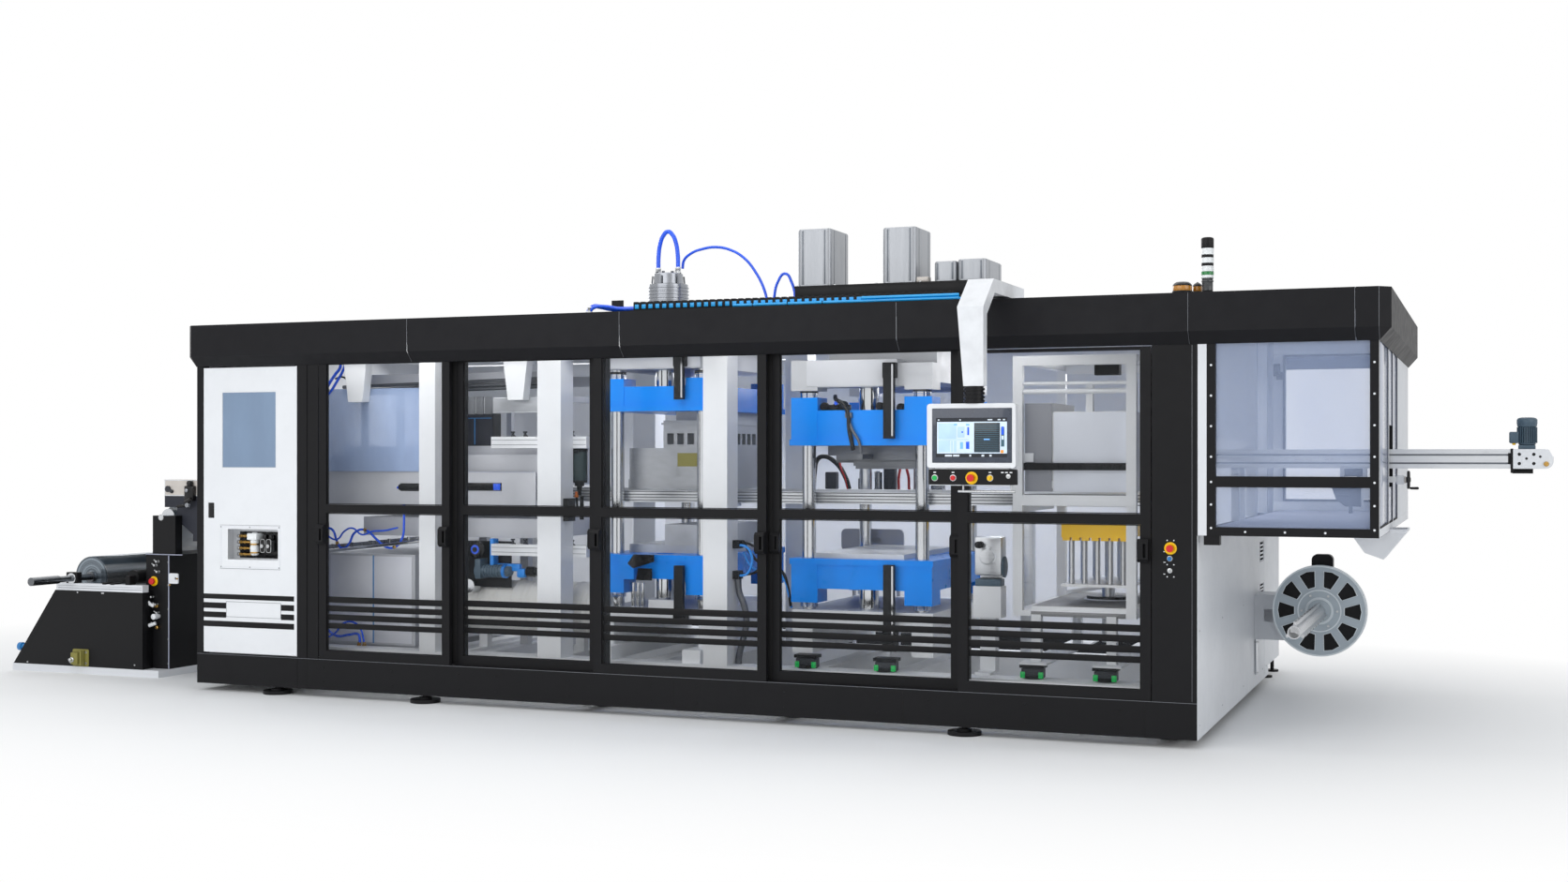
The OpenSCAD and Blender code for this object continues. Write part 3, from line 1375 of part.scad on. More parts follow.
// Routes beside the third upright, counted from its right face
loop_a = [[40.3, 430, 1018], [60, 430, 1018], [104, 430, 1006], [150, 432, 970], [170, 434, 915], [140, 432, 850],
    [90, 430, 830], [60, 430, 828], [40.3, 430, 828]];
loop_b = [[40.3, 400, 1004], [54, 400, 1004], [88, 400, 992], [116, 400, 950], [118, 400, 890], [90, 400, 836],
    [54, 400, 822], [40.3, 400, 822]];
ribbed_drop = [[24, 415, 799.7], [24, 415, 770], [30, 416, 720], [60, 420, 640], [74, 423, 550], [54, 422, 440],
    [30, 420, 350], [24, 420, 315], [24, 420, 285.3]];

module shifted(dx) {
    translate([dx, 0, 0])
        children();
}

module air_hoses() {
    side = [0, 1, 0.1];
    x0 = form_x - 26;
    x1 = panel_x - 54;
    y0 = post_y + post_d + 42;
    z = roof_z + sheet_t + 26;
    color("#1f6fe0") {
        shifted(form_x) {
            hose(arch_a, 14, side);
            hose(arch_b, 9, side);
            hose(arch_c, 9, side);
            hose(roof_left, 15, side);
        }
        shifted(gen_x0) {
            hose(bay_wave, 8, side);
            hose(bay_top, 10, side);
            hose(bay_low, 9, side);
        }
        shifted(upright_c_x + upright_c_w) {
            hose(loop_a, 8, side);
            hose(loop_b, 8, side);
        }
    }
    color("#1fa0e8") {
        // Hoses in the cable chain, and the bundle in front of it
        for (i = [0 : 2])
            bar_x(x0, x1, y0 + 21 + i * 21, z + 9.3, 9);
        for (i = [0 : 1])
            bar_x(form_x + 640, x1, y0 - 18, z + 9.3 + i * 18.2, 9);
    }
    color("#c8cbd0")
        shifted(upright_c_x + upright_c_w)
            hose(ribbed_drop, 20, side, 4, 12);
}

// ---- Operator panel ----

arm_x0 = panel_x + 133;
arm_x1 = arm_x0 + 142;
pivot_x = arm_x0 + 83.5;
pivot_y = panel_y + 36;
arm_low_z = 1910;
pivot_d = 112;
neck_z = panel_z + panel_h + run_gap;

// Folded arm: a level tube over the header, a slope and a drop that narrows downwards
module panel_arm() {
    y0 = panel_y;
    roof = roof_z + sheet_t;
    color("#f2f3f5")
        union() {
            intersection() {
                plate_x(arm_x0, arm_x1)
                    polygon([[y0, arm_low_z], [y0, 2326], [y0 + 210, 2489], [380, 2489], [380, 2415],
                        [y0 + 232, 2415], [y0 + 72, 2290], [y0 + 72, arm_low_z]]);
                plate_y(y0 - 10, 400)
                    polygon([[arm_x0 + 34, arm_low_z - 1], [arm_x0, 2326], [arm_x0, 2500], [arm_x1 + 1, 2500],
                        [arm_x1 + 1, arm_low_z - 1]]);
            }
            block(arm_x0 + 6, arm_x1 - 6, 240, 374, roof, 2416);
            block(arm_x0 - 30, arm_x1 + 30, 220, 394, roof, roof + 8);
        }
    color("#1b1b1d")
        union() {
            difference() {
                union() {
                    bar_z(pivot_x, pivot_y, neck_z, arm_low_z, pivot_d / 2 - 6);
                    for (i = [0 : 3])
                        bar_z(pivot_x, pivot_y, neck_z + 6 + i * 21, neck_z + 18 + i * 21, pivot_d / 2);
                }
                bar_z(pivot_x, pivot_y, neck_z - 1, neck_z + 46, 20 + run_gap);
            }
        }
}

strip_z = 1393;
strip_h = 81;
button_z = strip_z + 36;
button_xs = [42, 142, 243, 342];
button_d = 30;

// Screen housing with a sunk bezel, the button strip under it and the grip
module operator_panel() {
    x0 = panel_x - 32;
    x1 = x0 + panel_w;
    y0 = panel_y;
    z1 = panel_z + panel_h;
    strip_y = y0 + 6;
    color("#eceef0") {
        union() {
            difference() {
                block(x0, x1, y0, y0 + panel_t, panel_z, z1);
                block(x0 + 29, x1 - 20, y0 - 1, y0 + 5, panel_z + 27, z1 - 25);
            }
            bar_z(pivot_x, pivot_y, z1, z1 + 45, 20);
        }
        // Bezel with the screen
        block(x0 + 29.5, x1 - 20.5, y0 + 1, y0 + 5, panel_z + 27.5, z1 - 25.5);
        // Button strip
        difference() {
            block(x0 + 8, x1 + 3, strip_y, strip_y + 50, strip_z, strip_z + strip_h);
            for (i = [0 : 3])
                bar_y(x0 + button_xs[i], strip_y - 1, strip_y + 26, button_z,
                    i == 2 ? 13 : button_d / 2 - 1);
        }
        block(x0 + 40, x1 - 40, strip_y + 10, strip_y + 40, strip_z + strip_h, panel_z);
        // Grip bar on its two studs
        union() {
            bar_x(x0 + 162, x1 - 10, strip_y + 25, 1358, 7);
            for (x = [x0 + 190, x1 - 30])
                bar_z(x, strip_y + 25, 1358, strip_z, 5);
        }
        bar_y(x0 + 438, strip_y - 12, strip_y, button_z + 10, 9);
    }
}

// An emergency stop: the ring stays, the mushroom pushes in
module stop_button(x, y, z) {
    union() {
        bar_y(x, y - 34, y - 16, z, 19);
        bar_y(x, y - 17, y + 20, z, 12);
    }
}

module push_button(x, y, z) {
    union() {
        bar_y(x, y - 9, y + 22, z, button_d / 2 - 1.6);
        bar_y(x, y - 12, y - 8, z, button_d / 2 - 4);
    }
}

module turn_knob(x, y, z, r) {
    union() {
        bar_y(x, y - 10, y - 0.5, z, r);
        bar_y(x, y - 1, y + 20, z, r * 0.55);
        translate([x, front + y - 20, z])
            rotate([0, 30, 0])
                translate([-r * 0.25, 0, -r * 0.9])
                    cube([r * 0.5, 12, r * 1.8]);
    }
}

strip_front = panel_y + 6;
panel_x0 = panel_x - 32;

module panel_stop() {
    color("#d6202a")
        stop_button(panel_x0 + button_xs[2], strip_front, button_z);
}

module panel_start() {
    color("#12a84a")
        push_button(panel_x0 + button_xs[0], strip_front, button_z);
}

module panel_reset() {
    color("#c81f2a")
        push_button(panel_x0 + button_xs[1], strip_front, button_z);
}

module panel_selector() {
    color("#e8b000")
        turn_knob(panel_x0 + button_xs[3], strip_front, button_z, 15);
}

module column_stop() {
    color("#d6202a")
        stop_button(x_control + 102, 0, 1056);
}

module column_selector() {
    color("#3a7fc4")
        turn_knob(x_control + 98, 0, 1002, 12);
}

module signal_lights() {
    x = x_right + 45;
    y = 60;
    z = enc_h;
    color("#303238")
        union() {
            bar_z(x, y, z, z + 12, 34);
            bar_z(x, y, z + 12, z + 81, 30);
            for (i = [0 : 3])
                bar_z(x, y, z + 81 + i * 44, z + 119 + i * 44, 33);
            bar_z(x, y, z + 80, z + 240, 28);
            bar_z(x, y, z + 239, z + 296, 33);
        }
    color("#c98a2a")
        for (p = [[x_right - 86, y, 54], [x_right - 16, y + 58, 28.5]]) {
            bar_z(p[0], p[1], z, z + 34, p[2]);
            bar_z(p[0], p[1], z + 34, z + 60, p[2] - 10);
        }
}

// ---- Discharge cabin ----

cabin_x0 = x_right;
cabin_z1 = beam_z;
cabin_mid_z = 1381;
cabin_mid_h = 57;
pass_y0 = conveyor_y - 40;
pass_y1 = conveyor_y + conveyor_w + 40;
pass_z0 = conveyor_z - 100;
pass_z1 = conveyor_z + conveyor_h + 130;

module cabin_frame() {
    x0 = cabin_x0;
    x1 = x_cabin;
    b = cabin_bar;
    union() {
        for (x = [x0 + 50, x1 - b])
            block(x, x + b, 0, 40, cabin_z, cabin_z1);
        block(x0 + 50, x1, 0, 40, cabin_z, cabin_z + b);
        block(x0 + 50, x1, 0, 16, cabin_mid_z, cabin_mid_z + cabin_mid_h);
        block(x0 + 50, x1, 0, 40, cabin_z1 - b, cabin_z1);
        // Bars along the end and along the enclosure
        for (x = [x0 + 50, x1 - b])
            block(x, x + b, 0, enc_d - 60, cabin_z, cabin_z + b);
        block(x1 - b, x1, 0, enc_d - 60, cabin_z1 - b, cabin_z1);
        for (y = [pass_y0 - b, pass_y1])
            block(x1 - b, x1, y, y + b, cabin_z, cabin_z1);
        // Lug below the left corner
        block(x0 + 34, x0 + 116, 4, 60, cabin_z - 50, cabin_z);
    }
    // Gasket of the rear window
    difference() {
        block(x0 + 110, x1 - 110, enc_d - 72, enc_d - 60, cabin_z + 110, cabin_z1 - 110);
        block(x0 + 124, x1 - 124, enc_d - 73, enc_d - 59, cabin_z + 124, cabin_z1 - 124);
    }
}

module cabin_glazing() {
    x0 = cabin_x0 + 50 + cabin_bar + 0.5;
    x1 = x_cabin - cabin_bar - 0.5;
    z0 = cabin_z + cabin_bar + 0.5;
    z1 = cabin_z1 - cabin_bar - 0.5;
    x_side = x_cabin - 24;
    color("#bccbe6", 0.4) {
        block(x0, x1, 16.5, 16.5 + pane_t, z0, z1);
        block(x_right + 124.5, x_cabin - 124.5, enc_d - 70, enc_d - 70 + pane_t, cabin_z + 124.5,
            cabin_z1 - 124.5);
        // End wall on both sides of the conveyor, and above and below it
        block(x_side, x_side + pane_t, 40.5, pass_y0 - cabin_bar - 0.5, z0, z1);
        block(x_side, x_side + pane_t, pass_y1 + cabin_bar + 0.5, enc_d - 60.5, z0, z1);
        block(x_side, x_side + pane_t, pass_y0 + 0.5, pass_y1 - 0.5, pass_z1, z1);
        block(x_side, x_side + pane_t, pass_y0 + 0.5, pass_y1 - 0.5, z0, pass_z0);
    }
}

pulley_x = conveyor_end + 148;
pulley_z = conveyor_z + 26;
hub_d = 26;

// Belt conveyor: two profiles and a belt, with end plates round the drive pulley
module conveyor_beam() {
    x0 = x_right - 360;
    y0 = conveyor_y;
    y1 = conveyor_y + conveyor_w;
    end_l = 184;
    color("#c4c8ce") {
        difference() {
            union() {
                for (y = [y0, y1 - 40])
                    block(x0, conveyor_end, y, y + 40, conveyor_z, conveyor_z + conveyor_h);
                block(x0, conveyor_end, y0 + 39, y1 - 39, conveyor_z + 30, conveyor_z + conveyor_h - 20);
            }
            for (y = [y0 - 1, y1 - 5])
                for (z = [conveyor_z + 24, conveyor_z + 70])
                    block(x0 - 1, conveyor_end + 1, y, y + 6, z, z + 10);
        }
        // End plates
        for (y = [y0 - 8, y1 + 0])
            difference() {
                union() {
                    block(conveyor_end - 20, conveyor_end + end_l - 40, y, y + 8,
                        conveyor_z, conveyor_z + conveyor_h);
                    bar_y(pulley_x - 4, y, y + 8, conveyor_z + 40, 40);
                    block(pulley_x - 4, pulley_x + 36, y, y + 8, conveyor_z + 40, conveyor_z + 66);
                }
                bar_y(pulley_x, y - 1, y + 9, pulley_z, hub_d / 2 + 0.4);
            }
        // Sensor holder under the conveyor, inside the cabin
        union() {
            block(x_cabin - 193, x_cabin - 133, y0 + 10, y0 + 30, conveyor_z - 33, conveyor_z);
            block(x_cabin - 173, x_cabin - 153, y0 + 10, y0 + 30, conveyor_z - 97, conveyor_z - 32);
            block(x_cabin - 225, x_cabin - 88, y0 + 6, y0 + 34, conveyor_z - 171, conveyor_z - 96);
            block(x_cabin - 156, x_cabin - 138, y0 + 12, y0 + 28, conveyor_z - 224, conveyor_z - 170);
        }
        // Legs on the cabin's inner bar
        for (y = [y0 + 20, y1 - 60])
            block(x_right + 50, x_right + 50 + cabin_bar, y, y + 40, cabin_z + cabin_bar, conveyor_z);
        // Gear block between the end plates, under the motor
        block(conveyor_end + 10, conveyor_end + 96, y0, y1, conveyor_z + 50, conveyor_z + conveyor_h - 6);
    }
    // Handwheel bearing on its arm, under the conveyor
    color("#3a3d42")
        difference() {
            union() {
                block(x_cabin - 52, x_cabin + 78, y0 + 4, y0 + 34, conveyor_z - 76, conveyor_z - 46);
                block(x_cabin - 52, x_cabin - 16, y0 + 4, y0 + 34, conveyor_z - 47, conveyor_z);
                block(x_cabin + 40, x_cabin + 78, y0 + 0, y0 + 38, conveyor_z - 86, conveyor_z - 40);
            }
            bar_x(x_cabin + 20, x_cabin + 90, y0 + 19, conveyor_z - 63, 8 + run_gap);
        }
}

module gear_motors() {
    x = conveyor_end + 54;
    z = conveyor_z + conveyor_h - 6;
    y = conveyor_y + 60;
    color("#4f6373") {
        // Feed motor in bay 2
        union() {
            bar_x(upright_a_x + 300, upright_a_x + 500, 518, 800, 44);
            bar_x(upright_a_x + 500, upright_a_x + 556, 518, 800, 30);
            block(upright_a_x + 306, upright_a_x + 350, 474, 570, 748, 880);
            block(upright_a_x + 420, upright_a_x + 470, 540, 570, 780, 820);
        }
        // Take-off gear left of the stacker
        block(gear_x + 10, gear_x + 160, 530, 630, 789, 830);
        bar_x(gear_x + 168, gear_x + 178, 580, 900, 62);
        union() {
            block(x - 44, x + 42, y - 46, y + 46, z, z + 30);
            bar_z(x, y, z + 30, z + 130, 48);
            for (i = [0 : 7])
                rotate_fin(x, y, z + 34, z + 126, i * 45);
            bar_z(x, y, z + 130, z + 178, 52);
            block(x - 88, x - 40, y - 34, y + 34, z + 40, z + 104);
            bar_z(x - 66, y - 16, z + 28, z + 41, 10);
        }
    }
}

module rotate_fin(x, y, z0, z1, a) {
    translate([x, front + y, z0])
        rotate([0, 0, a])
            translate([0, -2, 0])
                cube([53, 4, z1 - z0]);
}

module conveyor_pulley() {
    y0 = conveyor_y;
    y1 = conveyor_y + conveyor_w;
    color("#b8944a")
        union() {
            bar_y(pulley_x, y0 - 14, y1 + 14, pulley_z, hub_d / 2);
            bar_y(pulley_x, y0 + 8, y1 - 8, pulley_z, 22);
        }
}

// Handwheel with a turned crank pin
module handwheel() {
    x = x_cabin + 92;
    y = conveyor_y + 19;
    z = conveyor_z - 63;
    color("#141416")
        union() {
            difference() {
                bar_x(x, x + 16, y, z, 55);
                bar_x(x - 1, x + 17, y, z, 44);
            }
            bar_x(x - 50, x + 20, y, z, 8);
            bar_x(x - 10, x + 18, y, z, 16);
            for (a = [90, 210, 330])
                translate([x + 2, front + y, z])
                    rotate([a, 0, 0])
                        translate([0, -5, 0])
                            cube([10, 10, 50]);
            bar_x(x + 15, x + 62, y, z - 49, 7);
        }
}

// ---- Scrap winder ----

hub_r = 70;

module reel_window(r0, r1, a) {
    half = 180 / reel_windows;
    polygon([
        [r0 * sin(a - half * 0.52), r0 * cos(a - half * 0.52)],
        [r1 * sin(a - half * 0.68), r1 * cos(a - half * 0.68)],
        [(r1 + 5) * sin(a), (r1 + 5) * cos(a)],
        [r1 * sin(a + half * 0.68), r1 * cos(a + half * 0.68)],
        [r0 * sin(a + half * 0.52), r0 * cos(a + half * 0.52)]]);
}

module reel_disc(y0, t, windowed) {
    translate([reel_x, front + y0 + t, reel_z])
        rotate([90, 0, 0])
            linear_extrude(height = t)
                difference() {
                    circle(d = reel_d, $fn = 128);
                    circle(r = 37.4);
                    if (windowed)
                        for (i = [0 : reel_windows - 1])
                            reel_window(hub_r + 79, reel_d / 2 - 34, (i + 0.5) * 360 / reel_windows);
                }
}

module scrap_reel() {
    color("#b5bfc8")
        union() {
            reel_disc(reel_y, 10, true);
            difference() {
                bar_y(reel_x, reel_y - 20, reel_y + 70, reel_z, hub_r);
                bar_y(reel_x, reel_y - 21, reel_y + 71, reel_z, 37.4);
            }
            difference() {
                bar_y(reel_x, reel_y + 9, reel_y + 70, reel_z, reel_d / 2);
                bar_y(reel_x, reel_y + 8, reel_y + 60, reel_z, reel_d / 2 - 4);
                bar_y(reel_x, reel_y + 50, reel_y + 71, reel_z, 37.4);
            }
        }
}

// Winding shaft with three gripping bars and a button end, and its bearing housing
module reel_shaft() {
    color("#9ba1a8")
        union() {
            bar_y(reel_x, reel_y - 1480, reel_y + 75, reel_z, 37);
            bar_y(reel_x, reel_y - 1500, reel_y - 1479, reel_z, 35);
            for (a = [90, 210, 330])
                translate([reel_x, front + reel_y - 1440, reel_z])
                    rotate([0, -a, 0])
                        translate([30, 0, -9])
                            cube([26, 1400, 18]);
            bar_y(reel_x, reel_y + 74, reel_y + 290, reel_z, 20);
        }
}

// ---- Unwinder ----

// Side plate of the unwinder, sloped at its outer end
module unwind_side(y0, y1) {
    plate_y(y0, y1)
        polygon([[unwind_x0 + 4, foot_h], [unwind_x0 + 390, side_top_z], [unwind_x1 - 144, side_top_z],
            [unwind_x1 - 144, foot_h]]);
}

module unwind_base() {
    x0 = unwind_x0;
    x1 = unwind_x1;
    y0 = unwind_front;
    y1 = unwind_rear;
    color("#eceef0")
        union() {
            for (y = [y0, y1 - foot_w])
                block(x0, x1, y, y + foot_w, 0, foot_h);
            for (x = [x0, x1 - foot_w])
                block(x, x + foot_w, y0, y1, 0, foot_h);
            // Top rails with the shaft's bearing blocks
            for (y = [y0 + 6, y1 - 66]) {
                block(x0 + 400, x1 - 144, y, y + 60, side_top_z, side_top_z + 50);
                bearing(y + 6);
            }
            // Tie to the enclosure
            block(x1 - 10, x_left, y1 - 90, y1 - 40, 10, foot_h - 5);
            block(x_left - 20, x_left, y1 - 90, y1 - 40, 10, 160);
        }
}

module bearing(y) {
    difference() {
        block(shaft_x - 48, shaft_x + 48, y, y + 44, side_top_z + 49, unwind_z + 42);
        bar_y(shaft_x, y - 1, y + 45, unwind_z, unwind_shaft_d / 2 + run_gap);
    }
}

// Black side plates, and the tower that carries the guide roller
module unwind_cover() {
    x0 = unwind_x1 - 206;
    x1 = unwind_x1;
    y0 = unwind_front + foot_w;
    y1 = unwind_rear - foot_w;
    neck_x1 = x1 + 50;
    color("#222225") {
        unwind_side(unwind_front + 6, unwind_front + 12);
        unwind_side(unwind_rear - 12, unwind_rear - 6);
        difference() {
            union() {
                block(x0, x1, y0, y1, foot_h, 848);
                for (y = [y0, y1 - neck_d])
                    block(x0 + 58, neck_x1, y, y + neck_d, 856, roller_z + 12);
                block(x0, neck_x1 + 70, y0 - 6, y1, 848, 856);
            }
            block(x0 + 5, x1 - 5, y0 + 5, y1 - 5, foot_h - 1, 843);
            bar_y(roller_x, y0 - 1, y1 + 1, roller_z, 16 + run_gap);
            bar_y(x0 + 70, y0 - 1, y0 + 8, 663, 13);
        }
        // Fixed film guide tube beside the roll
        bar_y(x0 - 70, unwind_front + 60, unwind_rear - 60, 690, 50);
        for (y = [unwind_front + 66, unwind_rear - 66 - 40])
            block(x0 - 90, x0 - 50, y - 60, y - 6, side_top_z + 50, 700);
    }
}

module unwind_shaft() {
    y0 = unwind_front - 370;
    color("#aab0b6")
        union() {
            bar_y(shaft_x, y0 + 250, unwind_rear - 2, unwind_z, unwind_shaft_d / 2);
            bar_y(shaft_x, y0, y0 + 251, unwind_z, 29);
            bar_y(shaft_x, film_front - 16, film_rear + 16, unwind_z, 38);
        }
}

module film_roll() {
    color("#b9c4cc")
        difference() {
            bar_y(shaft_x, film_front, film_rear, unwind_z, roll_d / 2);
            bar_y(shaft_x, film_front - 1, film_rear + 1, unwind_z, 38.3);
        }
}

// Path of the film in X and Z: off the roll, up the tower and over the guide roller
function film_path(d) = concat(
    [[shaft_x, unwind_z + roll_d / 2 + 0.4 + d], [shaft_x + 250, unwind_z + roll_d / 2 + 10 + d],
        [roller_x - 150, unwind_z + roll_d / 2 + 34 + d], [roller_x - 96 - d * 0.3, unwind_z + roll_d / 2 + 66 + d],
        [roller_x - roller_r - 8.4 - d, unwind_z + roll_d / 2 + 130]],
    [for (a = [180 : -6 : 126]) [roller_x + (roller_r + 0.4 + d) * cos(a), roller_z + (roller_r + 0.4 + d) * sin(a)]],
    [[x_left - 560, film_z + d * 0.6], [x_left - 500, film_z + d], [x_left + 30, film_z + d]]);

// The film web: a thin sheet from the roll to the chain rails
module film_web() {
    under = film_path(0);
    over = film_path(1);
    last = len(over) - 1;
    color("#ccd6df", 0.5)
        plate_y(film_front, film_rear)
            polygon(concat(under, [for (i = [0 : last]) over[last - i]]));
}

module guide_roller() {
    y0 = unwind_front + foot_w;
    y1 = unwind_rear - foot_w;
    color("#d5d9de")
        union() {
            bar_y(roller_x, y0 - 4, y1 + 4, roller_z, 16);
            bar_y(roller_x, y0 + neck_d + 1, y1 - neck_d - 1, roller_z, roller_r);
        }
}

module unwind_stop() {
    color("#d6202a")
        stop_button(unwind_x1 - 136, unwind_front + foot_w, 663);
}

// Guard of the film's way in, between the unwinder and the enclosure
module infeed_guide() {
    x0 = x_left - 770;
    x1 = x_left;
    y0 = film_front - 20;
    y1 = film_rear + 20;
    color("#3a3c45")
        union() {
            for (y = [y0, y1 - 8])
                plate_y(y, y + 8)
                    polygon([[x0, 1262], [x1, 1262], [x1, 945], [x0 + 247, 945], [x0 + 247, 993],
                        [x0 + 110, 1092], [x0 + 110, 1182], [x0, 1182]]);
            // Blue idler and the rear roller between the plates
            bar_y(x0 + 300, y0 + 4, y1 - 4, 967, 15);
            bar_y(x0 + 560, y0 + 4, y1 - 4, 1000, 30);
        }
    color("#e2ded8")
        difference() {
            block(x0, x1, y0, y1, 1262, 1377);
            block(x0 + 4, x1 - 4, y0 + 8, y1 - 8, 1261, 1373);
            block(x0 - 1, x1 + 1, film_front - 4, film_rear + 4, 1261, 1330);
        }
    // Clamp and its lever on the front plate
    color("#1c1c1f")
        union() {
            block(x0 + 590, x0 + 690, y0 - 46, y0, 1250, 1330);
            bar_y(x0 + 640, y0 - 60, y0, 1225, 26);
            block(x0 + 440, x0 + 640, y0 - 58, y0 - 44, 1212, 1228);
            bar_z(x0 + 650, y0 - 24, 1329, 1362, 18);
        }
}

base_plinth();
levelling_feet();
enclosure_frame();
header_covers();
enclosure_panels();
cabinet_door();
cabinet_window();
air_service_unit();
door_1_frame();
door_2_frame();
door_3_frame();
door_4_frame();
door_5_frame();
door_1_pane();
door_2_pane();
door_3_pane();
door_4_pane();
door_5_pane();
machine_frame();
chain_rails();
ovens();
form_crosshead();
form_upper_platen();
form_lower_platen();
form_tool();
cut_crosshead();
cut_upper_platen();
cut_lower_platen();
cut_tool();
bright_bars();
stacker_frame();
stack_gripper();
stacker_rods();
drive_housings();
air_hoses();
black_fittings();
panel_arm();
operator_panel();
panel_stop();
panel_start();
panel_reset();
panel_selector();
column_stop();
column_selector();
signal_lights();
cabin_glazing();
conveyor_beam();
gear_motors();
conveyor_pulley();
handwheel();
scrap_reel();
reel_shaft();
unwind_base();
unwind_cover();
unwind_shaft();
film_roll();
film_web();
guide_roller();
unwind_stop();
infeed_guide();
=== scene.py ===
# A roll-fed forming line, dressed for a studio picture.
# Places are in millimetres: x from the middle of the main enclosure, y back from the doors, z from the floor.
import math

import bmesh
import bpy
from mathutils import Matrix, Vector


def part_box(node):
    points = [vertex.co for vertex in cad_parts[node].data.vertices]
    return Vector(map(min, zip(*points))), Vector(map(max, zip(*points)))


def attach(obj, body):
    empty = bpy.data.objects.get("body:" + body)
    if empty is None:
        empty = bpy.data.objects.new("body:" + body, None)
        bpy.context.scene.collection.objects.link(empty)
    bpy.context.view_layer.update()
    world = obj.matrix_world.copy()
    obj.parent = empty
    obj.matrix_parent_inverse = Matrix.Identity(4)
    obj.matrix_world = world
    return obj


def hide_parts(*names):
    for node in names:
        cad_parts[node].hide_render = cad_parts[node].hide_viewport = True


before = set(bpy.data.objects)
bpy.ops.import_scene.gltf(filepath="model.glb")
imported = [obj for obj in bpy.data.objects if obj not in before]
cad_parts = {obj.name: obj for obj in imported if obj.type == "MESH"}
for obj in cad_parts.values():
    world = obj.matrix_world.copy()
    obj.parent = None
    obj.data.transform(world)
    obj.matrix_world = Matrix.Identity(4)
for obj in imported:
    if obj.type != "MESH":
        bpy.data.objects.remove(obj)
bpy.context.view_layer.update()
scene = bpy.context.scene
mm = 0.001
leftEnd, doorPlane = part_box("enclosure_frame")[0][0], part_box("enclosure_frame")[0][1]
halfLength = 3253.5      # from the middle of the main enclosure to its left end
middleX = leftEnd + halfLength * mm
print("frame loaded:", len(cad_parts), "nodes")


def spot(x, y, z):
    return Vector((middleX + x * mm, doorPlane + y * mm, z * mm))


# A finish by its name, or a material as it is
def finishOf(material):
    return finishes[material] if isinstance(material, str) else material


def finishMesh(name, bm, material, body="machine", smoothTo=35):
    bmesh.ops.recalc_face_normals(bm, faces=bm.faces)
    mesh = bpy.data.meshes.new(name)
    bm.to_mesh(mesh)
    bm.free()
    mesh.shade_smooth()
    mesh.set_sharp_from_angle(angle=math.radians(smoothTo))
    piece = bpy.data.objects.new(name, mesh)
    scene.collection.objects.link(piece)
    for m in material if isinstance(material, (list, tuple)) else [material]:
        mesh.materials.append(finishOf(m))
    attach(piece, body)
    return piece


def addBox(bm, x0, x1, y0, y1, z0, z1, rounding=1.5, turn=None, slot=0):
    low, high = spot(x0, y0, z0), spot(x1, y1, z1)
    size = high - low
    made = bmesh.ops.create_cube(bm, size=1.0)["verts"]
    bmesh.ops.scale(bm, vec=size, verts=made)
    edges = list(dict.fromkeys(e for v in made for e in v.link_edges))
    width = min(rounding * mm, min(size) * 0.3)
    if width > 0.0001:
        out = bmesh.ops.bevel(bm, geom=edges, offset=width, segments=2, profile=0.5, affect="EDGES")
        rounded = [v for f in out["faces"] for v in f.verts]
        made = list(dict.fromkeys(rounded + [v for v in made if v.is_valid]))
    if turn:
        bmesh.ops.rotate(bm, cent=(0, 0, 0), matrix=turn, verts=made)
    bmesh.ops.translate(bm, vec=(low + high) / 2, verts=made)
    for f in dict.fromkeys(f for v in made for f in v.link_faces):
        f.material_index = slot
    return made


def boxes(name, blocks, material, body="machine", rounding=1.5):
    bm = bmesh.new()
    for b in blocks:
        addBox(bm, *b, rounding=rounding)
    return finishMesh(name, bm, material, body)


def axisTurn(along):
    return Vector((0, 0, 1)).rotation_difference(Vector(along)).to_matrix()


# Sweeps a profile of (distance along, radius) round an axis
def addTurned(bm, base, along, profile, sides=32, slot=0):
    turn = axisTurn(along)
    rings = []
    for d, r in profile:
        if r < 0.01:
            rings.append([bm.verts.new(base + turn @ Vector((0, 0, d * mm)))])
            continue
        rings.append([bm.verts.new(base + turn @ Vector((
            r * mm * math.cos(2 * math.pi * i / sides), r * mm * math.sin(2 * math.pi * i / sides),
            d * mm)))
            for i in range(sides)])
    for a, b in zip(rings, rings[1:]):
        for i in range(sides):
            j = (i + 1) % sides
            corners = [a[i % len(a)], a[j % len(a)], b[j % len(b)], b[i % len(b)]]
            corners = list(dict.fromkeys(corners))
            if len(corners) > 2:
                bm.faces.new(corners).material_index = slot
    for ring, flip in ((rings[0], True), (rings[-1], False)):
        if len(ring) > 1:
            bm.faces.new(ring[::-1] if flip else ring).material_index = slot


# A round bar between two points, with a small chamfer at each end
def addRod(bm, a, b, r, sides=20, slot=0):
    length = (b - a).length / mm
    c = min(r * 0.12, 1.2)
    addTurned(bm, a, (b - a).normalized(), [(0, r - c), (c, r), (length - c, r), (length, r - c)], sides,
              slot)


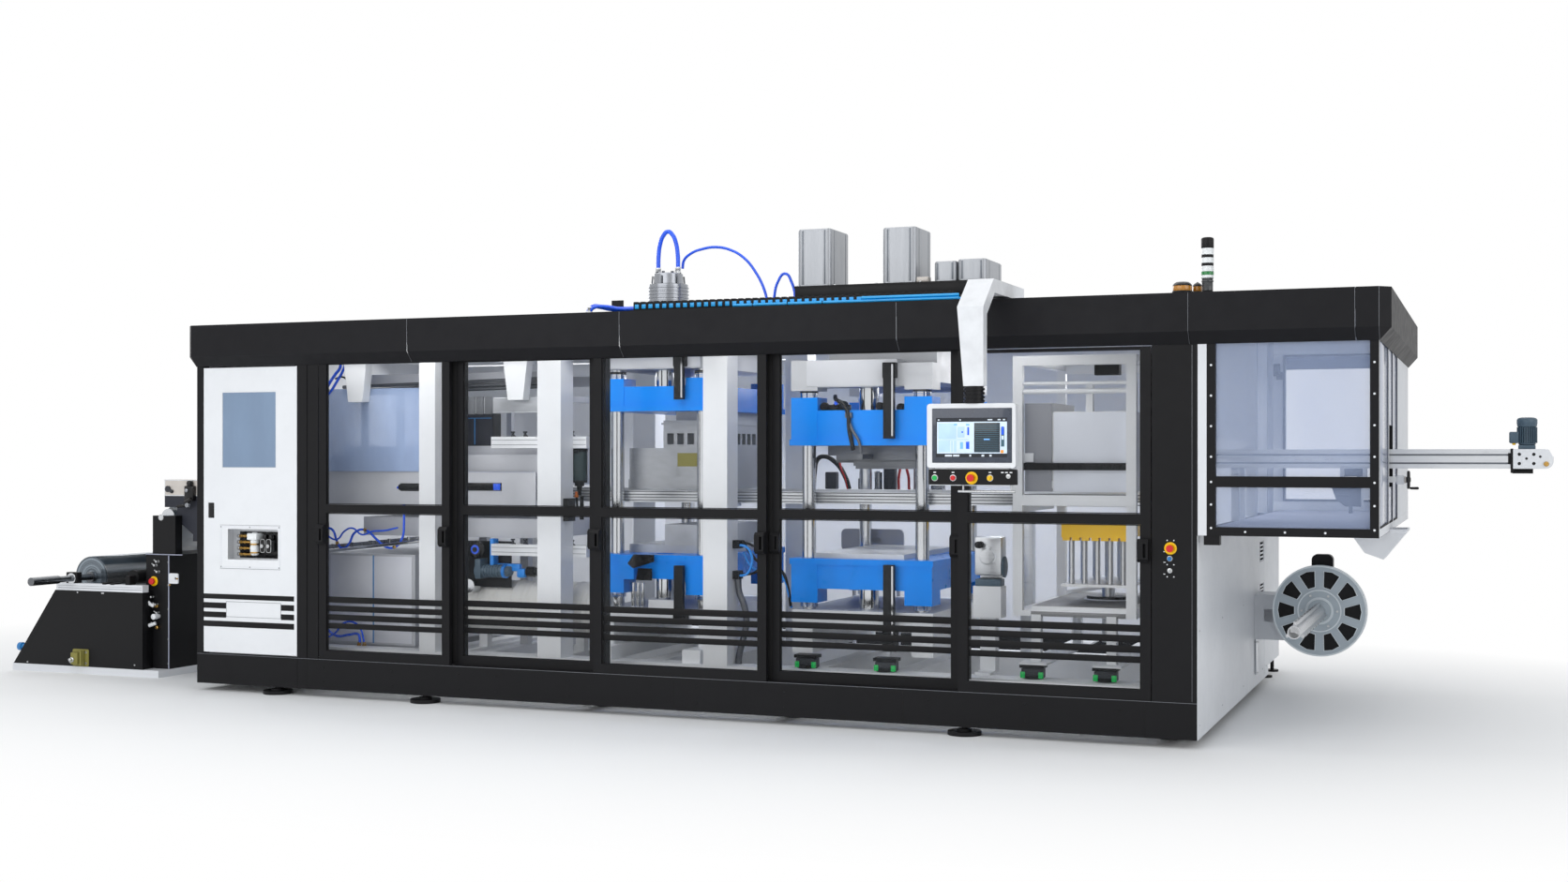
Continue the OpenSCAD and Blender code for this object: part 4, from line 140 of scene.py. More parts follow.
# A plate with an outline in two axes, drawn out along the third; holes are (u, v, radius)
def addPlate(bm, outline, holes, start, end, plane="y", sides=20, slot=0):
    def at(u, v, w):
        return {"y": spot(u, w, v), "x": spot(w, u, v), "z": spot(u, v, w)}[plane]
    loops = [list(outline)]
    for h in holes:
        if len(h) == 3:
            u, v, r = h
            h = [(u + r * math.cos(-2 * math.pi * i / sides), v + r * math.sin(-2 * math.pi * i / sides))
                 for i in range(sides)]
        loops.append(list(h))
    caps = []
    for w in (start, end):
        made, edges = [], []
        for loop in loops:
            ring = [bm.verts.new(at(u, v, w)) for u, v in loop]
            edges += [bm.edges.new((ring[i], ring[(i + 1) % len(ring)])) for i in range(len(ring))]
            made.append(ring)
        filled = bmesh.ops.triangle_fill(bm, use_beauty=True, use_dissolve=True, edges=edges)["geom"]
        for f in filled:
            if isinstance(f, bmesh.types.BMFace):
                f.material_index = slot
        caps.append(made)
    for near, far in zip(*caps):
        for i in range(len(near)):
            j = (i + 1) % len(near)
            bm.faces.new((near[i], near[j], far[j], far[i])).material_index = slot


def plate(name, outline, holes, start, end, material, body="machine", plane="y", edge=0.0):
    bm = bmesh.new()
    addPlate(bm, outline, holes, start, end, plane)
    piece = finishMesh(name, bm, material, body)
    if edge:
        soften = piece.modifiers.new("edge", "BEVEL")
        soften.width = edge * mm
        soften.segments = 2
        soften.limit_method = "ANGLE"
        soften.angle_limit = math.radians(50)
    return piece


# Corners of a rectangle with round corners, in two axes
def roundedRect(u0, u1, v0, v1, r, steps=5):
    points = []
    for cu, cv, start in ((u1 - r, v1 - r, 0), (u0 + r, v1 - r, 90), (u0 + r, v0 + r, 180),
                          (u1 - r, v0 + r, 270)):
        for i in range(steps + 1):
            a = math.radians(start + 90 * i / steps)
            points.append((cu + r * math.cos(a), cv + r * math.sin(a)))
    return points


# A smooth tube through points
def hose(name, points, radius, material, body="machine", sides=6):
    curve = bpy.data.curves.new(name, "CURVE")
    curve.dimensions = "3D"
    spline = curve.splines.new("BEZIER")
    spline.bezier_points.add(len(points) - 1)
    for knot, p in zip(spline.bezier_points, points):
        knot.co = spot(*p)
        knot.handle_left_type = knot.handle_right_type = "AUTO"
    curve.bevel_depth = radius * mm
    curve.bevel_resolution = sides // 2
    curve.resolution_u = 8
    curve.use_fill_caps = True
    curve.materials.append(finishOf(material))
    piece = bpy.data.objects.new(name, curve)
    scene.collection.objects.link(piece)
    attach(piece, body)
    return piece


# A socket screw: chamfered head with a six-sided recess
def addScrew(bm, place, along, r, h, slot=0):
    turn = axisTurn(along)
    sides = 12
    profile = [(0, r), (h * 0.8, r), (h, r * 0.85), (h, r * 0.48), (h * 0.35, r * 0.45)]
    rings = []
    for d, q in profile:
        rings.append([bm.verts.new(place + turn @ Vector((
            q * mm * math.cos(2 * math.pi * i / sides), q * mm * math.sin(2 * math.pi * i / sides),
            d * mm)))
            for i in range(sides)])
    for a, b in zip(rings, rings[1:]):
        for i in range(sides):
            j = (i + 1) % sides
            bm.faces.new((a[i], a[j], b[j], b[i])).material_index = slot
    bm.faces.new(rings[-1]).material_index = slot
    bm.faces.new(rings[0][::-1]).material_index = slot


def screws(name, places, along, r, h, material, body="machine"):
    bm = bmesh.new()
    for p in places:
        addScrew(bm, spot(*p), along, r, h)
    return finishMesh(name, bm, material, body)


toFront, toRear, toRight = (0, -1, 0), (0, 1, 0), (1, 0, 0)
toLeft, toTop, toFloor = (-1, 0, 0), (0, 0, 1), (0, 0, -1)


def colour(code):
    parts = [int(code[i:i + 2], 16) / 255 for i in (1, 3, 5)]
    return tuple(p / 12.92 if p <= 0.04045 else ((p + 0.055) / 1.055) ** 2.4 for p in parts) + (1.0,)


def blank(name):
    material = bpy.data.materials.new(name)
    material.use_nodes = True
    tree = material.node_tree
    tree.nodes.clear()
    out = tree.nodes.new("ShaderNodeOutputMaterial")
    shader = tree.nodes.new("ShaderNodeBsdfPrincipled")
    tree.links.new(shader.outputs["BSDF"], out.inputs["Surface"])
    place = tree.nodes.new("ShaderNodeTexCoord").outputs["Object"]
    return material, tree, shader, place


def noise(tree, place, scale, detail=3.0, stretch=None):
    if stretch:
        mapping = tree.nodes.new("ShaderNodeMapping")
        mapping.inputs["Scale"].default_value = stretch
        tree.links.new(place, mapping.inputs["Vector"])
        place = mapping.outputs["Vector"]
    node = tree.nodes.new("ShaderNodeTexNoise")
    node.inputs["Scale"].default_value = scale
    node.inputs["Detail"].default_value = detail
    tree.links.new(place, node.inputs["Vector"])
    return node.outputs["Fac"]


def spread(tree, value, low, high, fromLow=0.3, fromHigh=0.7):
    node = tree.nodes.new("ShaderNodeMapRange")
    node.inputs["From Min"].default_value = fromLow
    node.inputs["From Max"].default_value = fromHigh
    node.inputs["To Min"].default_value = low
    node.inputs["To Max"].default_value = high
    tree.links.new(value, node.inputs["Value"])
    return node.outputs["Result"]


def blendColours(tree, factor, a, b):
    node = tree.nodes.new("ShaderNodeMix")
    node.data_type = "RGBA"
    for socket, value in ((node.inputs[0], factor), (node.inputs[6], a), (node.inputs[7], b)):
        if hasattr(value, "is_linked"):
            tree.links.new(value, socket)
        else:
            socket.default_value = value
    return node.outputs[2]


def bump(tree, shader, value, strength, distance):
    node = tree.nodes.new("ShaderNodeBump")
    node.inputs["Strength"].default_value = strength
    node.inputs["Distance"].default_value = distance
    tree.links.new(value, node.inputs["Height"])
    tree.links.new(node.outputs["Normal"], shader.inputs["Normal"])


def tinted(code, factor):
    return tuple(min(1.0, c * factor) for c in colour(code)[:3]) + (1.0,)


# Sprayed paint: slow drift of the colour, dust, and the skin of the spray coat
def paint(name, code, rough=0.4, skin=0.12, skinScale=900.0, drift=0.05, coat=0.0, metallic=0.0,
          shine=0.35):
    material, tree, shader, place = blank(name)
    slow = noise(tree, place, 1.7)
    dust = noise(tree, place, 14.0, 5.0)
    body = blendColours(tree, spread(tree, slow, 0, 1), tinted(code, 1 - drift), tinted(code, 1 + drift))
    body = blendColours(tree, spread(tree, dust, 0.0, 0.12, 0.5, 0.8), body, tinted(code, 0.8))
    tree.links.new(body, shader.inputs["Base Color"])
    tree.links.new(spread(tree, dust, rough - 0.05, rough + 0.07), shader.inputs["Roughness"])
    shader.inputs["Coat Weight"].default_value = coat
    shader.inputs["Coat Roughness"].default_value = 0.15
    shader.inputs["Metallic"].default_value = metallic
    shader.inputs["Specular IOR Level"].default_value = shine
    bump(tree, shader, noise(tree, place, skinScale, 2.0), skin, 0.0004)
    return material


# Metal with fine lines along one axis
def metal(name, code, rough=0.28, grain=(1, 1, 1), scale=60.0, lines=0.25, drift=0.08, metallic=1.0):
    material, tree, shader, place = blank(name)
    fine = noise(tree, place, scale, 4.0, grain)
    slow = noise(tree, place, 5.0, 3.0)
    body = blendColours(tree, spread(tree, fine, 0, 1), tinted(code, 1 - drift), tinted(code, 1 + drift))
    body = blendColours(tree, spread(tree, slow, 0, 0.35, 0.45, 0.8), body, tinted(code, 0.82))
    tree.links.new(body, shader.inputs["Base Color"])
    tree.links.new(spread(tree, fine, rough * 0.75, rough * 1.3), shader.inputs["Roughness"])
    shader.inputs["Metallic"].default_value = metallic
    bump(tree, shader, fine, lines, 0.0002)
    return material


def plastic(name, code, rough=0.35, coat=0.0, skin=0.08, skinScale=1600.0, glow=0.0, shine=0.3):
    material, tree, shader, place = blank(name)
    slow = noise(tree, place, 9.0, 4.0)
    body = blendColours(tree, spread(tree, slow, 0, 1), tinted(code, 0.93), tinted(code, 1.06))
    tree.links.new(body, shader.inputs["Base Color"])
    tree.links.new(spread(tree, slow, rough - 0.04, rough + 0.06), shader.inputs["Roughness"])
    shader.inputs["Coat Weight"].default_value = coat
    shader.inputs["Specular IOR Level"].default_value = shine
    bump(tree, shader, noise(tree, place, skinScale, 2.0), skin, 0.0002)
    if glow:
        tree.links.new(body, shader.inputs["Emission Color"])
        shader.inputs["Emission Strength"].default_value = glow
    return material


# A clear or tinted sheet: the pane lets most light through and keeps its shine
def pane(name, code, cover, rough=0.04, haze=0.06):
    material, tree, shader, place = blank(name)
    smear = noise(tree, place, 3.0, 4.0, (1.0, 1.0, 0.35))
    body = blendColours(tree, spread(tree, smear, 0, 1), tinted(code, 0.95), tinted(code, 1.05))
    tree.links.new(body, shader.inputs["Base Color"])
    tree.links.new(spread(tree, smear, cover, cover + haze, 0.4, 0.75), shader.inputs["Alpha"])
    tree.links.new(spread(tree, smear, rough, rough + 0.05), shader.inputs["Roughness"])
    shader.inputs["Specular IOR Level"].default_value = 0.22
    return material


# One finish below a height and another above it
def split(name, below, above, height, metallicAbove=0.0, metallicBelow=0.0, roughBelow=0.35,
          roughAbove=0.35,
          axis=2, soft=0.0005):
    material, tree, shader, place = blank(name)
    parts = tree.nodes.new("ShaderNodeSeparateXYZ")
    tree.links.new(place, parts.inputs["Vector"])
    mask = spread(tree, parts.outputs[axis], 0, 1, height - soft, height + soft)
    dust = noise(tree, place, 12.0, 5.0)
    low = blendColours(tree, spread(tree, dust, 0, 1), tinted(below, 0.94), tinted(below, 1.04))
    high = blendColours(tree, spread(tree, dust, 0, 1), tinted(above, 0.92), tinted(above, 1.05))
    tree.links.new(blendColours(tree, mask, low, high), shader.inputs["Base Color"])
    tree.links.new(spread(tree, mask, metallicBelow, metallicAbove, 0, 1), shader.inputs["Metallic"])
    rough = spread(tree, mask, roughBelow, roughAbove, 0, 1)
    add = tree.nodes.new("ShaderNodeMath")
    add.operation = "ADD"
    tree.links.new(rough, add.inputs[0])
    tree.links.new(spread(tree, dust, -0.04, 0.06), add.inputs[1])
    tree.links.new(add.outputs["Value"], shader.inputs["Roughness"])
    shader.inputs["Specular IOR Level"].default_value = 0.2
    bump(tree, shader, noise(tree, place, 800.0, 2.0), 0.1, 0.0003)
    return material


# Film wound on a roll: rings of light and dark by distance from the shaft, and painted highlight streaks on
# its outside
def woundFilm(name, centreX, centreZ):
    material, tree, shader, place = blank(name)
    parts = tree.nodes.new("ShaderNodeSeparateXYZ")
    tree.links.new(place, parts.inputs["Vector"])
    squares = []
    for output, centre in (("X", centreX), ("Z", centreZ)):
        away = tree.nodes.new("ShaderNodeMath")
        away.operation = "SUBTRACT"
        tree.links.new(parts.outputs[output], away.inputs[0])
        away.inputs[1].default_value = centre
        square = tree.nodes.new("ShaderNodeMath")
        square.operation = "MULTIPLY"
        tree.links.new(away.outputs[0], square.inputs[0])
        tree.links.new(away.outputs[0], square.inputs[1])
        squares.append(square.outputs[0])
    total = tree.nodes.new("ShaderNodeMath")
    total.operation = "ADD"
    tree.links.new(squares[0], total.inputs[0])
    tree.links.new(squares[1], total.inputs[1])
    radius = tree.nodes.new("ShaderNodeMath")
    radius.operation = "SQRT"
    tree.links.new(total.outputs[0], radius.inputs[0])
    ringPlace = tree.nodes.new("ShaderNodeCombineXYZ")
    tree.links.new(radius.outputs[0], ringPlace.inputs["X"])
    coarse = noise(tree, ringPlace.outputs["Vector"], 45.0, 2.0)
    fine = noise(tree, ringPlace.outputs["Vector"], 900.0, 2.0)
    body = blendColours(tree, spread(tree, coarse, 0, 1, 0.42, 0.62), colour("#323c46"),
                        colour("#8e9aa4"))
    body = blendColours(tree, spread(tree, fine, 0, 0.35), body, colour("#8d9aa5"))
    # The outside of the roll is bright: its white and dark streaks are painted highlights and reflections
    outside = spread(tree, radius.outputs[0], 0, 1, 0.1445, 0.1455)
    paintedGlintStreaks = noise(tree, place, 11.0, 2.0, (1.0, 0.02, 1.0))
    paintedHighlightTone = blendColours(tree, spread(tree, paintedGlintStreaks, 0, 1, 0.4, 0.6), colour("#5d6d7b"),
                            colour("#ffffff"))
    tree.links.new(blendColours(tree, outside, body, paintedHighlightTone), shader.inputs["Base Color"])
    tree.links.new(spread(tree, fine, 0.16, 0.3), shader.inputs["Roughness"])
    shader.inputs["Metallic"].default_value = 0.8
    shader.inputs["Coat Weight"].default_value = 0.8
    bump(tree, shader, fine, 0.2, 0.0003)
    return material


finishes = {
    "charcoal": paint("charcoalCoat", "#18181a", 0.45, 0.2, 700.0, 0.06, shine=0.16),
    "headerCoat": paint("headerCoat", "#19191c", 0.5, 0.25, 650.0, 0.05, shine=0.16),
    "white": paint("whiteCoat", "#e6e8eb", 0.38, 0.1, 900.0, 0.025),
    "panelWhite": paint("panelWhiteCoat", "#e2e4e8", 0.42, 0.12, 800.0, 0.03),
    "azure": paint("azureCoat", "#0089f2", 0.34, 0.14, 420.0, 0.05, 0.08, shine=0.2),
    "ovenGrey": paint("ovenSheet", "#c6c8ce", 0.42, 0.1, 700.0, 0.05, 0.0, 0.25),
    "machined": metal("machinedSteel", "#c9cbce", 0.33, (1, 1, 9), 70.0),
    "crossheadGrey": paint("crossheadCoat", "#c2c4c8", 0.4, 0.12, 600.0, 0.05),
    "chrome": metal("groundChrome", "#cdd0d4", 0.12, (1, 1, 0.1), 40.0, 0.05, 0.03),
    "profile": metal("anodisedProfile", "#d3d6da", 0.36, (0.05, 1, 1), 90.0, 0.2, 0.05, 0.85),
    "black": plastic("blackPart", "#151517", 0.42, shine=0.2),
    "blackGloss": plastic("blackGloss", "#0d0d0f", 0.25, 0.15),
    "rubber": plastic("rubberPad", "#151516", 0.75, 0.0, 0.3, 500.0),
    "motor": paint("motorCoat", "#4d606e", 0.38, 0.2, 500.0, 0.06),
    "yellow": paint("yellowCoat", "#ffc800", 0.36, 0.12, 500.0, 0.04, 0.2),
    "red": plastic("redButton", "#d01b20", 0.28, 0.4),
    "green": plastic("greenButton", "#0ba24a", 0.3, 0.4, glow=0.25),
    "amberLens": plastic("amberLens", "#c9882c", 0.2, 0.6),
    "clearLens": plastic("clearLens", "#eef1f2", 0.18, 0.6),
    "greenLens": plastic("greenLens", "#0b7a37", 0.2, 0.6),
    "yellowButton": plastic("yellowButton", "#f2c40c", 0.3, 0.4),
    "blueKnob": plastic("blueKnob", "#2f7fc0", 0.3, 0.4),
    "royalHose": plastic("royalHose", "#1a5cf0", 0.25, 0.5),
    "skyHose": plastic("skyHose", "#1d8ae6", 0.28, 0.5),
    "cyanHose": plastic("cyanHose", "#12b0ff", 0.3, 0.4),
    "brass": metal("brassFitting", "#c79f58", 0.26, (1, 1, 1), 120.0, 0.15),
    "toolGrey": metal("toolSteel", "#a9acb1", 0.4, (0.3, 1, 1), 40.0, 0.2, 0.08, 0.55),
    "darkTool": metal("darkToolSteel", "#6a6d72", 0.42, (0.3, 1, 1), 40.0, 0.2, 0.1, 0.7),
    "reelGrey": paint("reelCoat", "#aeb9c1", 0.36, 0.15, 600.0, 0.05, 0.1, 0.2),
    "beige": paint("beigeCover", "#d6cfc8", 0.35, 0.1, 700.0, 0.04),
    "slate": paint("slateSheet", "#2f313a", 0.45, 0.15, 700.0, 0.06, shine=0.2),
    "clearPane": pane("clearPane", "#dfe8f0", 0.006, haze=0.008),
    "tintedPane": pane("tintedPane", "#bccdf0", 0.2, haze=0.05),
    "windowPane": pane("cabinetPane", "#93a9c4", 0.62, haze=0.12),
    "webFilm": pane("webFilm", "#c3ced8", 0.62, 0.14, 0.25),
    "screw": metal("screwSteel", "#c6c8ca", 0.3, (1, 1, 1), 200.0),
    "whiteDot": plastic("whiteDot", "#e9ebee", 0.35),
    "stripe": plastic("blackStripe", "#111113", 0.4, 0.0, shine=0.2),
    "seal": plastic("grooveSeal", "#0c0c0d", 0.6),
    "seamEdge": metal("foldedEdge", "#7f8288", 0.4, (1, 1, 1), 80.0, 0.1, 0.05, 0.5),
    "olive": paint("oliveSheet", "#8b8546", 0.5, 0.15, 500.0, 0.06),
    "wornBelt": plastic("conveyorBelt", "#d7dade", 0.55, 0.0, 0.3, 700.0),
    "paleShade": plastic("paleShade", "#a9adc0", 0.5),
    # Pale blue sheet behind the cabinet window: painted shade
    "windowBack": plastic("windowBack", "#b4c6dd", 0.5),
    "housing": metal("housingAluminium", "#a6a9ae", 0.38, (1, 1, 0.03), 45.0, 0.2, 0.09, 0.6),
    "cylinderSteel": metal("cylinderSteel", "#96999f", 0.24, (1, 1, 0.1), 60.0, 0.2, 0.1, 0.9),
    "blueSheet": pane("blueSheet", "#a9bde0", 0.6, haze=0.2),
    "milkSheet": paint("milkSheet", "#dfe3ec", 0.42, 0.1, 300.0, 0.04),
    "trayGrey": metal("trayGrey", "#8a8b8d", 0.5, (0.1, 1, 1), 50.0, 0.2, 0.08, 0.3),
    "duct": paint("ductCloth", "#e9e8e4", 0.7, 0.35, 60.0, 0.05),
    "redHose": plastic("redHose", "#b3131c", 0.35),
    "orange": plastic("copperFitting", "#c56a2c", 0.35),
    "darkLens": plastic("darkLens", "#3a3d40", 0.2, 0.6),
    "filterGlass": pane("filterGlass", "#3d4b4d", 0.86, haze=0.08),
    "darkGrey": paint("darkGreyCoat", "#3c3e43", 0.45, 0.15, 600.0, 0.06, shine=0.2),
    "midGrey": paint("midGreyCoat", "#dcdee6", 0.42, 0.12, 600.0, 0.05),
    "ashGrey": paint("ashGreyCoat", "#9a9ca3", 0.42, 0.12, 600.0, 0.05),
    "paleSteel": paint("paleSteelCoat", "#cfd1d6", 0.42, 0.12, 600.0, 0.04),
    "shaftSteel": metal("shaftSteel", "#74777b", 0.28, (1, 0.05, 1), 70.0),
    # Pale, mostly opaque end panes: painted reflection of glass seen at a grazing angle
    "endPane": pane("endPane", "#c9d1e6", 0.7, haze=0.1),
    "railShade": plastic("railShade", "#4a4d52", 0.4, 0.2),
    # Darker grey for grooves and slots: painted shade in the recesses
    "grooveGrey": metal("grooveShade", "#6f747b", 0.45, (1, 1, 1), 80.0, 0.1, 0.06, 0.5),
    "reelPale": paint("reelPaleCoat", "#dfe6ea", 0.32, 0.12, 600.0, 0.04),
    "bezel": plastic("screenBezel", "#39404e", 0.25, 0.5),
    "screenDark": plastic("screenDark", "#141a24", 0.2, 0.5, glow=0.2),
    "screenWhite": plastic("screenWhite", "#cfe0f0", 0.3, 0.1, glow=0.2),
    "screenPale": plastic("screenPale", "#b5d3ee", 0.3, 0.1, glow=0.2),
    "screenBlue": plastic("screenBlue", "#1750d8", 0.25, 0.3, glow=0.5),
    "screenSky": plastic("screenSky", "#6fa9ee", 0.25, 0.3, glow=0.5),
    "screenTeal": plastic("screenTeal", "#3b5a68", 0.25, 0.3, glow=0.4),
    "screenAmber": plastic("screenAmber", "#d98732", 0.25, 0.3, glow=0.5),
    "screenGrey": plastic("screenGrey", "#c9d2da", 0.25, 0.3, glow=0.3),
}
print("finishes made:", len(finishes))

# Finish of each CAD node
nodeFinish = {
    "charcoal": ["base_plinth", "enclosure_frame", "door_1_frame", "door_2_frame", "door_3_frame",
                 "door_4_frame", "door_5_frame"],
    "headerCoat": ["header_covers"],
    "panelWhite": ["enclosure_panels", "unwind_base"],
    "white": ["machine_frame", "cabinet_door"],
    "azure": ["form_upper_platen", "cut_upper_platen"],
    "ovenGrey": ["ovens"],
    "crossheadGrey": ["form_crosshead", "cut_crosshead"],
    "machined": ["stacker_rods", "reel_shaft"],
    "shaftSteel": ["unwind_shaft"],
    "chrome": ["bright_bars", "guide_roller"],
    "profile": ["chain_rails", "drive_housings", "conveyor_beam"],
    "black": ["levelling_feet", "black_fittings", "unwind_cover"],
    "toolGrey": ["form_tool"],
    "darkTool": ["cut_tool"],
    "yellow": ["stack_gripper"],
    "motor": ["gear_motors"],
    "red": ["panel_stop", "panel_reset", "column_stop", "unwind_stop"],
    "green": ["panel_start"],
    "yellowButton": ["panel_selector"],
    "blueKnob": ["column_selector"],
    "brass": ["conveyor_pulley", "air_service_unit"],
    "reelGrey": ["scrap_reel"],
    "clearPane": ["door_1_pane", "door_2_pane", "door_3_pane", "door_4_pane", "door_5_pane"],
    "windowPane": ["cabinet_window"],
    "tintedPane": ["cabin_glazing"],
    "webFilm": ["film_web"],
    "skyHose": ["air_hoses"],
}


def dress(node, material):
    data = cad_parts[node].data
    data.materials.clear()
    data.materials.append(material)


for finish, names in nodeFinish.items():
    for n in names:
        dress(n, finishes[finish])
shaftSpot = spot(-4699.5, 1050, 672)
dress("film_roll", woundFilm("woundFilm", shaftSpot.x, shaftSpot.z))
dress("form_lower_platen", split("formLowerCoat", "#0089f2", "#b9bcc1", 0.9325, 0.6, 0.0, 0.3, 0.38))
dress("cut_lower_platen", split("cutLowerCoat", "#0089f2", "#c9ccd0", 0.9325, 0.7, 0.0, 0.3, 0.36))
dress("panel_arm", split("armCoat", "#17171a", "#e6e8eb", 1.9095, 0.0, 0.0, 0.3, 0.36))
dress("infeed_guide", split("infeedCoat", "#33353d", "#d6cfc8", 1.2615, 0.0, 0.0, 0.42, 0.34))
dress("stacker_frame", finishes["white"])


enclosure = {
    "headerSeams": (-1584, -106, 1616, 3218, 4051, 4167.0),
    "plinthSeams": (-2381, 220, 1634, 2978),
    "plinthScrews": (-2254, -1737, -1249, -985, -481, 71, 369, 919, 1483, 1783, 2331, 2847),
    "doorEdges": (-2292.5, -1316.5, -316.5, 807.5, 1949.5, 3013.5),
    "stripes": ((606, 645), (551, 588), (494, 532), (441, 476)),
    "stripeThick": 1.2,
    "stile": 57.5,
    "frontPane": 17.4,
    "rearPane": 82.4,
}


def headerSeams():
    bm = bmesh.new()
    for x in enclosure["headerSeams"]:
        addBox(bm, x - 3.4, x - 1.4, -60.6, -59.8, 2197, 2399, 0.2)
        addRod(bm, spot(x - 2.4, -60.2, 2196), spot(x - 2.4, -3.4, 2132), 0.9, 8)
    finishMesh("headerSeams", bm, "seamEdge")


def plinthFinish():
    bm = bmesh.new()
    for x in enclosure["plinthSeams"]:
        addBox(bm, x - 1.4, x + 1.4, -0.8, 0.6, 50, 241, 0.2)
    finishMesh("plinthSeams", bm, "seal")
    places = [(x, 0.2, z) for x in enclosure["plinthScrews"] for z in (99, 191)]
    screws("plinthScrews", places, toFront, 6.0, 3.0, "black")
    edge = [(-3253.5, 3253.5, -0.6, 0.4, 240.5, 242.6)]
    boxes("plinthEdge", edge, "seamEdge", "machine", 0.2)


# Lips that close the slit between a front door and the rear one beside it
def doorSeals():
    for number in (2, 4):
        x = enclosure["doorEdges"][number - 1]
        lip = [(x - 34, x + 4, 66, 69.5, 246, 2180), (x + 2, x + 12, 66, 71, 246, 2180)]
        boxes("doorSeal" + str(number), lip, "rubber", "door_" + str(number), 1)


def doorStripes(number):
    x0 = enclosure["doorEdges"][number - 1] + enclosure["stile"]
    x1 = enclosure["doorEdges"][number] - enclosure["stile"]
    front = enclosure["frontPane"] if number % 2 else enclosure["rearPane"]
    body = "door_" + str(number)
    bands = [(x0, x1, front - enclosure["stripeThick"], front - 0.05, a, b) for a,
             b in enclosure["stripes"]]
    boxes("doorStripes" + str(number), bands, "stripe", body, 0.3)
    top = 2131 if number < 5 else 2113
    # Rubber glazing beads round the pane
    beads = []
    for z0, z1 in ((300, 1178), (1236, top)):
        beads += [(x0 - 0.5, x0 + 4.5, front - 2.4, front - 0.05, z0, z1),
                  (x1 - 4.5, x1 + 0.5, front - 2.4, front - 0.05, z0, z1),
                  (x0 + 4.5, x1 - 4.5, front - 2.4, front - 0.05, z0, z0 + 5),
                  (x0 + 4.5, x1 - 4.5, front - 2.4, front - 0.05, z1 - 5, z1)]
    boxes("glazingBeads" + str(number), beads, "rubber", body, 0.6)


headerSeams()
plinthFinish()
doorSeals()
for doorNumber in range(1, 6):
    doorStripes(doorNumber)


cabinet = {
    "stripes": ((605, 638), (543, 581), (483, 520), (423, 461)),
    "sides": (-3199.5, -2460.5),
    "barePlate": (-3015, -2586, 492, 588),
    "pipes": (897, 937, 977, 1017),
    "pipeReach": (-2990, -2872),
}


def cabinetTrim():
    x0, x1 = cabinet["sides"]
    p0, p1, q0, q1 = cabinet["barePlate"]
    bands = []
    for z0, z1 in cabinet["stripes"]:
        crosses = z0 < q1 and z1 > q0
        spans = ((x0, p0 - 4), (p1 + 4, x1 - 20)) if crosses else ((x0, x1 - 20),)
        bands += [(a, b, 0.7, 1.95, z0, z1) for a, b in spans]
    boxes("cabinetStripes", bands, "stripe", "cabinet", 0.3)
    plate("cabinetPlate", roundedRect(p0, p1, q0, q1, 5), [], 0.2, 1.9, "white", "cabinet", "y", 0.4)
    # A fine folded edge round the plate and the window
    rims = []
    for a, b, c, d in ((p0, p1, q0, q1), (-3051, -2623, 1466.5, 1960.5)):
        rims += [(a - 2.5, a, 0.4, 2.6, c - 2.5, d + 2.5), (b, b + 2.5, 0.4, 2.6, c - 2.5, d + 2.5),
                 (a, b, 0.4, 2.6, c - 2.5, c), (a, b, 0.4, 2.6, d, d + 2.5)]
    boxes("cabinetRims", rims[:4], "seamEdge", "cabinet", 0.5)
    boxes("windowRims", rims[4:], "white", "cabinet", 0.5)
    corners = [(x, 0.6, z) for x in (-3058, -2827, -2596) for z in (818, 1079)]
    screws("nicheScrews", corners, toFront, 4.5, 2.2, "black", "cabinet")
    boxes("cabinetPull", [(-3160, -3120, 2, 26, 1134, 1238)], "blackGloss", "cabinet", 1.5)
    frameEdge = roundedRect(-3066, -2588, 808, 1090, 6)
    plate("nicheFrame", frameEdge, [roundedRect(-3052, -2602, 822, 1076, 4)], -1.2, 1.2, "panelWhite",
          "cabinet", "y", 0.5)
    # Grey lines along the top and bottom edges of the raised frame: painted shade at its edges
    boxes("nicheFrameShadeLines", [(-3067, -2587, -0.2, 1.3, 805.5, 808),
                              (-3067, -2587, -0.2, 1.3, 1090, 1092)],
          "seamEdge", "cabinet", 0.3)
    # Strips and a pale blue sheet behind the window pane: painted shade of the cabinet's inside
    boxes("windowShades", [(-3060, -3021, 13, 16, 1460, 1966), (-3006, -2962, 13, 16, 1460, 1966),
                           (-2832, -2612, 14, 16, 1460, 1966)], "paleShade", "cabinet", 0.8)
    boxes("windowShadow", [(-3061, -2612, 20, 24, 1458, 1968)], "windowBack", "cabinet", 0.8)


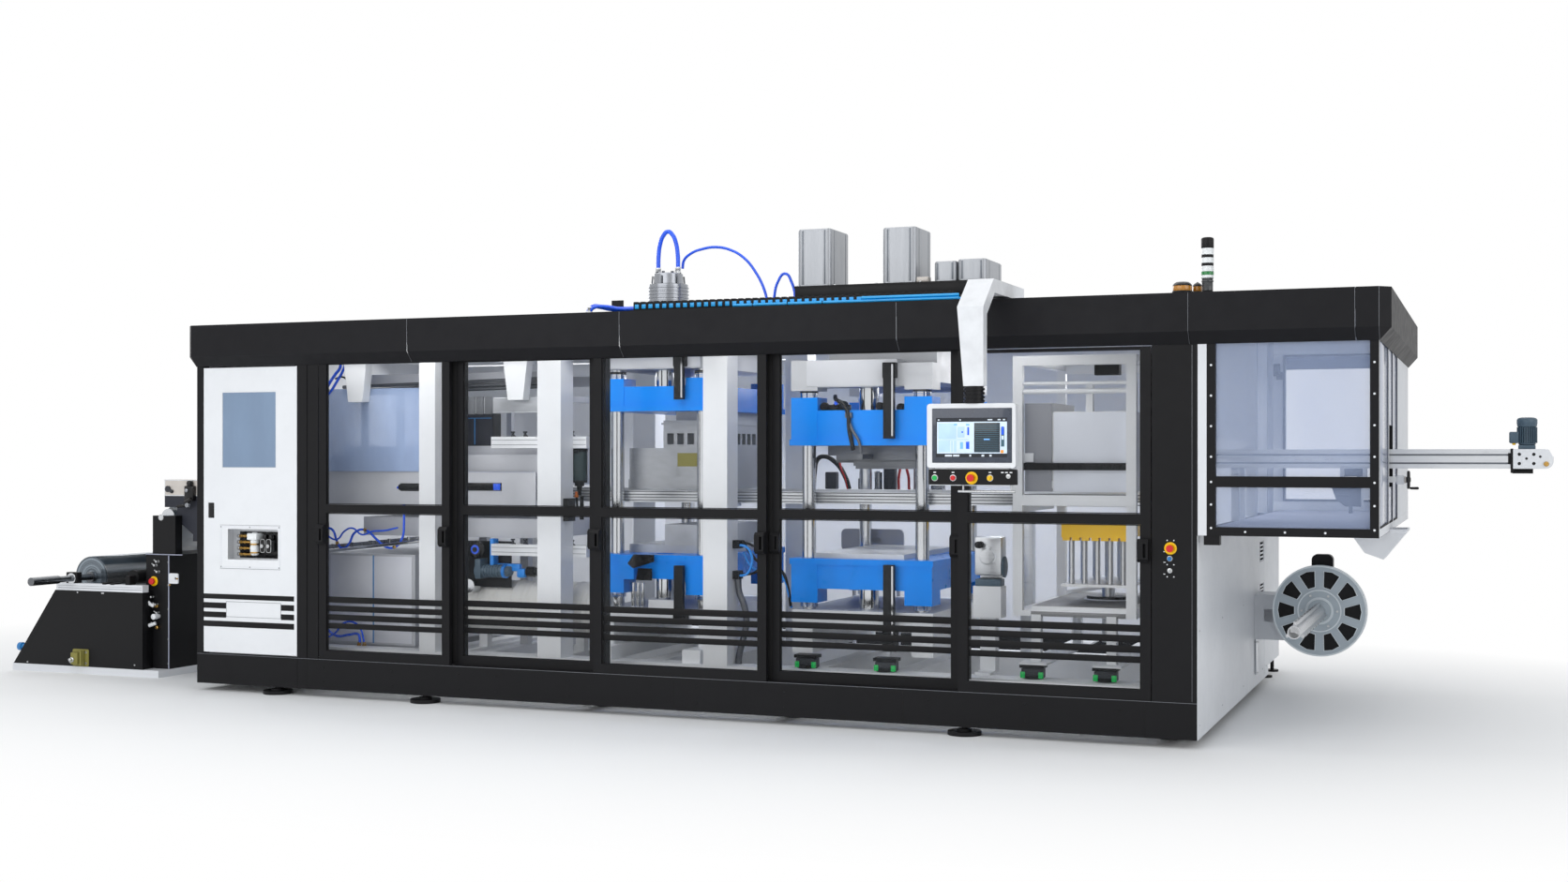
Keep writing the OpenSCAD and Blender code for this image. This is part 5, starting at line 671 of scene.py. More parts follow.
def airServiceUnit():
    brassMade = bmesh.new()
    steelMade = bmesh.new()
    for z in cabinet["pipes"]:
        a, b = cabinet["pipeReach"]
        addTurned(brassMade, spot(a + 16, 83.5, z), toRight,
                  [(0, 9.5), (3, 11), (17, 11), (20, 8), (34, 8), (36, 11.5), (52, 11.5), (54, 8),
                   (b - a - 16, 8)], 16)
        addTurned(steelMade, spot(a, 83.5, z), toRight, [(0, 8.5), (2, 12.5), (14, 13.5), (17, 9.5)], 16)
    finishMesh("supplyPipes", brassMade, "brass", "cabinet")
    finishMesh("pipeTips", steelMade, "screw", "cabinet")
    pieces = [(-2993, -2692, 107, 117, 872, 1046)]
    board = boxes("airBoard", pieces, "blackGloss", "cabinet", 2)
    bowl = bmesh.new()
    addTurned(bowl, spot(-2848.5, 75.5, 889), toTop,
              [(0, 12), (4, 22), (14, 28), (30, 30), (58, 30), (70, 26), (76, 27), (100, 29), (104, 25)],
              24)
    addBox(bowl, -2888, -2809, 42, 113, 993, 1038, 7)
    addTurned(bowl, spot(-2848.5, 75.5, 1038), toTop, [(0, 16), (3, 18), (6, 12)], 24)
    finishMesh("filterBowl", bowl, "clearLens", "cabinet")
    strap = bmesh.new()
    for z in (905, 960):
        addTurned(strap, spot(-2848.5, 75.5, z), toTop, [(0, 31), (1, 32.4), (9, 32.4), (10, 31)], 24)
    finishMesh("bowlStraps", strap, "brass", "cabinet")
    body, ring = bmesh.new(), bmesh.new()
    for x in (-2770.5, -2722.5):
        addBox(body, x - 18, x + 18, 58, 113, 915, 994, 6)
        addTurned(body, spot(x, 83.5, 994), toTop, [(0, 12), (4, 16), (30, 16), (36, 13), (38, 9)], 20)
        addTurned(body, spot(x, 58, 955), toFront, [(0, 15), (9, 15), (12, 12)], 20)
        outline = roundedRect(x - 19, x + 19, 912, 1000, 13)
        hole = roundedRect(x - 16, x + 16, 915, 997, 11)
        addPlate(ring, outline, [hole], 54.5, 57.5)
        addTurned(ring, spot(x, 45.6, 955), toFront, [(0, 12.4), (1.2, 12.4), (1.4, 9)], 20)
    finishMesh("regulators", body, "blackGloss", "cabinet")
    finishMesh("regulatorRims", ring, "screw", "cabinet")
    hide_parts("air_service_unit")


cabinetTrim()
airServiceUnit()
print("cabinet dressed")


panel = {
    "left": 1922.5, "right": 2402.5, "low": 1481, "high": 1819,
    "front": -480.0, "back": -418.0, "corner": 16,
    "screen": (1972, 2357, 1537, 1744),
    "strip": (1930.5, 2405.5, 1393, 1474),
    "buttonHoles": ((1964.5, 14), (2064.5, 14), (2165.5, 13), (2264.5, 14)),
    "buttonHeight": 1429,
}


def screenPicture():
    x0, x1, z0, z1 = panel["screen"]
    f = panel["front"]
    layers = {"screenDark": [], "screenWhite": [], "screenPale": [], "screenBlue": [], "screenSky": [],
              "screenTeal": [], "screenAmber": [], "screenGrey": []}

    def patch(kind, a, b, c, d, lift=0.4):
        layers[kind].append((x0 + a, x0 + b, f + 1.2 - lift, f + 1.5, z0 + c, z0 + d))

    patch("screenDark", 0, 385, 0, 207, 0.0)
    patch("screenWhite", 6, 384, 20, 186, 0.3)
    for a, b, c, d in ((14, 112, 96, 178), (14, 78, 28, 88), (84, 92, 28, 88), (98, 112, 28, 88),
                       (118, 156, 104, 160)):
        patch("screenPale", a, b, c, d, 0.6)
    for a, b, c, d in ((171, 181, 116, 158), (164, 182, 44, 82), (140, 148, 128, 136)):
        patch("screenBlue", a, b, c, d, 0.9)
    for a, b, c, d in ((98, 116, 168, 176), (164, 182, 166, 175), (132, 148, 44, 80),
                       (20, 180, 92, 93.4)):
        patch("screenSky", a, b, c, d, 0.9)
    patch("screenDark", 208, 346, 26, 180, 0.6)
    for row in range(15):
        z = 32 + row * 9.6
        patch("screenTeal", 214, 340, z, z + 3.2, 0.9)
    patch("screenSky", 260, 292, 90, 97, 1.1)
    patch("screenTeal", 352, 370, 56, 158, 0.6)
    patch("screenBlue", 355, 367, 118, 160, 0.9)
    patch("screenWhite", 355, 367, 92, 112, 1.1)
    patch("screenAmber", 350, 366, 22, 38, 0.9)
    for a, b in ((10, 20), (128, 136), (280, 306), (334, 350), (362, 374)):
        patch("screenGrey", a, b, 193, 199, 0.6)
    for a, b in ((50, 88), (94, 128), (182, 192), (248, 262), (290, 302)):
        patch("screenGrey", a, b, 4, 14, 0.6)
    for kind, patches in layers.items():
        boxes(kind, patches, kind, "panel", 0.15)


def operatorPanel():
    x0, x1, z0, z1 = (panel[k] for k in ("left", "right", "low", "high"))
    f, b = panel["front"], panel["back"]
    bm = bmesh.new()
    window = roundedRect(x0 + 29, x1 - 20, z0 + 27, z1 - 25, 4)
    addPlate(bm, roundedRect(x0, x1, z0, z1, panel["corner"]), [window], f, f + 6)
    addPlate(bm, roundedRect(x0 + 0.4, x1 - 0.4, z0 + 0.4, z1 - 0.4, panel["corner"]), [], f + 6, b)
    addTurned(bm, spot(2171, -444, z1), toTop, [(0, 20), (44, 20), (45, 18)], 32)
    addBox(bm, x0 + 40, x1 - 40, -464, -434, 1474, z0, 2)
    housing = finishMesh("panelHousing", bm, "white", "panel")
    soften = housing.modifiers.new("edge", "BEVEL")
    soften.width = 2.2 * mm
    soften.segments = 3
    soften.limit_method = "ANGLE"
    soften.angle_limit = math.radians(60)
    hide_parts("operator_panel")
    boxes("panelBezel", [(x0 + 29.5, x1 - 20.5, f + 1.4, f + 5.8, z0 + 27.5, z1 - 25.5)], "bezel",
          "panel", 1.5)
    screenPicture()
    a, c, d, e = panel["strip"]
    bm = bmesh.new()
    holes = [(x, panel["buttonHeight"], r) for x, r in panel["buttonHoles"]]
    addPlate(bm, roundedRect(a, c, d, e, 5), holes, -474, -471)
    addPlate(bm, roundedRect(a, c, d, e, 5), holes, -471, -448)
    finishMesh("buttonStrip", bm, "black", "panel")
    boxes("stripFrame", [(a, c, -448, -424, d, e), (a - 4, c - 2, -440, -426, d - 5, e + 4)], "white",
          "panel", 3)
    # Rings round the buttons, the yellow plate of the emergency stop, key lock and marks
    ring = bmesh.new()
    for x, r in panel["buttonHoles"]:
        if r == 14:
            addTurned(ring, spot(x, -474, 1429), toFront,
                      [(0, 17.5), (2, 17.5), (3, 15.6), (3, 13.6), (-8, 13.6)], 28)
    addTurned(ring, spot(2362, -474, 1438), toFront, [(0, 12), (2, 12), (3, 10), (3, 4), (6, 3.4)], 24)
    finishMesh("buttonRings", ring, "screw", "panel")
    stopRing("panelStopRing", spot(2165.5, -474, 1429), "panel")
    dots = [(x, -474.4, 1458) for x in (1964, 2064, 2264, 2330, 2352, 2376)]
    marks = [(x - 7, x + 7, -474.6, -473.8, z - 3, z + 3) for x, y, z in dots]
    boxes("stripMarks", marks, "whiteDot", "panel", 0.2)
    grip = bmesh.new()
    addRod(grip, spot(2084.5, -449, 1358), spot(2392.5, -449, 1358), 7, 20)
    for x in (2112.5, 2372.5):
        addRod(grip, spot(x, -449, 1358), spot(x, -449, 1393), 5, 14)
        addTurned(grip, spot(x, -449, 1390), toTop, [(0, 9), (3, 9)], 16)
    finishMesh("panelGrip", grip, "screw", "panel")


# The yellow ring under an emergency stop's mushroom
def stopRing(name, place, body):
    bm = bmesh.new()
    addTurned(bm, place, toFront, [(0, 33), (4, 33), (8, 29), (8, 20), (6, 14.5), (0, 14.5)], 40)
    return finishMesh(name, bm, "yellow", body)


operatorPanel()
print("operator panel built")


column = {
    "stop": (3115.5, 1056),
    "selector": (3111.5, 1002),
    "keyLock": (3112, 938),
    "screws": ((3098, 1098), (3133, 1098), (3098, 970), (3133, 970), (3098, 906), (3133, 906)),
}


def controlColumn():
    stopRing("columnStopRing", spot(column["stop"][0], 0, column["stop"][1]), "machine")
    ring = bmesh.new()
    addTurned(ring, spot(column["selector"][0], 0, column["selector"][1]), toFront,
              [(0, 14.5), (2.5, 14.5), (3.5, 12.6), (3.5, 10.2)], 28)
    x, z = column["keyLock"]
    addTurned(ring, spot(x, 0, z), toFront, [(0, 13), (3, 13), (4, 11), (4, 5), (9, 4.4)], 28)
    addBox(ring, x - 1.4, x + 1.4, -21, -8, z - 8, z + 8, 0.6)
    finishMesh("columnRings", ring, "screw")
    screws("columnScrews", [(x, 0.2, z) for x, z in column["screws"]], toFront, 3.6, 2.0, "whiteDot")
    marks = [(3078, 3086, -0.8, 0.2, 1036, 1040), (3078, 3090, -0.8, 0.2, 980, 984),
             (3078, 3088, -0.8, 0.2, 918, 922)]
    boxes("columnMarks", marks, "whiteDot", "machine", 0.2)
    boxes("columnFold", [(3226.6, 3228.4, -0.9, 0.4, 250, 2128)], "seamEdge", "machine", 0.3)


controlColumn()


roof = {
    "plateTop": 2557,
    "servoBoxes": ((831.5, 430, 212, 330, 340), (1365.5, 430, 208, 310, 326),
                   (1681.5, 430, 135, 300, 115), (1822.5, 430, 172, 360, 123)),
    "cornerRound": 26,
    "pressHead": (-124.5, 650),
    "chain": (-150.5, 1904.5, 46, 214, 298),
}


# A drawn aluminium housing: round corners, grooves down its sides and a cast lid
def servoBox(number, x, y, w, d, h):
    z = roof["plateTop"]
    r = roof["cornerRound"]
    outline = []
    corners = roundedRect(x, x + w, y, y + d, r, 6)
    bm = bmesh.new()
    front = []
    for share in (0.17, 0.83):
        front.append(x + w * share)
    for u, v in corners:
        outline.append((u, v))
    addPlate(bm, outline, [], z + 7, z + h - 9, "z")
    addPlate(bm, roundedRect(x + 2, x + w - 2, y + 2, y + d - 2, r - 2, 6), [], z, z + 7, "z")
    addPlate(bm, roundedRect(x + 3, x + w - 3, y + 3, y + d - 3, r - 3, 6), [], z + h - 9, z + h - 3, "z")
    addPlate(bm, roundedRect(x + 9, x + w - 9, y + 9, y + d - 9, r - 9, 6), [], z + h - 3, z + h, "z")
    finishMesh("driveHousing" + str(number), bm, "housing", "machine", 30)
    # The grooves are darker strips on the faces: painted shade
    grooves = []
    for gx in front:
        grooves += [(gx - 5, gx + 5, y - 0.4, y + 1.4, z + 8, z + h - 10),
                    (gx - 5, gx + 5, y + d - 1.4, y + d + 0.4, z + 8, z + h - 10)]
    for gy in (y + d * 0.2, y + d * 0.8):
        grooves += [(x - 0.4, x + 1.4, gy - 5, gy + 5, z + 8, z + h - 10),
                    (x + w - 1.4, x + w + 0.4, gy - 5, gy + 5, z + 8, z + h - 10)]
    boxes("housingGrooves" + str(number), grooves, "grooveGrey", "machine", 0.4)
    ribs = []
    for gx in (front[0] - 11, front[0] + 8, front[1] - 11, front[1] + 8):
        ribs.append((gx, gx + 3, y - 1.2, y + 0.4, z + 8, z + h - 10))
    boxes("housingRibs" + str(number), ribs, "housing", "machine", 0.6)
    spots = [(x + sx, y + sy, z + h - 3.2) for sx in (20, w - 20) for sy in (20, d - 20)]
    screws("housingScrews" + str(number), spots, toTop, 6, 5, "screw")


def pressActuator():
    x, y = roof["pressHead"]
    bm = bmesh.new()
    profile = [(0, 132), (3, 140), (17, 140), (20, 124)]
    for rib in range(5):
        z = 28 + rib * 21
        profile += [(z, 124), (z + 2, 129), (z + 9, 129), (z + 11, 124)]
    profile += [(138, 124), (141, 118), (141, 94), (204, 92), (208, 88), (210, 84), (210, 40), (209, 38)]
    addTurned(bm, spot(x, y, 2480), toTop, profile, 48)
    finishMesh("pressActuator", bm, "cylinderSteel")
    crown = bmesh.new()
    for step in range(8):
        a = 2 * math.pi * step / 8
        place = spot(x + 74 * math.cos(a), y + 74 * math.sin(a), 2690)
        addTurned(crown, place, toTop, [(0, 9), (3, 10), (9, 10), (11, 7)], 10)
        addTurned(crown, spot(x + 132 * math.cos(a), y + 132 * math.sin(a), 2499.5), toTop,
                  [(0, 6), (5, 6), (6, 4.6)], 10)
    for dx, dy in ((-70, 0), (70, -5), (34, 56)):
        addTurned(crown, spot(x + dx, y + dy, 2689), toTop,
                  [(0, 19), (6, 19), (8, 16), (24, 16), (26, 14.5), (36, 14.5)], 6)
    for k in range(6):
        a = 2 * math.pi * (k + 0.5) / 6
        addRod(crown, spot(x + 104 * math.cos(a), y + 104 * math.sin(a), 2610),
               spot(x + 98 * math.cos(a), y + 98 * math.sin(a), 2672), 5, 10)
    finishMesh("actuatorCrown", crown, "darkTool")


def roofSmallParts():
    z = roof["plateTop"]
    # Terminal block and the gearbox left of the stacker
    block = boxes("terminalBlock", [(1574.5, 1644.5, 440, 500, z, z + 30),
                                    (1580, 1640, 436, 440, z + 6, z + 22)],
                  "beige", "machine", 3)
    boxes("roofFascia", [(820, 2010, 421, 427, 2474, 2547)], "black", "machine", 2)
    gear = bmesh.new()
    addBox(gear, 1899.5, 2059.5, 520, 640, 852, 1076, 12)
    addBox(gear, 1911.5, 2041.5, 600, 632, 830, 852, 3)
    addTurned(gear, spot(1979.5, 520, 964), toFront, [(0, 52), (6, 52), (8, 44), (14, 42), (16, 20)], 32)
    finishMesh("takeOffGearbox", gear, "profile")
    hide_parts("drive_housings")
    screws("roofPlateScrews", [(x, 424 + 4, z - 0.5) for x in (830, 1070, 1330, 1600, 1990)], toTop, 7, 5,
           "screw")


def cableChain():
    x0, x1, pitch, y0, y1 = roof["chain"]
    count = int((x1 - x0 - 30) / pitch)
    caps = bmesh.new()
    for i in range(count):
        x = x0 + i * pitch
        addBox(caps, x + 1, x + 29, y0 - 0.6, y1 + 0.2, 2475, 2478, 0.8)
        addBox(caps, x + 6, x + 24, y0 - 1.6, y0 + 2, 2464, 2478, 0.8)
    addBox(caps, x0, x0 + count * pitch, y0 - 0.6, y0 + 0.4, 2425.5, 2474, 0.2)
    finishMesh("chainLinks", caps, "black")
    squares = [(x0 + i * pitch + 10, x0 + i * pitch + 36, y0 - 1.8, y0 - 0.4, 2436, 2462)
               for i in range(count)]
    boxes("chainHoseGlimpses", squares, "cyanHose", "machine", 0.6)


# Routes of the hoses: x beside the press's middle, y and z as they stand
hoseRoutes = {
    "pressArch": (14, "royalHose", [(-194.5, 650, 2724), (-192.5, 649, 2800), (-181.5, 648, 2875),
                                    (-157.5, 646, 2930),
                                    (-124.5, 645, 2954), (-91.5, 644, 2930), (-67.5, 644, 2875),
                                    (-56.5, 645, 2800),
                                    (-54.5, 645, 2724)]),
    "longArch": (9, "royalHose", [(-52.5, 706, 2724), (-40.5, 702, 2775), (15.5, 694, 2818),
                                  (95.5, 686, 2840), (185.5, 680, 2847),
                                  (285.5, 674, 2826), (385.5, 666, 2770), (465.5, 658, 2680),
                                  (525.5, 653, 2570), (549.5, 650, 2480),
                                  (555.5, 650, 2424)]),
    "shortArch": (9, "royalHose", [(605.5, 610, 2424), (609.5, 610, 2510), (635.5, 610, 2610),
                                   (681.5, 610, 2656), (725.5, 610, 2600),
                                   (747.5, 610, 2510), (751.5, 610, 2424)]),
    "roofLeft": (15, "royalHose", [(-504.5, 300, 2424), (-494.5, 297, 2448), (-464.5, 292, 2466),
                                   (-424.5, 288, 2464),
                                   (-344.5, 286, 2448), (-244.5, 286, 2444), (-158.5, 286, 2444)]),
    "roofLeftFront": (11, "royalHose", [(-474.5, 262, 2424), (-464.5, 262, 2444), (-434.5, 262, 2460),
                                        (-374.5, 262, 2462),
                                        (-264.5, 262, 2444), (-160.5, 262, 2440)]),
}


def roofHoses():
    for name, (r, finish, points) in hoseRoutes.items():
        hose(name, points, r, finish)
    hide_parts("air_hoses")
    bm = bmesh.new()
    ends = ((-194.5, 650, 2690, 17), (-54.5, 645, 2690, 17), (-90.5, 706, 2690, 12),
            (555.5, 650, 2400.3, 12),
            (605.5, 610, 2400.3, 12), (751.5, 610, 2400.3, 12), (-504.5, 300, 2400.3, 18),
            (-474.5, 262, 2426.2, 14))
    for x, y, z, r in ends:
        addTurned(bm, spot(x, y, z), toTop, [(0, r + 3), (6, r + 3), (7, r), (22, r), (24, r + 1),
                                             (34, r + 1), (38, r - 2)], 12)
    finishMesh("roofHoseFittings", bm, "screw")
    bundle = bmesh.new()
    for i in range(3):
        addRod(bundle, spot(-150.5, 235 + i * 21, 2435.3), spot(1900.5, 235 + i * 21, 2435.3), 9, 10)
    addRod(bundle, spot(515.5, 196, 2435.3), spot(1900.5, 196, 2435.3), 9, 10)
    addRod(bundle, spot(1320.5, 196, 2453.5), spot(1900.5, 196, 2453.5), 9, 10)
    finishMesh("chainHoses", bundle, "cyanHose")
    ties = [(x, x + 5, 186, 206, 2426, 2445) for x in range(640, 1300, 220)]
    boxes("hoseTies", ties, "black", "machine", 2)


# A stacked signal light and two flashing beacons
lamps = {
    "tower": (3298.5, 60, 2400),
    "sections": ((81, 16, "clearLens"), (97, 18, "greenLens"), (115, 30, "clearLens"), (145, 15, "black"),
                 (160, 29, "clearLens"), (189, 15, "black"), (204, 35, "clearLens")),
    "beacons": ((3167.5, 60, 54), (3237.5, 118, 28.5)),
}


def signalLights():
    x, y, z = lamps["tower"]
    bm = bmesh.new()
    addTurned(bm, spot(x, y, z), toTop, [(0, 34), (4, 34), (8, 31), (12, 30), (14, 27)], 32)
    addTurned(bm, spot(x, y, z + 239), toTop, [(0, 32), (3, 33), (48, 33), (54, 30), (57, 22)], 32)
    base = finishMesh("signalBase", bm, "black")
    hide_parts("signal_lights")
    bm = bmesh.new()
    addTurned(bm, spot(x, y, z + 14), toTop, [(0, 26), (2, 29), (60, 29), (66, 31)], 32)
    addTurned(bm, spot(x, y, z + 60), toTop, [(0, 30), (2, 32.4), (7, 32.4), (9, 30)], 32)
    finishMesh("signalNeck", bm, "darkLens")
    for number, (low, h, finish) in enumerate(lamps["sections"]):
        r = 31.5 if finish == "black" else 33
        bm = bmesh.new()
        addTurned(bm, spot(x, y, z + low), toTop, [(0, r - 2), (1.5, r), (h - 1.5, r), (h, r - 2)], 32)
        finishMesh("signalSection" + str(number), bm, finish)
    for number, (bx, by, r) in enumerate(lamps["beacons"]):
        bm = bmesh.new()
        addTurned(bm, spot(bx, by, z), toTop, [(0, r), (14, r), (18, r - 3), (18, r - 8)], 36)
        finishMesh("beaconFoot" + str(number), bm, "black")
        bm = bmesh.new()
        addTurned(bm, spot(bx, by, z + 17), toTop, [(0, r - 5), (3, r - 4), (24, r - 4), (29, r - 6)], 36)
        finishMesh("beaconLens" + str(number), bm, "amberLens")
        bm = bmesh.new()
        addTurned(bm, spot(bx, by, z + 45), toTop,
                  [(0, r - 3), (5, r - 4), (14, r - 12), (20, r - 22), (23, 3)], 36)
        finishMesh("beaconCap" + str(number), bm, "blackGloss")


for number, sizes in enumerate(roof["servoBoxes"]):
    servoBox(number, *sizes)
pressActuator()
roofSmallParts()
cableChain()
roofHoses()
signalLights()
print("roof dressed")


cabin = {
    "left": 3303.5, "right": 4161.5, "bar": 44, "low": 1127, "high": 2337,
    "screwRows": (1167, 1290, 1408, 1540, 1700, 1860, 2020, 2180, 2300),
}


def cabinTrim():
    x0, x1, b = cabin["left"], cabin["right"], cabin["bar"]
    places = [(x, 0.3, z) for x in (x0 + b / 2, x1 - b / 2) for z in cabin["screwRows"]]
    places += [(x, 0.3, z) for x in (3500, 3700, 3900) for z in (1149, 2315)]
    screws("cabinScrews", places, toFront, 6, 2.2, "whiteDot")
    side = [(x1 - 0.3, y, z) for y in (20, 820, 1260, 2960) for z in cabin["screwRows"]]
    screws("cabinSideScrews", side, toRight, 6, 2.2, "whiteDot")
    # White frame round the rear window, and a bracket under the belt
    inner = [(3262, 3361, 2996, 3006, 1180, 2335), (4055, 4155, 2996, 3006, 1180, 2335),
             (3262, 4155, 2995, 3005, 2231, 2335),
             (3262, 4155, 2995, 3005, 1135, 1234), (3308, 3345, 2560, 2600, 1175, 2330)]
    boxes("cabinInnerFrame", inner, "white", "machine", 3)
    catches = [(3290, 3346, 2975, 2996, 2085, 2168), (3322, 3366, 2970, 2996, 2060, 2110)]
    boxes("cabinCatches", catches, "black", "machine", 4)
    bm = bmesh.new()
    addPlate(bm, [(3900, 1490), (3900, 1424), (3924, 1424), (3924, 1474), (4022, 1474), (4022, 1424),
                  (4046, 1424), (4046, 1490)],
             [], 896, 904)
    addBox(bm, 3924, 4022, 897, 903, 1430, 1474, 2, slot=1)
    finishMesh("beltBracket", bm, [finishes["white"], finishes["slate"]])
    bm = bmesh.new()
    addPlate(bm, [(3856, 1368), (3880, 1300), (3930, 1262), (3948, 1262), (3948, 1224), (3968, 1224),
                  (3968, 1262),
                  (4012, 1262), (4012, 1368)], [], 897, 903)
    addBox(bm, 3890, 3950, 892, 897, 1318, 1332, 2)
    finishMesh("beltGuard", bm, "slate")
    boxes("cabinSill", [(3350, 4110, 46, 2990, 1172, 1176)], "paleShade", "machine", 1)
    # The end wall: white bars and rear panel round a black-edged window
    low, high = cabin["low"], cabin["high"]
    skins = [(x1 - 0.4, x1 + 1.2, 3, 42, low + 2, high - 2),
             (x1 - 0.4, x1 + 1.2, 42, 3018, low + 2, low + b),
             (x1 - 0.4, x1 + 1.2, 42, 3018, high - b, high - 2),
             (x1 - 2.5, x1 + 1.2, 1712, 3018, low + b, high - b)]
    skins += [(x1 - 0.4, x1 + 1.2, y, y + b, low + b, high - b) for y in (860 - b, 1240)]
    boxes("cabinEndSkins", skins, "panelWhite", "machine", 1)
    rims = [(x1 - 1, x1 + 1.8, 44, 54, low + b, high - b),
            (x1 - 1, x1 + 1.8, 1700, 1712, low + b, high - b)]
    for z in (low + b, high - b - 10):
        rims += [(x1 - 1, x1 + 1.8, y0, y1, z, z + 10) for y0,
                 y1 in ((54, 860 - b), (860, 1240), (1240 + b, 1700))]
    # The panes' pale, mostly opaque look is painted reflection of glass seen at a grazing angle
    panes = [(x1 - 5, x1 - 2, 54, 860 - b, low + b, high - b),
             (x1 - 5, x1 - 2, 1240 + b, 1700, low + b, high - b),
             (x1 - 5, x1 - 2, 860, 1240, 1716, high - b), (x1 - 5, x1 - 2, 860, 1240, low + b, 1370)]
    boxes("cabinEndPanes", panes, "endPane", "machine", 0.5)
    boxes("cabinEndRims", rims, "rubber", "machine", 0.8)
    gasket = []
    for y0, y1 in ((42, 852), (1252, 3018)):
        gasket += [(4133, 4136.5, y0, y0 + 7, 1173, 2291), (4133, 4136.5, y1 - 7, y1, 1173, 2291)]
    boxes("cabinGaskets", gasket, "rubber", "machine", 1)


belt = {
    "start": 2893.5, "end": 4811.5, "front": 900, "rear": 1200, "low": 1475, "high": 1581,
    "holes": ((4826, 1553, 9), (4826, 1503, 9), (4862, 1530, 7), (4898, 1553, 9), (4898, 1503, 9),
              (4930, 1540, 7)),
    "hub": (4959.5, 1501),
    "motor": (4865.5, 960, 1575),
}


def conveyorTrim():
    y = belt["front"]
    # Darker strips in the profile's slots: painted shade
    lines = []
    for z0, z1 in ((1499, 1509), (1545, 1555)):
        lines.append((belt["start"], belt["end"], y + 3.6, y + 5.2, z0 + 0.4, z1 - 0.4))
    boxes("conveyorSlots", lines, "grooveGrey", "machine", 0.3)
    lips = []
    for z in (1497, 1509.4, 1543, 1555.4):
        lips.append((belt["start"], belt["end"], y - 1.0, y + 0.6, z, z + 1.6))
    boxes("conveyorSlotLips", lips, "profile", "machine", 0.4)
    boxes("conveyorBelt", [(belt["start"] + 4, belt["end"] - 4, y + 42, belt["rear"] - 42, 1561.2, 1565)],
          "wornBelt", "machine", 1)
    # Black discs fill the end plate's holes: painted shade of the open holes
    holes = bmesh.new()
    for x, z, r in belt["holes"]:
        addTurned(holes, spot(x, y - 8, z), toFront, [(0, r), (1.0, r), (1.6, r * 0.7)], 20)
    finishMesh("endPlateHoleShade", holes, "blackGloss")
    cover = bmesh.new()
    outline = [(4795, 1477), (4955, 1477)]
    outline += [(4955 + 38 * math.sin(a), 1515 - 38 * math.cos(a))
                for a in [math.pi * k / 12 for k in range(1, 8)]]
    outline += [(4993, 1540), (4972, 1579), (4795, 1579)]
    addPlate(cover, outline, [(x, z, r) for x, z, r in belt["holes"]] + [(4959.5, 1501, 15)], y - 9.6,
             y - 8.1)
    finishMesh("endPlateSkin", cover, "white")
    pads = [(4800, 4880, 942, 1018, 1449, 1475), (4806, 4874, 936, 942, 1452, 1468)]
    boxes("conveyorPads", pads, "rubber", "machine", 5)
    straps = [(4782, 4796, y - 9, y + 2, 1452, 1584), (4770, 4782, y - 4, y + 2, 1500, 1560)]
    boxes("beltStraps", straps, "black", "machine", 2)
    hub = bmesh.new()
    x, z = belt["hub"]
    addTurned(hub, spot(x, 885.5, z), toFront, [(0, 12.5), (3, 12.5), (5, 10.5), (5, 6), (2, 5)], 6)
    finishMesh("pulleyHub", hub, "brass", "pulley")


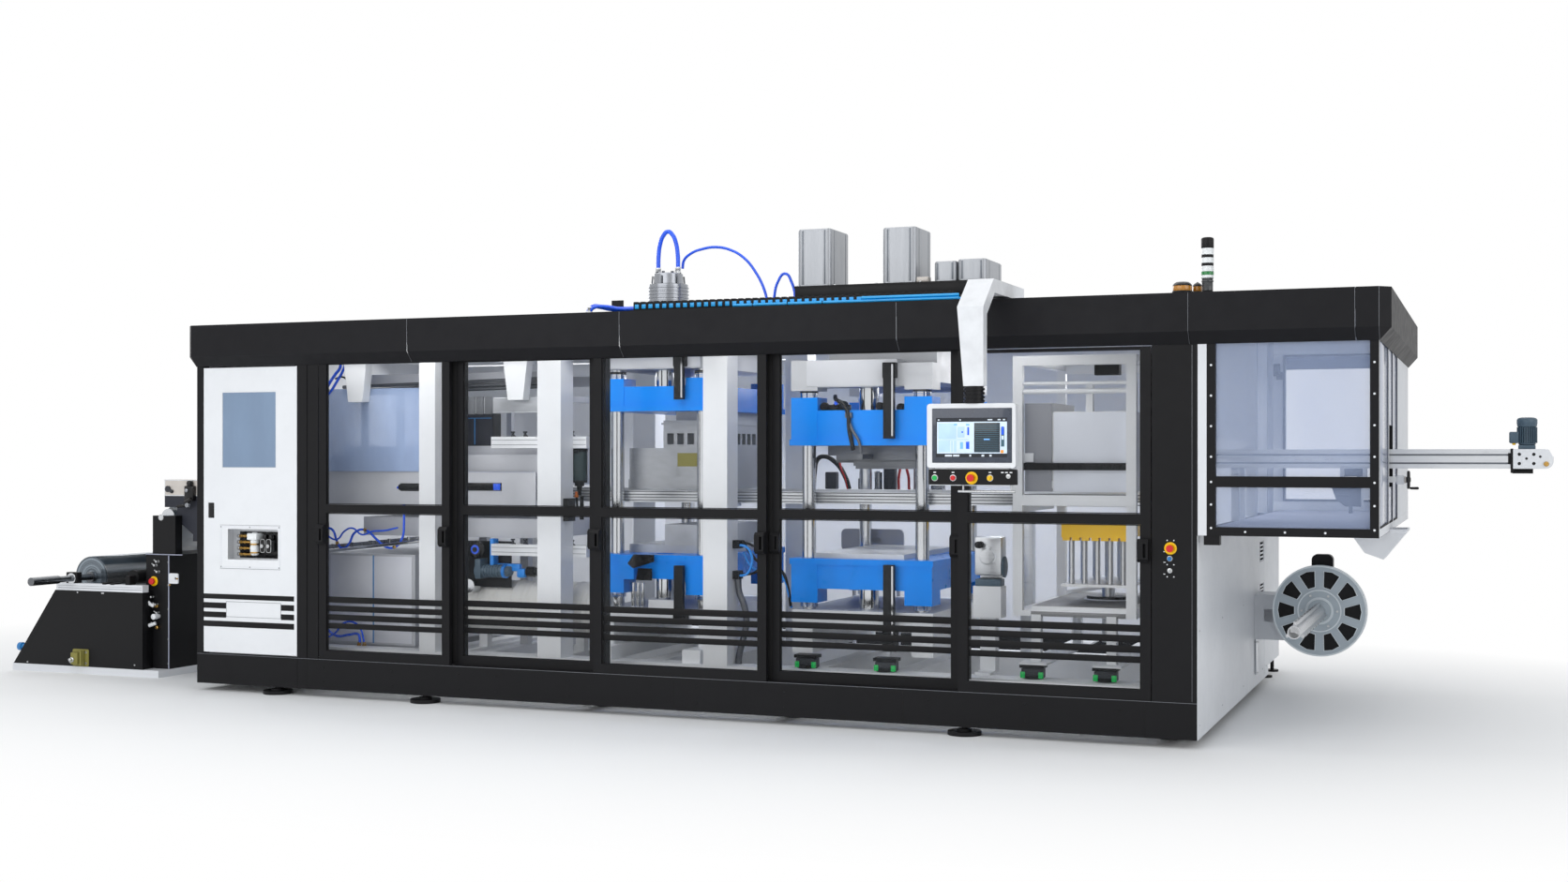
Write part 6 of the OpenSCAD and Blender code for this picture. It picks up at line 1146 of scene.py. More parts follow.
# A ribbed motor that stands on a gear foot, with its terminal box
def conveyorMotor():
    x, y, z = belt["motor"]
    bm = bmesh.new()
    addBox(bm, x - 44, x + 42, y - 46, y + 46, z, z + 28, 4)
    addTurned(bm, spot(x, y, z + 28), toTop, [(0, 38), (4, 44), (8, 44), (10, 42), (96, 42), (100, 48),
                                              (104, 50), (112, 51)], 40)
    for k in range(28):
        a = 2 * math.pi * k / 28
        turn = Matrix.Rotation(a, 3, "Z")
        made = bmesh.ops.create_cube(bm, size=1.0)["verts"]
        bmesh.ops.scale(bm, vec=(0.012, 0.0032, 0.086), verts=made)
        bmesh.ops.translate(bm, vec=(0.0455, 0, 0), verts=made)
        bmesh.ops.rotate(bm, cent=(0, 0, 0), matrix=turn, verts=made)
        bmesh.ops.translate(bm, vec=spot(x, y, z + 82), verts=made)
    addTurned(bm, spot(x, y, z + 140), toTop, [(0, 50), (3, 52), (24, 52), (33, 46), (37, 34), (38, 12)],
              40)
    addBox(bm, x - 88, x - 42, y - 34, y + 34, z + 38, z + 100, 5)
    addBox(bm, x - 90, x - 86, y - 30, y + 30, z + 42, z + 96, 2)
    motor = finishMesh("conveyorMotor", bm, "motor")
    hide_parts("gear_motors")
    gland = bmesh.new()
    addTurned(gland, spot(x - 66, y - 16, z + 38), toFloor, [(0, 10), (4, 10), (6, 8), (10, 8)], 8)
    finishMesh("motorGland", gland, "yellow")
    vents = bmesh.new()
    for k in range(10):
        a = 2 * math.pi * k / 10
        addTurned(vents, spot(x + 24 * math.cos(a), y + 24 * math.sin(a), z + 176.6), toTop,
                  [(0, 4.6), (1.0, 4.6), (1.3, 2)], 8)
    finishMesh("motorVents", vents, "black")
    # Feed motor of bay 2 and the take-off gear's motor
    feed = bmesh.new()
    addTurned(feed, spot(-1432.5, 518, 800), toRight,
              [(0, 44)] + [p for k in range(9) for p in ((12 + k * 20, 44), (13 + k * 20, 40),
                                                         (20 + k * 20, 40), (21 + k * 20, 44))]
              + [(200, 44), (204, 36), (250, 32), (256, 26)], 32)
    addBox(feed, -1426.5, -1382.5, 474, 570, 750, 878, 6)
    addBox(feed, -1312.5, -1262.5, 540, 570, 780, 820, 3)
    finishMesh("feedMotor", feed, "motor")
    ringMade = bmesh.new()
    addTurned(ringMade, spot(-1232.5, 518, 800), toRight,
              [(0, 45.5), (3, 45.5), (4, 43), (16, 43), (17, 45.5), (20, 45.5)], 32)
    finishMesh("feedMotorBand", ringMade, "skyHose")
    gear = bmesh.new()
    addBox(gear, 1901.5, 2051.5, 530, 630, 789, 830, 4)
    addTurned(gear, spot(2059.5, 580, 900), toRight, [(0, 58), (2, 62), (8, 62), (10, 56)], 36)
    finishMesh("takeOffGear", gear, "motor")


def crankWheel():
    x, y, z = 4253.5, 919, 1412
    bm = bmesh.new()
    sides, rings = 60, 12
    loops = []
    for i in range(sides):
        a = 2 * math.pi * i / sides
        reach = 47.5 + 2.6 * math.cos(6 * a)
        loop = []
        for k in range(rings):
            t = 2 * math.pi * k / rings
            r = reach + 5.0 * math.cos(t)
            loop.append(bm.verts.new(spot(x + 8 + 7.0 * math.sin(t), y + r * math.cos(a),
                                          z + r * math.sin(a))))
        loops.append(loop)
    for i in range(sides):
        for k in range(rings):
            a, b = loops[i], loops[(i + 1) % sides]
            bm.faces.new((a[k], a[(k + 1) % rings], b[(k + 1) % rings], b[k]))
    addTurned(bm, spot(x - 50, y, z), toRight, [(0, 8), (38, 8), (40, 16), (66, 16), (68, 13), (70, 8)],
              24)
    for k in range(3):
        a = math.radians(90 + 120 * k)
        addRod(bm, spot(x + 6, y + 12 * math.cos(a), z + 12 * math.sin(a)),
               spot(x + 8, y + 46 * math.cos(a), z + 46 * math.sin(a)), 5, 12)
    addTurned(bm, spot(x + 14, y, z - 46), toRight, [(0, 5), (4, 5), (6, 7), (40, 7.8), (46, 6), (48, 3)],
              20)
    wheel = finishMesh("crankHandwheel", bm, "blackGloss", "crank_wheel")
    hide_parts("handwheel")
    collar = bmesh.new()
    addTurned(collar, spot(4240.5, y, z), toRight, [(0, 17), (2, 19), (6, 19), (8, 17)], 28)
    finishMesh("wheelCollar", collar, "beige")
    arm = [(4109.5, 4239.5, 903, 935, 1398, 1430), (4109.5, 4145.5, 903, 935, 1428, 1475),
           (4200.5, 4239.8, 899, 939, 1388, 1436)]
    boxes("wheelArm", [(a - 0.4, b + 0.2, c - 0.6, d + 0.6, e - 0.6, f + 0.4) for a, b, c, d, e,
                       f in arm],
          "white", "machine", 3)


reel = {
    "middle": (3672.5, 566), "disc": 2200, "windows": 10,
}


def circle(u, v, r, sides):
    return [(u + r * math.cos(2 * math.pi * k / sides), v + r * math.sin(2 * math.pi * k / sides))
            for k in range(sides)]


def scrapReel():
    x, z = reel["middle"]
    y = reel["disc"]
    step = 360 / reel["windows"]
    shapes = []
    for i in range(reel["windows"]):
        a = (i + 0.5) * step
        half = step / 2
        shapes.append([(r, math.radians(b)) for r, b in (
            (149, a - half * 0.52), (253, a - half * 0.68), (258, a), (253, a + half * 0.68),
            (149, a + half * 0.52))])
    rims = bmesh.new()
    for shape in shapes:
        outline = [(x + r * math.sin(b), z + r * math.cos(b)) for r, b in shape]
        middleU = sum(p[0] for p in outline) / len(outline)
        middleV = sum(p[1] for p in outline) / len(outline)
        inner = [(middleU + (u - middleU) * 0.9, middleV + (v - middleV) * 0.95) for u, v in outline]
        addPlate(rims, outline, [inner], y - 2.4, y + 3)
    finishMesh("reelWindowRims", rims, "reelPale", "winder")
    back = bmesh.new()
    addPlate(back, circle(x, z, 281, 60), [circle(x, z, 74, 30)], y + 11, y + 14)
    finishMesh("reelBack", back, "black", "winder")
    edge = bmesh.new()
    addPlate(edge, circle(x, z, 287, 96), [circle(x, z, 277, 96)], y - 2.4, y)
    addPlate(edge, circle(x, z, 134, 60), [circle(x, z, 126, 60)], y - 2.2, y)
    addPlate(edge, circle(x, z, 86, 48), [circle(x, z, 71, 48)], y - 3.6, y)
    finishMesh("reelEdge", edge, "reelPale", "winder")
    bolts = [(x + 108 * math.cos(math.radians(60 * k)), y - 2.4,
              z + 108 * math.sin(math.radians(60 * k))) for k in range(6)]
    screws("reelBolts", bolts, toFront, 8, 6, "screw", "winder")
    cap = bmesh.new()
    addTurned(cap, spot(x, 700.6, z), toFront, [(0, 35.4), (0.5, 35.4), (0.6, 30)], 32)
    finishMesh("shaftCap", cap, "white", "winder")
    keys = bmesh.new()
    for a in (90, 210, 330):
        c, s = math.cos(math.radians(a)), math.sin(math.radians(a))
        for k in range(8):
            place = spot(x + 56.4 * c, 800 + k * 160, z + 56.4 * s)
            addTurned(keys, place, (c, 0, s), [(0, 6), (1.2, 6), (1.6, 3)], 10)
    finishMesh("shaftKeyScrews", keys, "black", "winder")
    boxes("winderCap", [(3640, 3705, 2402, 2478, 862, 911)], "black", "machine", 12)


backWall = {"seams": (-1064.5, 1064.5), "edges": (-3193.5, 3193.5), "outside": 3080, "low": 240,
            "high": 2337, "pitch": 380}


# Seals in the seams of the back wall, the roof and the left end, with their screws
def backWallTrim():
    y, low, high = backWall["outside"], backWall["low"], backWall["high"]
    seams = [(x - 1.6, x + 1.6, y - 3, y - 0.2, low, high) for x in backWall["seams"]]
    seams += [(x - 1.5, x + 1.5, 300, y - 150, 2396.6, 2397.8) for x in (-2150, -1064.5, 2050)]
    seams += [(-3254.1, -3252.9, 1792, 1795, low, high)]
    boxes("wallSeams", seams, "seal", "machine", 0.2)
    columns = [x + side for x in backWall["seams"] for side in (-24, 24)] + [backWall["edges"][0] + 24,
            backWall["edges"][1] - 24]
    rows = int((high - low - 80) / backWall["pitch"]) + 1
    places = [(x, y - 0.2, low + 60 + row * backWall["pitch"]) for x in columns for row in range(rows)]
    screws("backWallScrews", places, toRear, 7, 2.6, "screw")
    ends = [(-3253.3, u, low + 60 + row * backWall["pitch"]) for u in (1768, 1820, 2990)
            for row in range(rows)]
    screws("leftEndScrews", ends, toLeft, 7, 2.6, "screw")


def sidePanelTrim():
    x = 3256.8
    places = [(x, y, z) for y in (60, 900, 1800, 2760, 2960) for z in (120, 620, 1090)]
    screws("sidePanelScrews", places, toRight, 5, 2.4, "screw")
    frames = []
    for z0, z1 in ((842, 975), (587, 695)):
        frames += [(x - 0.4, x + 1.2, 2625, 2629, z0, z1), (x - 0.4, x + 1.2, 2829, 2833, z0, z1),
                   (x - 0.4, x + 1.2, 2629, 2829, z0, z0 + 4), (x - 0.4, x + 1.2, 2629, 2829, z1 - 4, z1)]
    boxes("ventFrames", frames, "seamEdge", "machine", 0.4)
    boxes("latchBrackets", [(x, x + 24, 2338, 2362, 140, 150), (x, x + 24, 2338, 2362, 336, 346)],
          "screw", "machine", 1.5)


cabinTrim()
conveyorTrim()
conveyorMotor()
crankWheel()
scrapReel()
sidePanelTrim()
backWallTrim()
print("discharge end dressed")


# Unwinder and film inlet at the left end
unwinder = {
    "fittings": ((-4012, 802), (-4030, 775), (-4008, 730), (-4061, 552), (-4022, 500), (-4012, 442),
                 (-4037, 363)),
    "sideScrews": ((-4640, 575), (-4420, 575), (-4408, 575), (-4130, 80), (-4700, 70), (-5100, 62)),
    "stripX": -3918,
    "valve": (-4681, -4537, 53, 174),
}


def unwinderTrim():
    x = unwinder["stripX"]
    boxes("towerReturn", [(-4122, -4063, 407, 506, 52, 586)], "black", "machine", 3)
    boxes("towerStrips", [(x - 6, x, 499, 507, 52, 846), (-4120, -3800, 497.5, 501, 849, 855)],
          "paleShade", "machine", 1)
    boxes("bearingCaps", [(-4749, -4650, 404, 452, 634, 716), (-4420, -4380, 399, 470, 634, 652),
                          (-4350, -4310, 399, 470, 634, 648)],
          "black", "machine", 4)
    bearing = bmesh.new()
    addTurned(bearing, spot(-4699.5, 404, 672), toFront, [(0, 38), (4, 38), (6, 34), (6, 30.5)], 32)
    finishMesh("bearingRing", bearing, "chrome")
    boxes("topRailGroove", [(-4820, -4070, 399, 401, 604, 607), (-4820, -4070, 399, 401, 620, 622)],
          "seamEdge", "machine", 0.6)
    screws("sidePlateScrews", [(sx, 399.8, sz) for sx, sz in unwinder["sideScrews"]], toFront, 6, 3,
           "screw")
    screws("towerScrews", [(x - 3, 499, z) for z in (90, 260, 470, 640, 800)], toFront, 5, 3, "screw")
    bm = bmesh.new()
    for fx, fz in unwinder["fittings"]:
        addTurned(bm, spot(fx, 507, fz), toFront,
                  [(0, 9), (5, 9), (6, 6), (16, 6), (18, 9), (30, 9), (33, 5)], 6)
        addRod(bm, spot(fx, 482, fz), spot(fx - 16, 474, fz + 14), 4, 8)
    finishMesh("towerFittings", bm, "screw")
    bm = bmesh.new()
    addRod(bm, spot(-4050, 470, 502), spot(-4112, 458, 566), 9, 14)
    addRod(bm, spot(-4062, 468, 506), spot(-4030, 478, 490), 12, 14)
    addTurned(bm, spot(-4010, 506, 418), toFront, [(0, 15), (18, 15), (22, 20), (58, 20), (62, 12)], 20)
    addRod(bm, spot(-4060, 462, 354), spot(-4012, 478, 372), 13, 14)
    finishMesh("towerValves", bm, "white")
    bm = bmesh.new()
    addTurned(bm, spot(-4022, 506, 488), toFront, [(0, 12), (14, 12), (16, 8), (24, 8)], 6)
    addTurned(bm, spot(-4016, 506, 340), toFront, [(0, 14), (20, 14), (24, 9)], 6)
    finishMesh("towerBrass", bm, "brass")
    bm = bmesh.new()
    addTurned(bm, spot(-4053.5, 506.5, 663), toFront, [(0, 34), (4, 34), (6, 31), (9, 30), (9.5, 24)], 32)
    finishMesh("unwinderStopBody", bm, "yellow")
    bm = bmesh.new()
    addTurned(bm, spot(-4053.5, 490.6, 663), toFront, [(0, 15), (2, 22), (10, 24), (16, 21), (19, 12)],
              32)
    finishMesh("unwinderStopCap", bm, "red", "unwinder_stop_button")
    # Bracket with a valve on the side plate, and the blue knob at the far end
    x0, x1, z0, z1 = unwinder["valve"]
    bm = bmesh.new()
    addPlate(bm, roundedRect(x0, x1, z0, z1, 12), [(x1 - 22, z0 + 22, 7), (x1 - 22, z1 - 22, 7)], 395,
             399.6)
    addBox(bm, x0 + 24, x0 + 86, 345, 396, z0 + 16, z1 - 20, 8)
    addBox(bm, x0 + 100, x0 + 112, 352, 396, z0 + 6, z1 - 6, 3)
    finishMesh("valveBracket", bm, "olive")
    bm = bmesh.new()
    addTurned(bm, spot(x0 + 44, 345, z0 + 50), toFront, [(0, 18), (8, 18), (12, 12), (26, 12), (30, 6)],
              16)
    addTurned(bm, spot(x0 + 20, 380, z0 + 30), toLeft, [(0, 12), (16, 12), (18, 8), (30, 8)], 12)
    for sx, sz in ((x1 - 22, z0 + 22), (x1 - 22, z1 - 22)):
        addTurned(bm, spot(sx, 395, sz), toFront, [(0, 10), (6, 10), (7, 6)], 6)
    finishMesh("valveSpindle", bm, "screw")
    bm = bmesh.new()
    addTurned(bm, spot(-5150, 430, 168), toLeft, [(0, 18), (20, 18), (24, 30), (52, 30), (60, 18)], 24)
    finishMesh("siltKnob", bm, "blueKnob")
    bm = bmesh.new()
    addPlate(bm, roundedRect(-3916, -3836, 650, 722, 10), [(-3858, 686, 9)], 497, 506)
    finishMesh("sideBracket", bm, "white")
    screws("bracketPins", [(-3840, 497, 686), (-3905, 497, 640)], toFront, 6, 9, "brass")


def inletTrim():
    bm = bmesh.new()
    addBox(bm, -3822, -3744, 540, 579.5, 1228, 1334, 8)
    addTurned(bm, spot(-3786, 560, 1334), toTop, [(0, 20), (20, 24), (34, 18), (38, 8)], 20)
    addRod(bm, spot(-3868, 528, 1190), spot(-3778, 528, 1198), 10, 14)
    addRod(bm, spot(-3800, 528, 1216), spot(-3752, 528, 1240), 14, 14)
    finishMesh("inletClamp", bm, "blackGloss")
    bm = bmesh.new()
    addTurned(bm, spot(-3778, 540, 1200), toFront, [(0, 19), (10, 19), (14, 16), (22, 16), (24, 9)], 24)
    addTurned(bm, spot(-3796, 540, 1302), toFront, [(0, 13), (8, 13), (12, 6)], 16)
    finishMesh("inletClampRing", bm, "cylinderSteel")
    boxes("inletEdges", [(-4023, -3256, 577.5, 580, 1262, 1268), (-4023, -3256, 577.5, 580, 1370, 1376),
                         (-4023, -4018, 577.5, 580, 1262, 1376)],
          "white", "machine", 0.8)
    bm = bmesh.new()
    addRod(bm, spot(-3990, 579, 1310), spot(-3990, 566, 1310), 22, 20)
    addRod(bm, spot(-3990, 572, 1310), spot(-3946, 568, 1290), 12, 14)
    finishMesh("inletGuideEnd", bm, "darkGrey")
    bm = bmesh.new()
    addRod(bm, spot(-3723.5, 584, 938), spot(-3723.5, 1516, 938), 14, 24)
    finishMesh("idlerSleeve", bm, "skyHose")
    bm = bmesh.new()
    for y0, y1 in ((507, 556), (1544, 1593)):
        addTurned(bm, spot(-3992.5, y0 - 0.4, 1112), toFront, [(0, 22), (1.4, 22), (2, 18)], 24)
    finishMesh("rollerNuts", bm, "screw")


unwinderTrim()
inletTrim()
print("unwinder dressed")


# What is seen inside through the doors, bay by bay
bayHoses = {
    "waveHose": (8, "royalHose", [(-2601, 500, 1060), (-2585, 500, 1060), (-2545, 500, 1046),
                                  (-2509, 500, 970), (-2469, 500, 925),
                                  (-2419, 500, 950), (-2369, 500, 1030), (-2289, 500, 1052),
                                  (-2189, 500, 985), (-2119, 500, 940),
                                  (-2049, 500, 942), (-1994, 499, 1000), (-1979, 497, 1090),
                                  (-1979, 496, 1190), (-1979, 496, 1222)]),
    "waveHose2": (6, "royalHose", [(-2601, 488, 1040), (-2560, 486, 1000), (-2500, 486, 985),
                                   (-2440, 486, 1040), (-2380, 486, 1062),
                                   (-2300, 486, 1020), (-2220, 486, 1042), (-2120, 486, 1050),
                                   (-2020, 486, 1070)]),
    "topHose": (10, "royalHose", [(-2429, 430, 2190), (-2430, 430, 2160), (-2441, 438, 2130),
                                  (-2489, 455, 2090), (-2569, 480, 2010),
                                  (-2629, 496, 1900), (-2643, 500, 1700), (-2643, 500, 1400),
                                  (-2643, 500, 1100)]),
    "topHose2": (9, "royalHose", [(-2399, 440, 2190), (-2404, 440, 2150), (-2429, 445, 2100),
                                  (-2489, 460, 2030), (-2569, 478, 1930),
                                  (-2599, 480, 1850)]),
    "topHoseDark": (6, "black", [(-2500, 470, 2060), (-2440, 470, 2070), (-2400, 470, 2040),
                                 (-2350, 470, 1960), (-2330, 470, 1900)]),
    "lowHose": (9, "royalHose", [(-2643, 500, 880), (-2643, 500, 700), (-2639, 498, 500),
                                 (-2599, 494, 400), (-2509, 488, 340),
                                 (-2399, 480, 350), (-2319, 460, 360), (-2287, 440, 340),
                                 (-2287, 436, 286)]),
    "lowHose2": (7, "royalHose", [(-2560, 480, 330), (-2500, 470, 360), (-2440, 460, 420),
                                  (-2360, 455, 440), (-2290, 450, 400), (-2260, 445, 330),
                                  (-2250, 440, 286)]),
    "loopA": (8, "black", [(472, 430, 1018), (491, 430, 1018), (535, 430, 1006), (581, 432, 970),
                           (601, 434, 915), (571, 432, 850),
                           (521, 430, 830), (491, 430, 828), (472, 430, 828)]),
    "loopB": (8, "skyHose", [(472, 400, 1004), (485, 400, 1004), (519, 400, 992), (547, 400, 950),
                             (549, 400, 890), (521, 400, 836),
                             (485, 400, 822), (472, 400, 822)]),
    "loopC": (9, "black", [(474, 440, 1030), (520, 445, 960), (580, 450, 900), (650, 455, 880),
                           (720, 460, 850), (756, 472, 750), (766, 490, 640)]),
    "loopD": (8, "skyHose", [(474, 452, 960), (520, 455, 880), (590, 460, 840), (670, 462, 850),
                             (734, 466, 800), (758, 474, 720), (768, 500, 630)]),
    "ribbedDrop": (20, "darkTool", [(455.5, 415, 799), (455.5, 415, 770), (461, 416, 720),
                                    (491, 420, 640), (505, 423, 550), (485, 422, 440),
                                    (461, 420, 350), (455.5, 420, 315), (455.5, 420, 286)]),
    "redDrop": (7, "redHose", [(651, 1690, 1655), (643, 1690, 1560), (647, 1690, 1478), (682, 1690, 1396),
                               (700, 1690, 1322)]),
    "redLoop": (9, "redHose", [(1052, 1700, 1322), (1058, 1700, 1437), (1082, 1700, 1488),
                               (1113, 1700, 1437), (1124, 1700, 1322)]),
    "archHose": (16, "black", [(452, 1700, 1322), (460, 1700, 1437), (480, 1700, 1519), (520, 1700, 1540),
                               (610, 1700, 1499),
                               (682, 1700, 1396), (706, 1700, 1322)]),
    "rearLoop": (10, "black", [(856, 1690, 1910), (836, 1680, 1807), (897, 1670, 1704), (980, 1670, 1766),
                               (1021, 1680, 1910)]),
}


def insideHoses():
    for name, (r, finish, points) in bayHoses.items():
        hose(name, points, r, finish)
    ends = bmesh.new()
    for x, y, z in ((-2429, 430, 2188), (-2399, 440, 2188), (-2287, 436, 287), (-2250, 440, 287)):
        addTurned(ends, spot(x, y, z), toFloor if z > 2000 else toTop,
                  [(0, 16), (8, 16), (9, 12), (22, 12), (24, 10)], 6)
    for x, y, z in ((-2280, 494, 1052), (-2500, 492, 960), (-2049, 492, 942)):
        addTurned(ends, spot(x, y, z), toFront, [(0, 12), (8, 12), (10, 6)], 10)
    finishMesh("hoseEnds", ends, "brass")


bayOne = {"sheet": (-2610, -1740, 1442, 1990)}


def heatingBays():
    x0, x1, z0, z1 = bayOne["sheet"]
    boxes("tintedSheet", [(x0, x1, 468, 472, z0, z1)], "blueSheet", "machine", 1)
    boxes("sheetPosts", [(-2300, -2240, 474, 480, z0, z1), (-2020, -1960, 474, 480, z0, z1)],
          "windowPane", "machine", 1)
    # Slots in the ovens' cover: black rollers behind them, blue at their ends
    slots = [(-2002, -1733, 488.8, 489.9, 1313, 1363), (-1572, -1235, 488.8, 489.9, 1319, 1369)]
    boxes("coverSlots", slots, "blackGloss", "machine", 0.4)
    bm = bmesh.new()
    addRod(bm, spot(-2004, 484, 1338), spot(-1735, 484, 1338), 20, 20)
    addBox(bm, -1560, -1290, 476, 488, 1330, 1356, 5)
    for k in range(7):
        addBox(bm, -1545 + k * 38, -1525 + k * 38, 472, 478, 1334, 1352, 2)
    finishMesh("slotRollers", bm, "black")
    bm = bmesh.new()
    addRod(bm, spot(-2022, 484, 1335), spot(-2004, 484, 1335), 8, 12)
    addBox(bm, -1290, -1240, 476, 488, 1323, 1366, 10)
    finishMesh("slotEnds", bm, "royalHose")
    edges = [(-2604, -995, 487.6, 489.9, 1438, 1442), (-2604, -995, 487.6, 489.9, 1223, 1226)]
    boxes("coverEdges", edges, "paleShade", "machine", 0.6)
    # Chrome bar and clips under the cover, in front of the generator
    bm = bmesh.new()
    addRod(bm, spot(-2600, 512, 930), spot(-1750, 512, 1012), 14, 20)
    for k in range(6):
        addBox(bm, -2560 + k * 150, -2536 + k * 150, 496, 516, 920 + k * 14.5, 952 + k * 14.5, 4)
    finishMesh("hoseRail", bm, "cylinderSteel")
    boxes("generatorDoor", [(-2590, -2250, 538.6, 541.6, 300, 875),
                            (-2244, -1945, 538.6, 541.6, 300, 875)],
          "midGrey", "machine", 2)
    boxes("generatorTrim", [(-2252, -2242, 537.4, 541.6, 296, 880)], "blueKnob", "machine", 1)
    # Beam with clamps over the ovens
    clamps = [(-1470 + k * 66, -1412 + k * 66, 452, 462, 1812, 1926) for k in range(3)]
    boxes("beamSkin", [(-1700, -870, 456.5, 459.5, 1826, 1915)], "toolGrey", "machine", 1.5)
    boxes("beamClamps", clamps, "darkTool", "machine", 3)
    bm = bmesh.new()
    for z in (1960, 1984, 2010):
        addRod(bm, spot(-2560, 640, z), spot(-900, 640, z + 36), 12, 14)
    finishMesh("overheadRails", bm, "darkTool")
    # Control box
    box = [(-1670, -1404, 657, 665.4, 1614, 1818)]
    boxes("controlBoxDoor", box, "slate", "machine", 4)
    boxes("controlBoxLines", [(-1664, -1410, 655.6, 657.2, 1790, 1794),
                              (-1540, -1534, 655.6, 657.2, 1620, 1790)],
          "blueKnob", "machine", 0.5)


def ductFolds():
    bm = bmesh.new()
    x0, x1, y, z, r = -1590, -551, 720, 560, 165
    profile = [(0, r)]
    count = 26
    for k in range(count):
        d = (x1 - x0) * (k + 0.5) / count
        profile += [(d - 12, r + 0.6), (d - 5, r + 4 + 3 * math.sin(k * 2.3)),
                    (d + 5, r + 5 + 3 * math.sin(k * 2.3)), (d + 13, r + 0.6)]
    profile.append((x1 - x0, r))
    addTurned(bm, spot(x0, y, z), toRight, profile, 40)
    finishMesh("ductFolds", bm, "duct", "machine", 60)
    bands = bmesh.new()
    for x in (x0 + 20, x1 - 30):
        addTurned(bands, spot(x, y, z), toRight, [(0, r + 9), (14, r + 9)], 40)
    finishMesh("ductBands", bands, "screw")


def swingArms():
    bm = bmesh.new()
    for z in (1667, 978):
        for x in (-1150, -1060, -720):
            addTurned(bm, spot(x, 488, z), toTop,
                      [(0, 12), (8, 12), (10, 8), (22, 8), (26, 14), (34, 14)], 12)
            addRod(bm, spot(x, 476, z + 18), spot(x + 30, 470, z + 2), 4, 8)
    finishMesh("armFittings", bm, "darkGrey")
    seams = []
    for z0 in (1594, 905):
        seams += [(-1290, -608, 458.4, 460, z0 + 50, z0 + 53),
                  (-1290, -608, 458.4, 460, z0 + 20, z0 + 23)]
    boxes("armSeams", seams, "seamEdge", "machine", 0.4)
    # Filter bowl with its hose and copper fitting
    x, y = -688.5, 526
    bowl = bmesh.new()
    addTurned(bowl, spot(x, y, 1372), toTop, [(0, 30), (6, 44), (20, 51.5), (196, 51.5), (210, 48)], 36)
    finishMesh("filterBowl", bowl, "filterGlass")
    bm = bmesh.new()
    addTurned(bm, spot(x, y, 1570), toTop, [(0, 53), (18, 53), (20, 40)], 36)
    addTurned(bm, spot(x, y, 1352), toFloor, [(0, 18), (26, 16), (28, 12), (60, 12)], 20)
    addRod(bm, spot(x + 20, y - 6, 1290), spot(x + 20, y - 6, 1140), 13, 14)
    addRod(bm, spot(x - 18, y - 6, 1300), spot(x - 10, y - 6, 1180), 8, 12)
    finishMesh("filterHead", bm, "black")
    bm = bmesh.new()
    addTurned(bm, spot(x - 6, y - 30, 1318), toFloor, [(0, 9), (20, 9), (22, 13), (36, 13)], 6)
    finishMesh("filterFitting", bm, "orange")
    # Blue bracket and wheel of the feed drive
    bm = bmesh.new()
    addBox(bm, -1330, -1300, 500, 566, 830, 1010, 6)
    addBox(bm, -1300, -1120, 520, 560, 800, 850, 10)
    addBox(bm, -1140, -1080, 512, 566, 760, 820, 12)
    finishMesh("feedBracket", bm, "skyHose")
    bm = bmesh.new()
    addTurned(bm, spot(-1426.5, 506, 938), toFront,
              [(0, 58), (10, 58), (16, 46), (24, 40), (26, 16), (34, 16)], 36)
    addTurned(bm, spot(-1080, 540, 800), toRight,
              [(0, 20), (10, 34), (60, 34), (66, 26), (84, 26), (88, 34), (110, 34)], 24)
    finishMesh("feedWheel", bm, "blackGloss")
    bm = bmesh.new()
    addTurned(bm, spot(-1426.5, 479.6, 938), toFront, [(0, 30), (2, 30), (3, 24)], 30)
    finishMesh("feedWheelFace", bm, "royalHose")


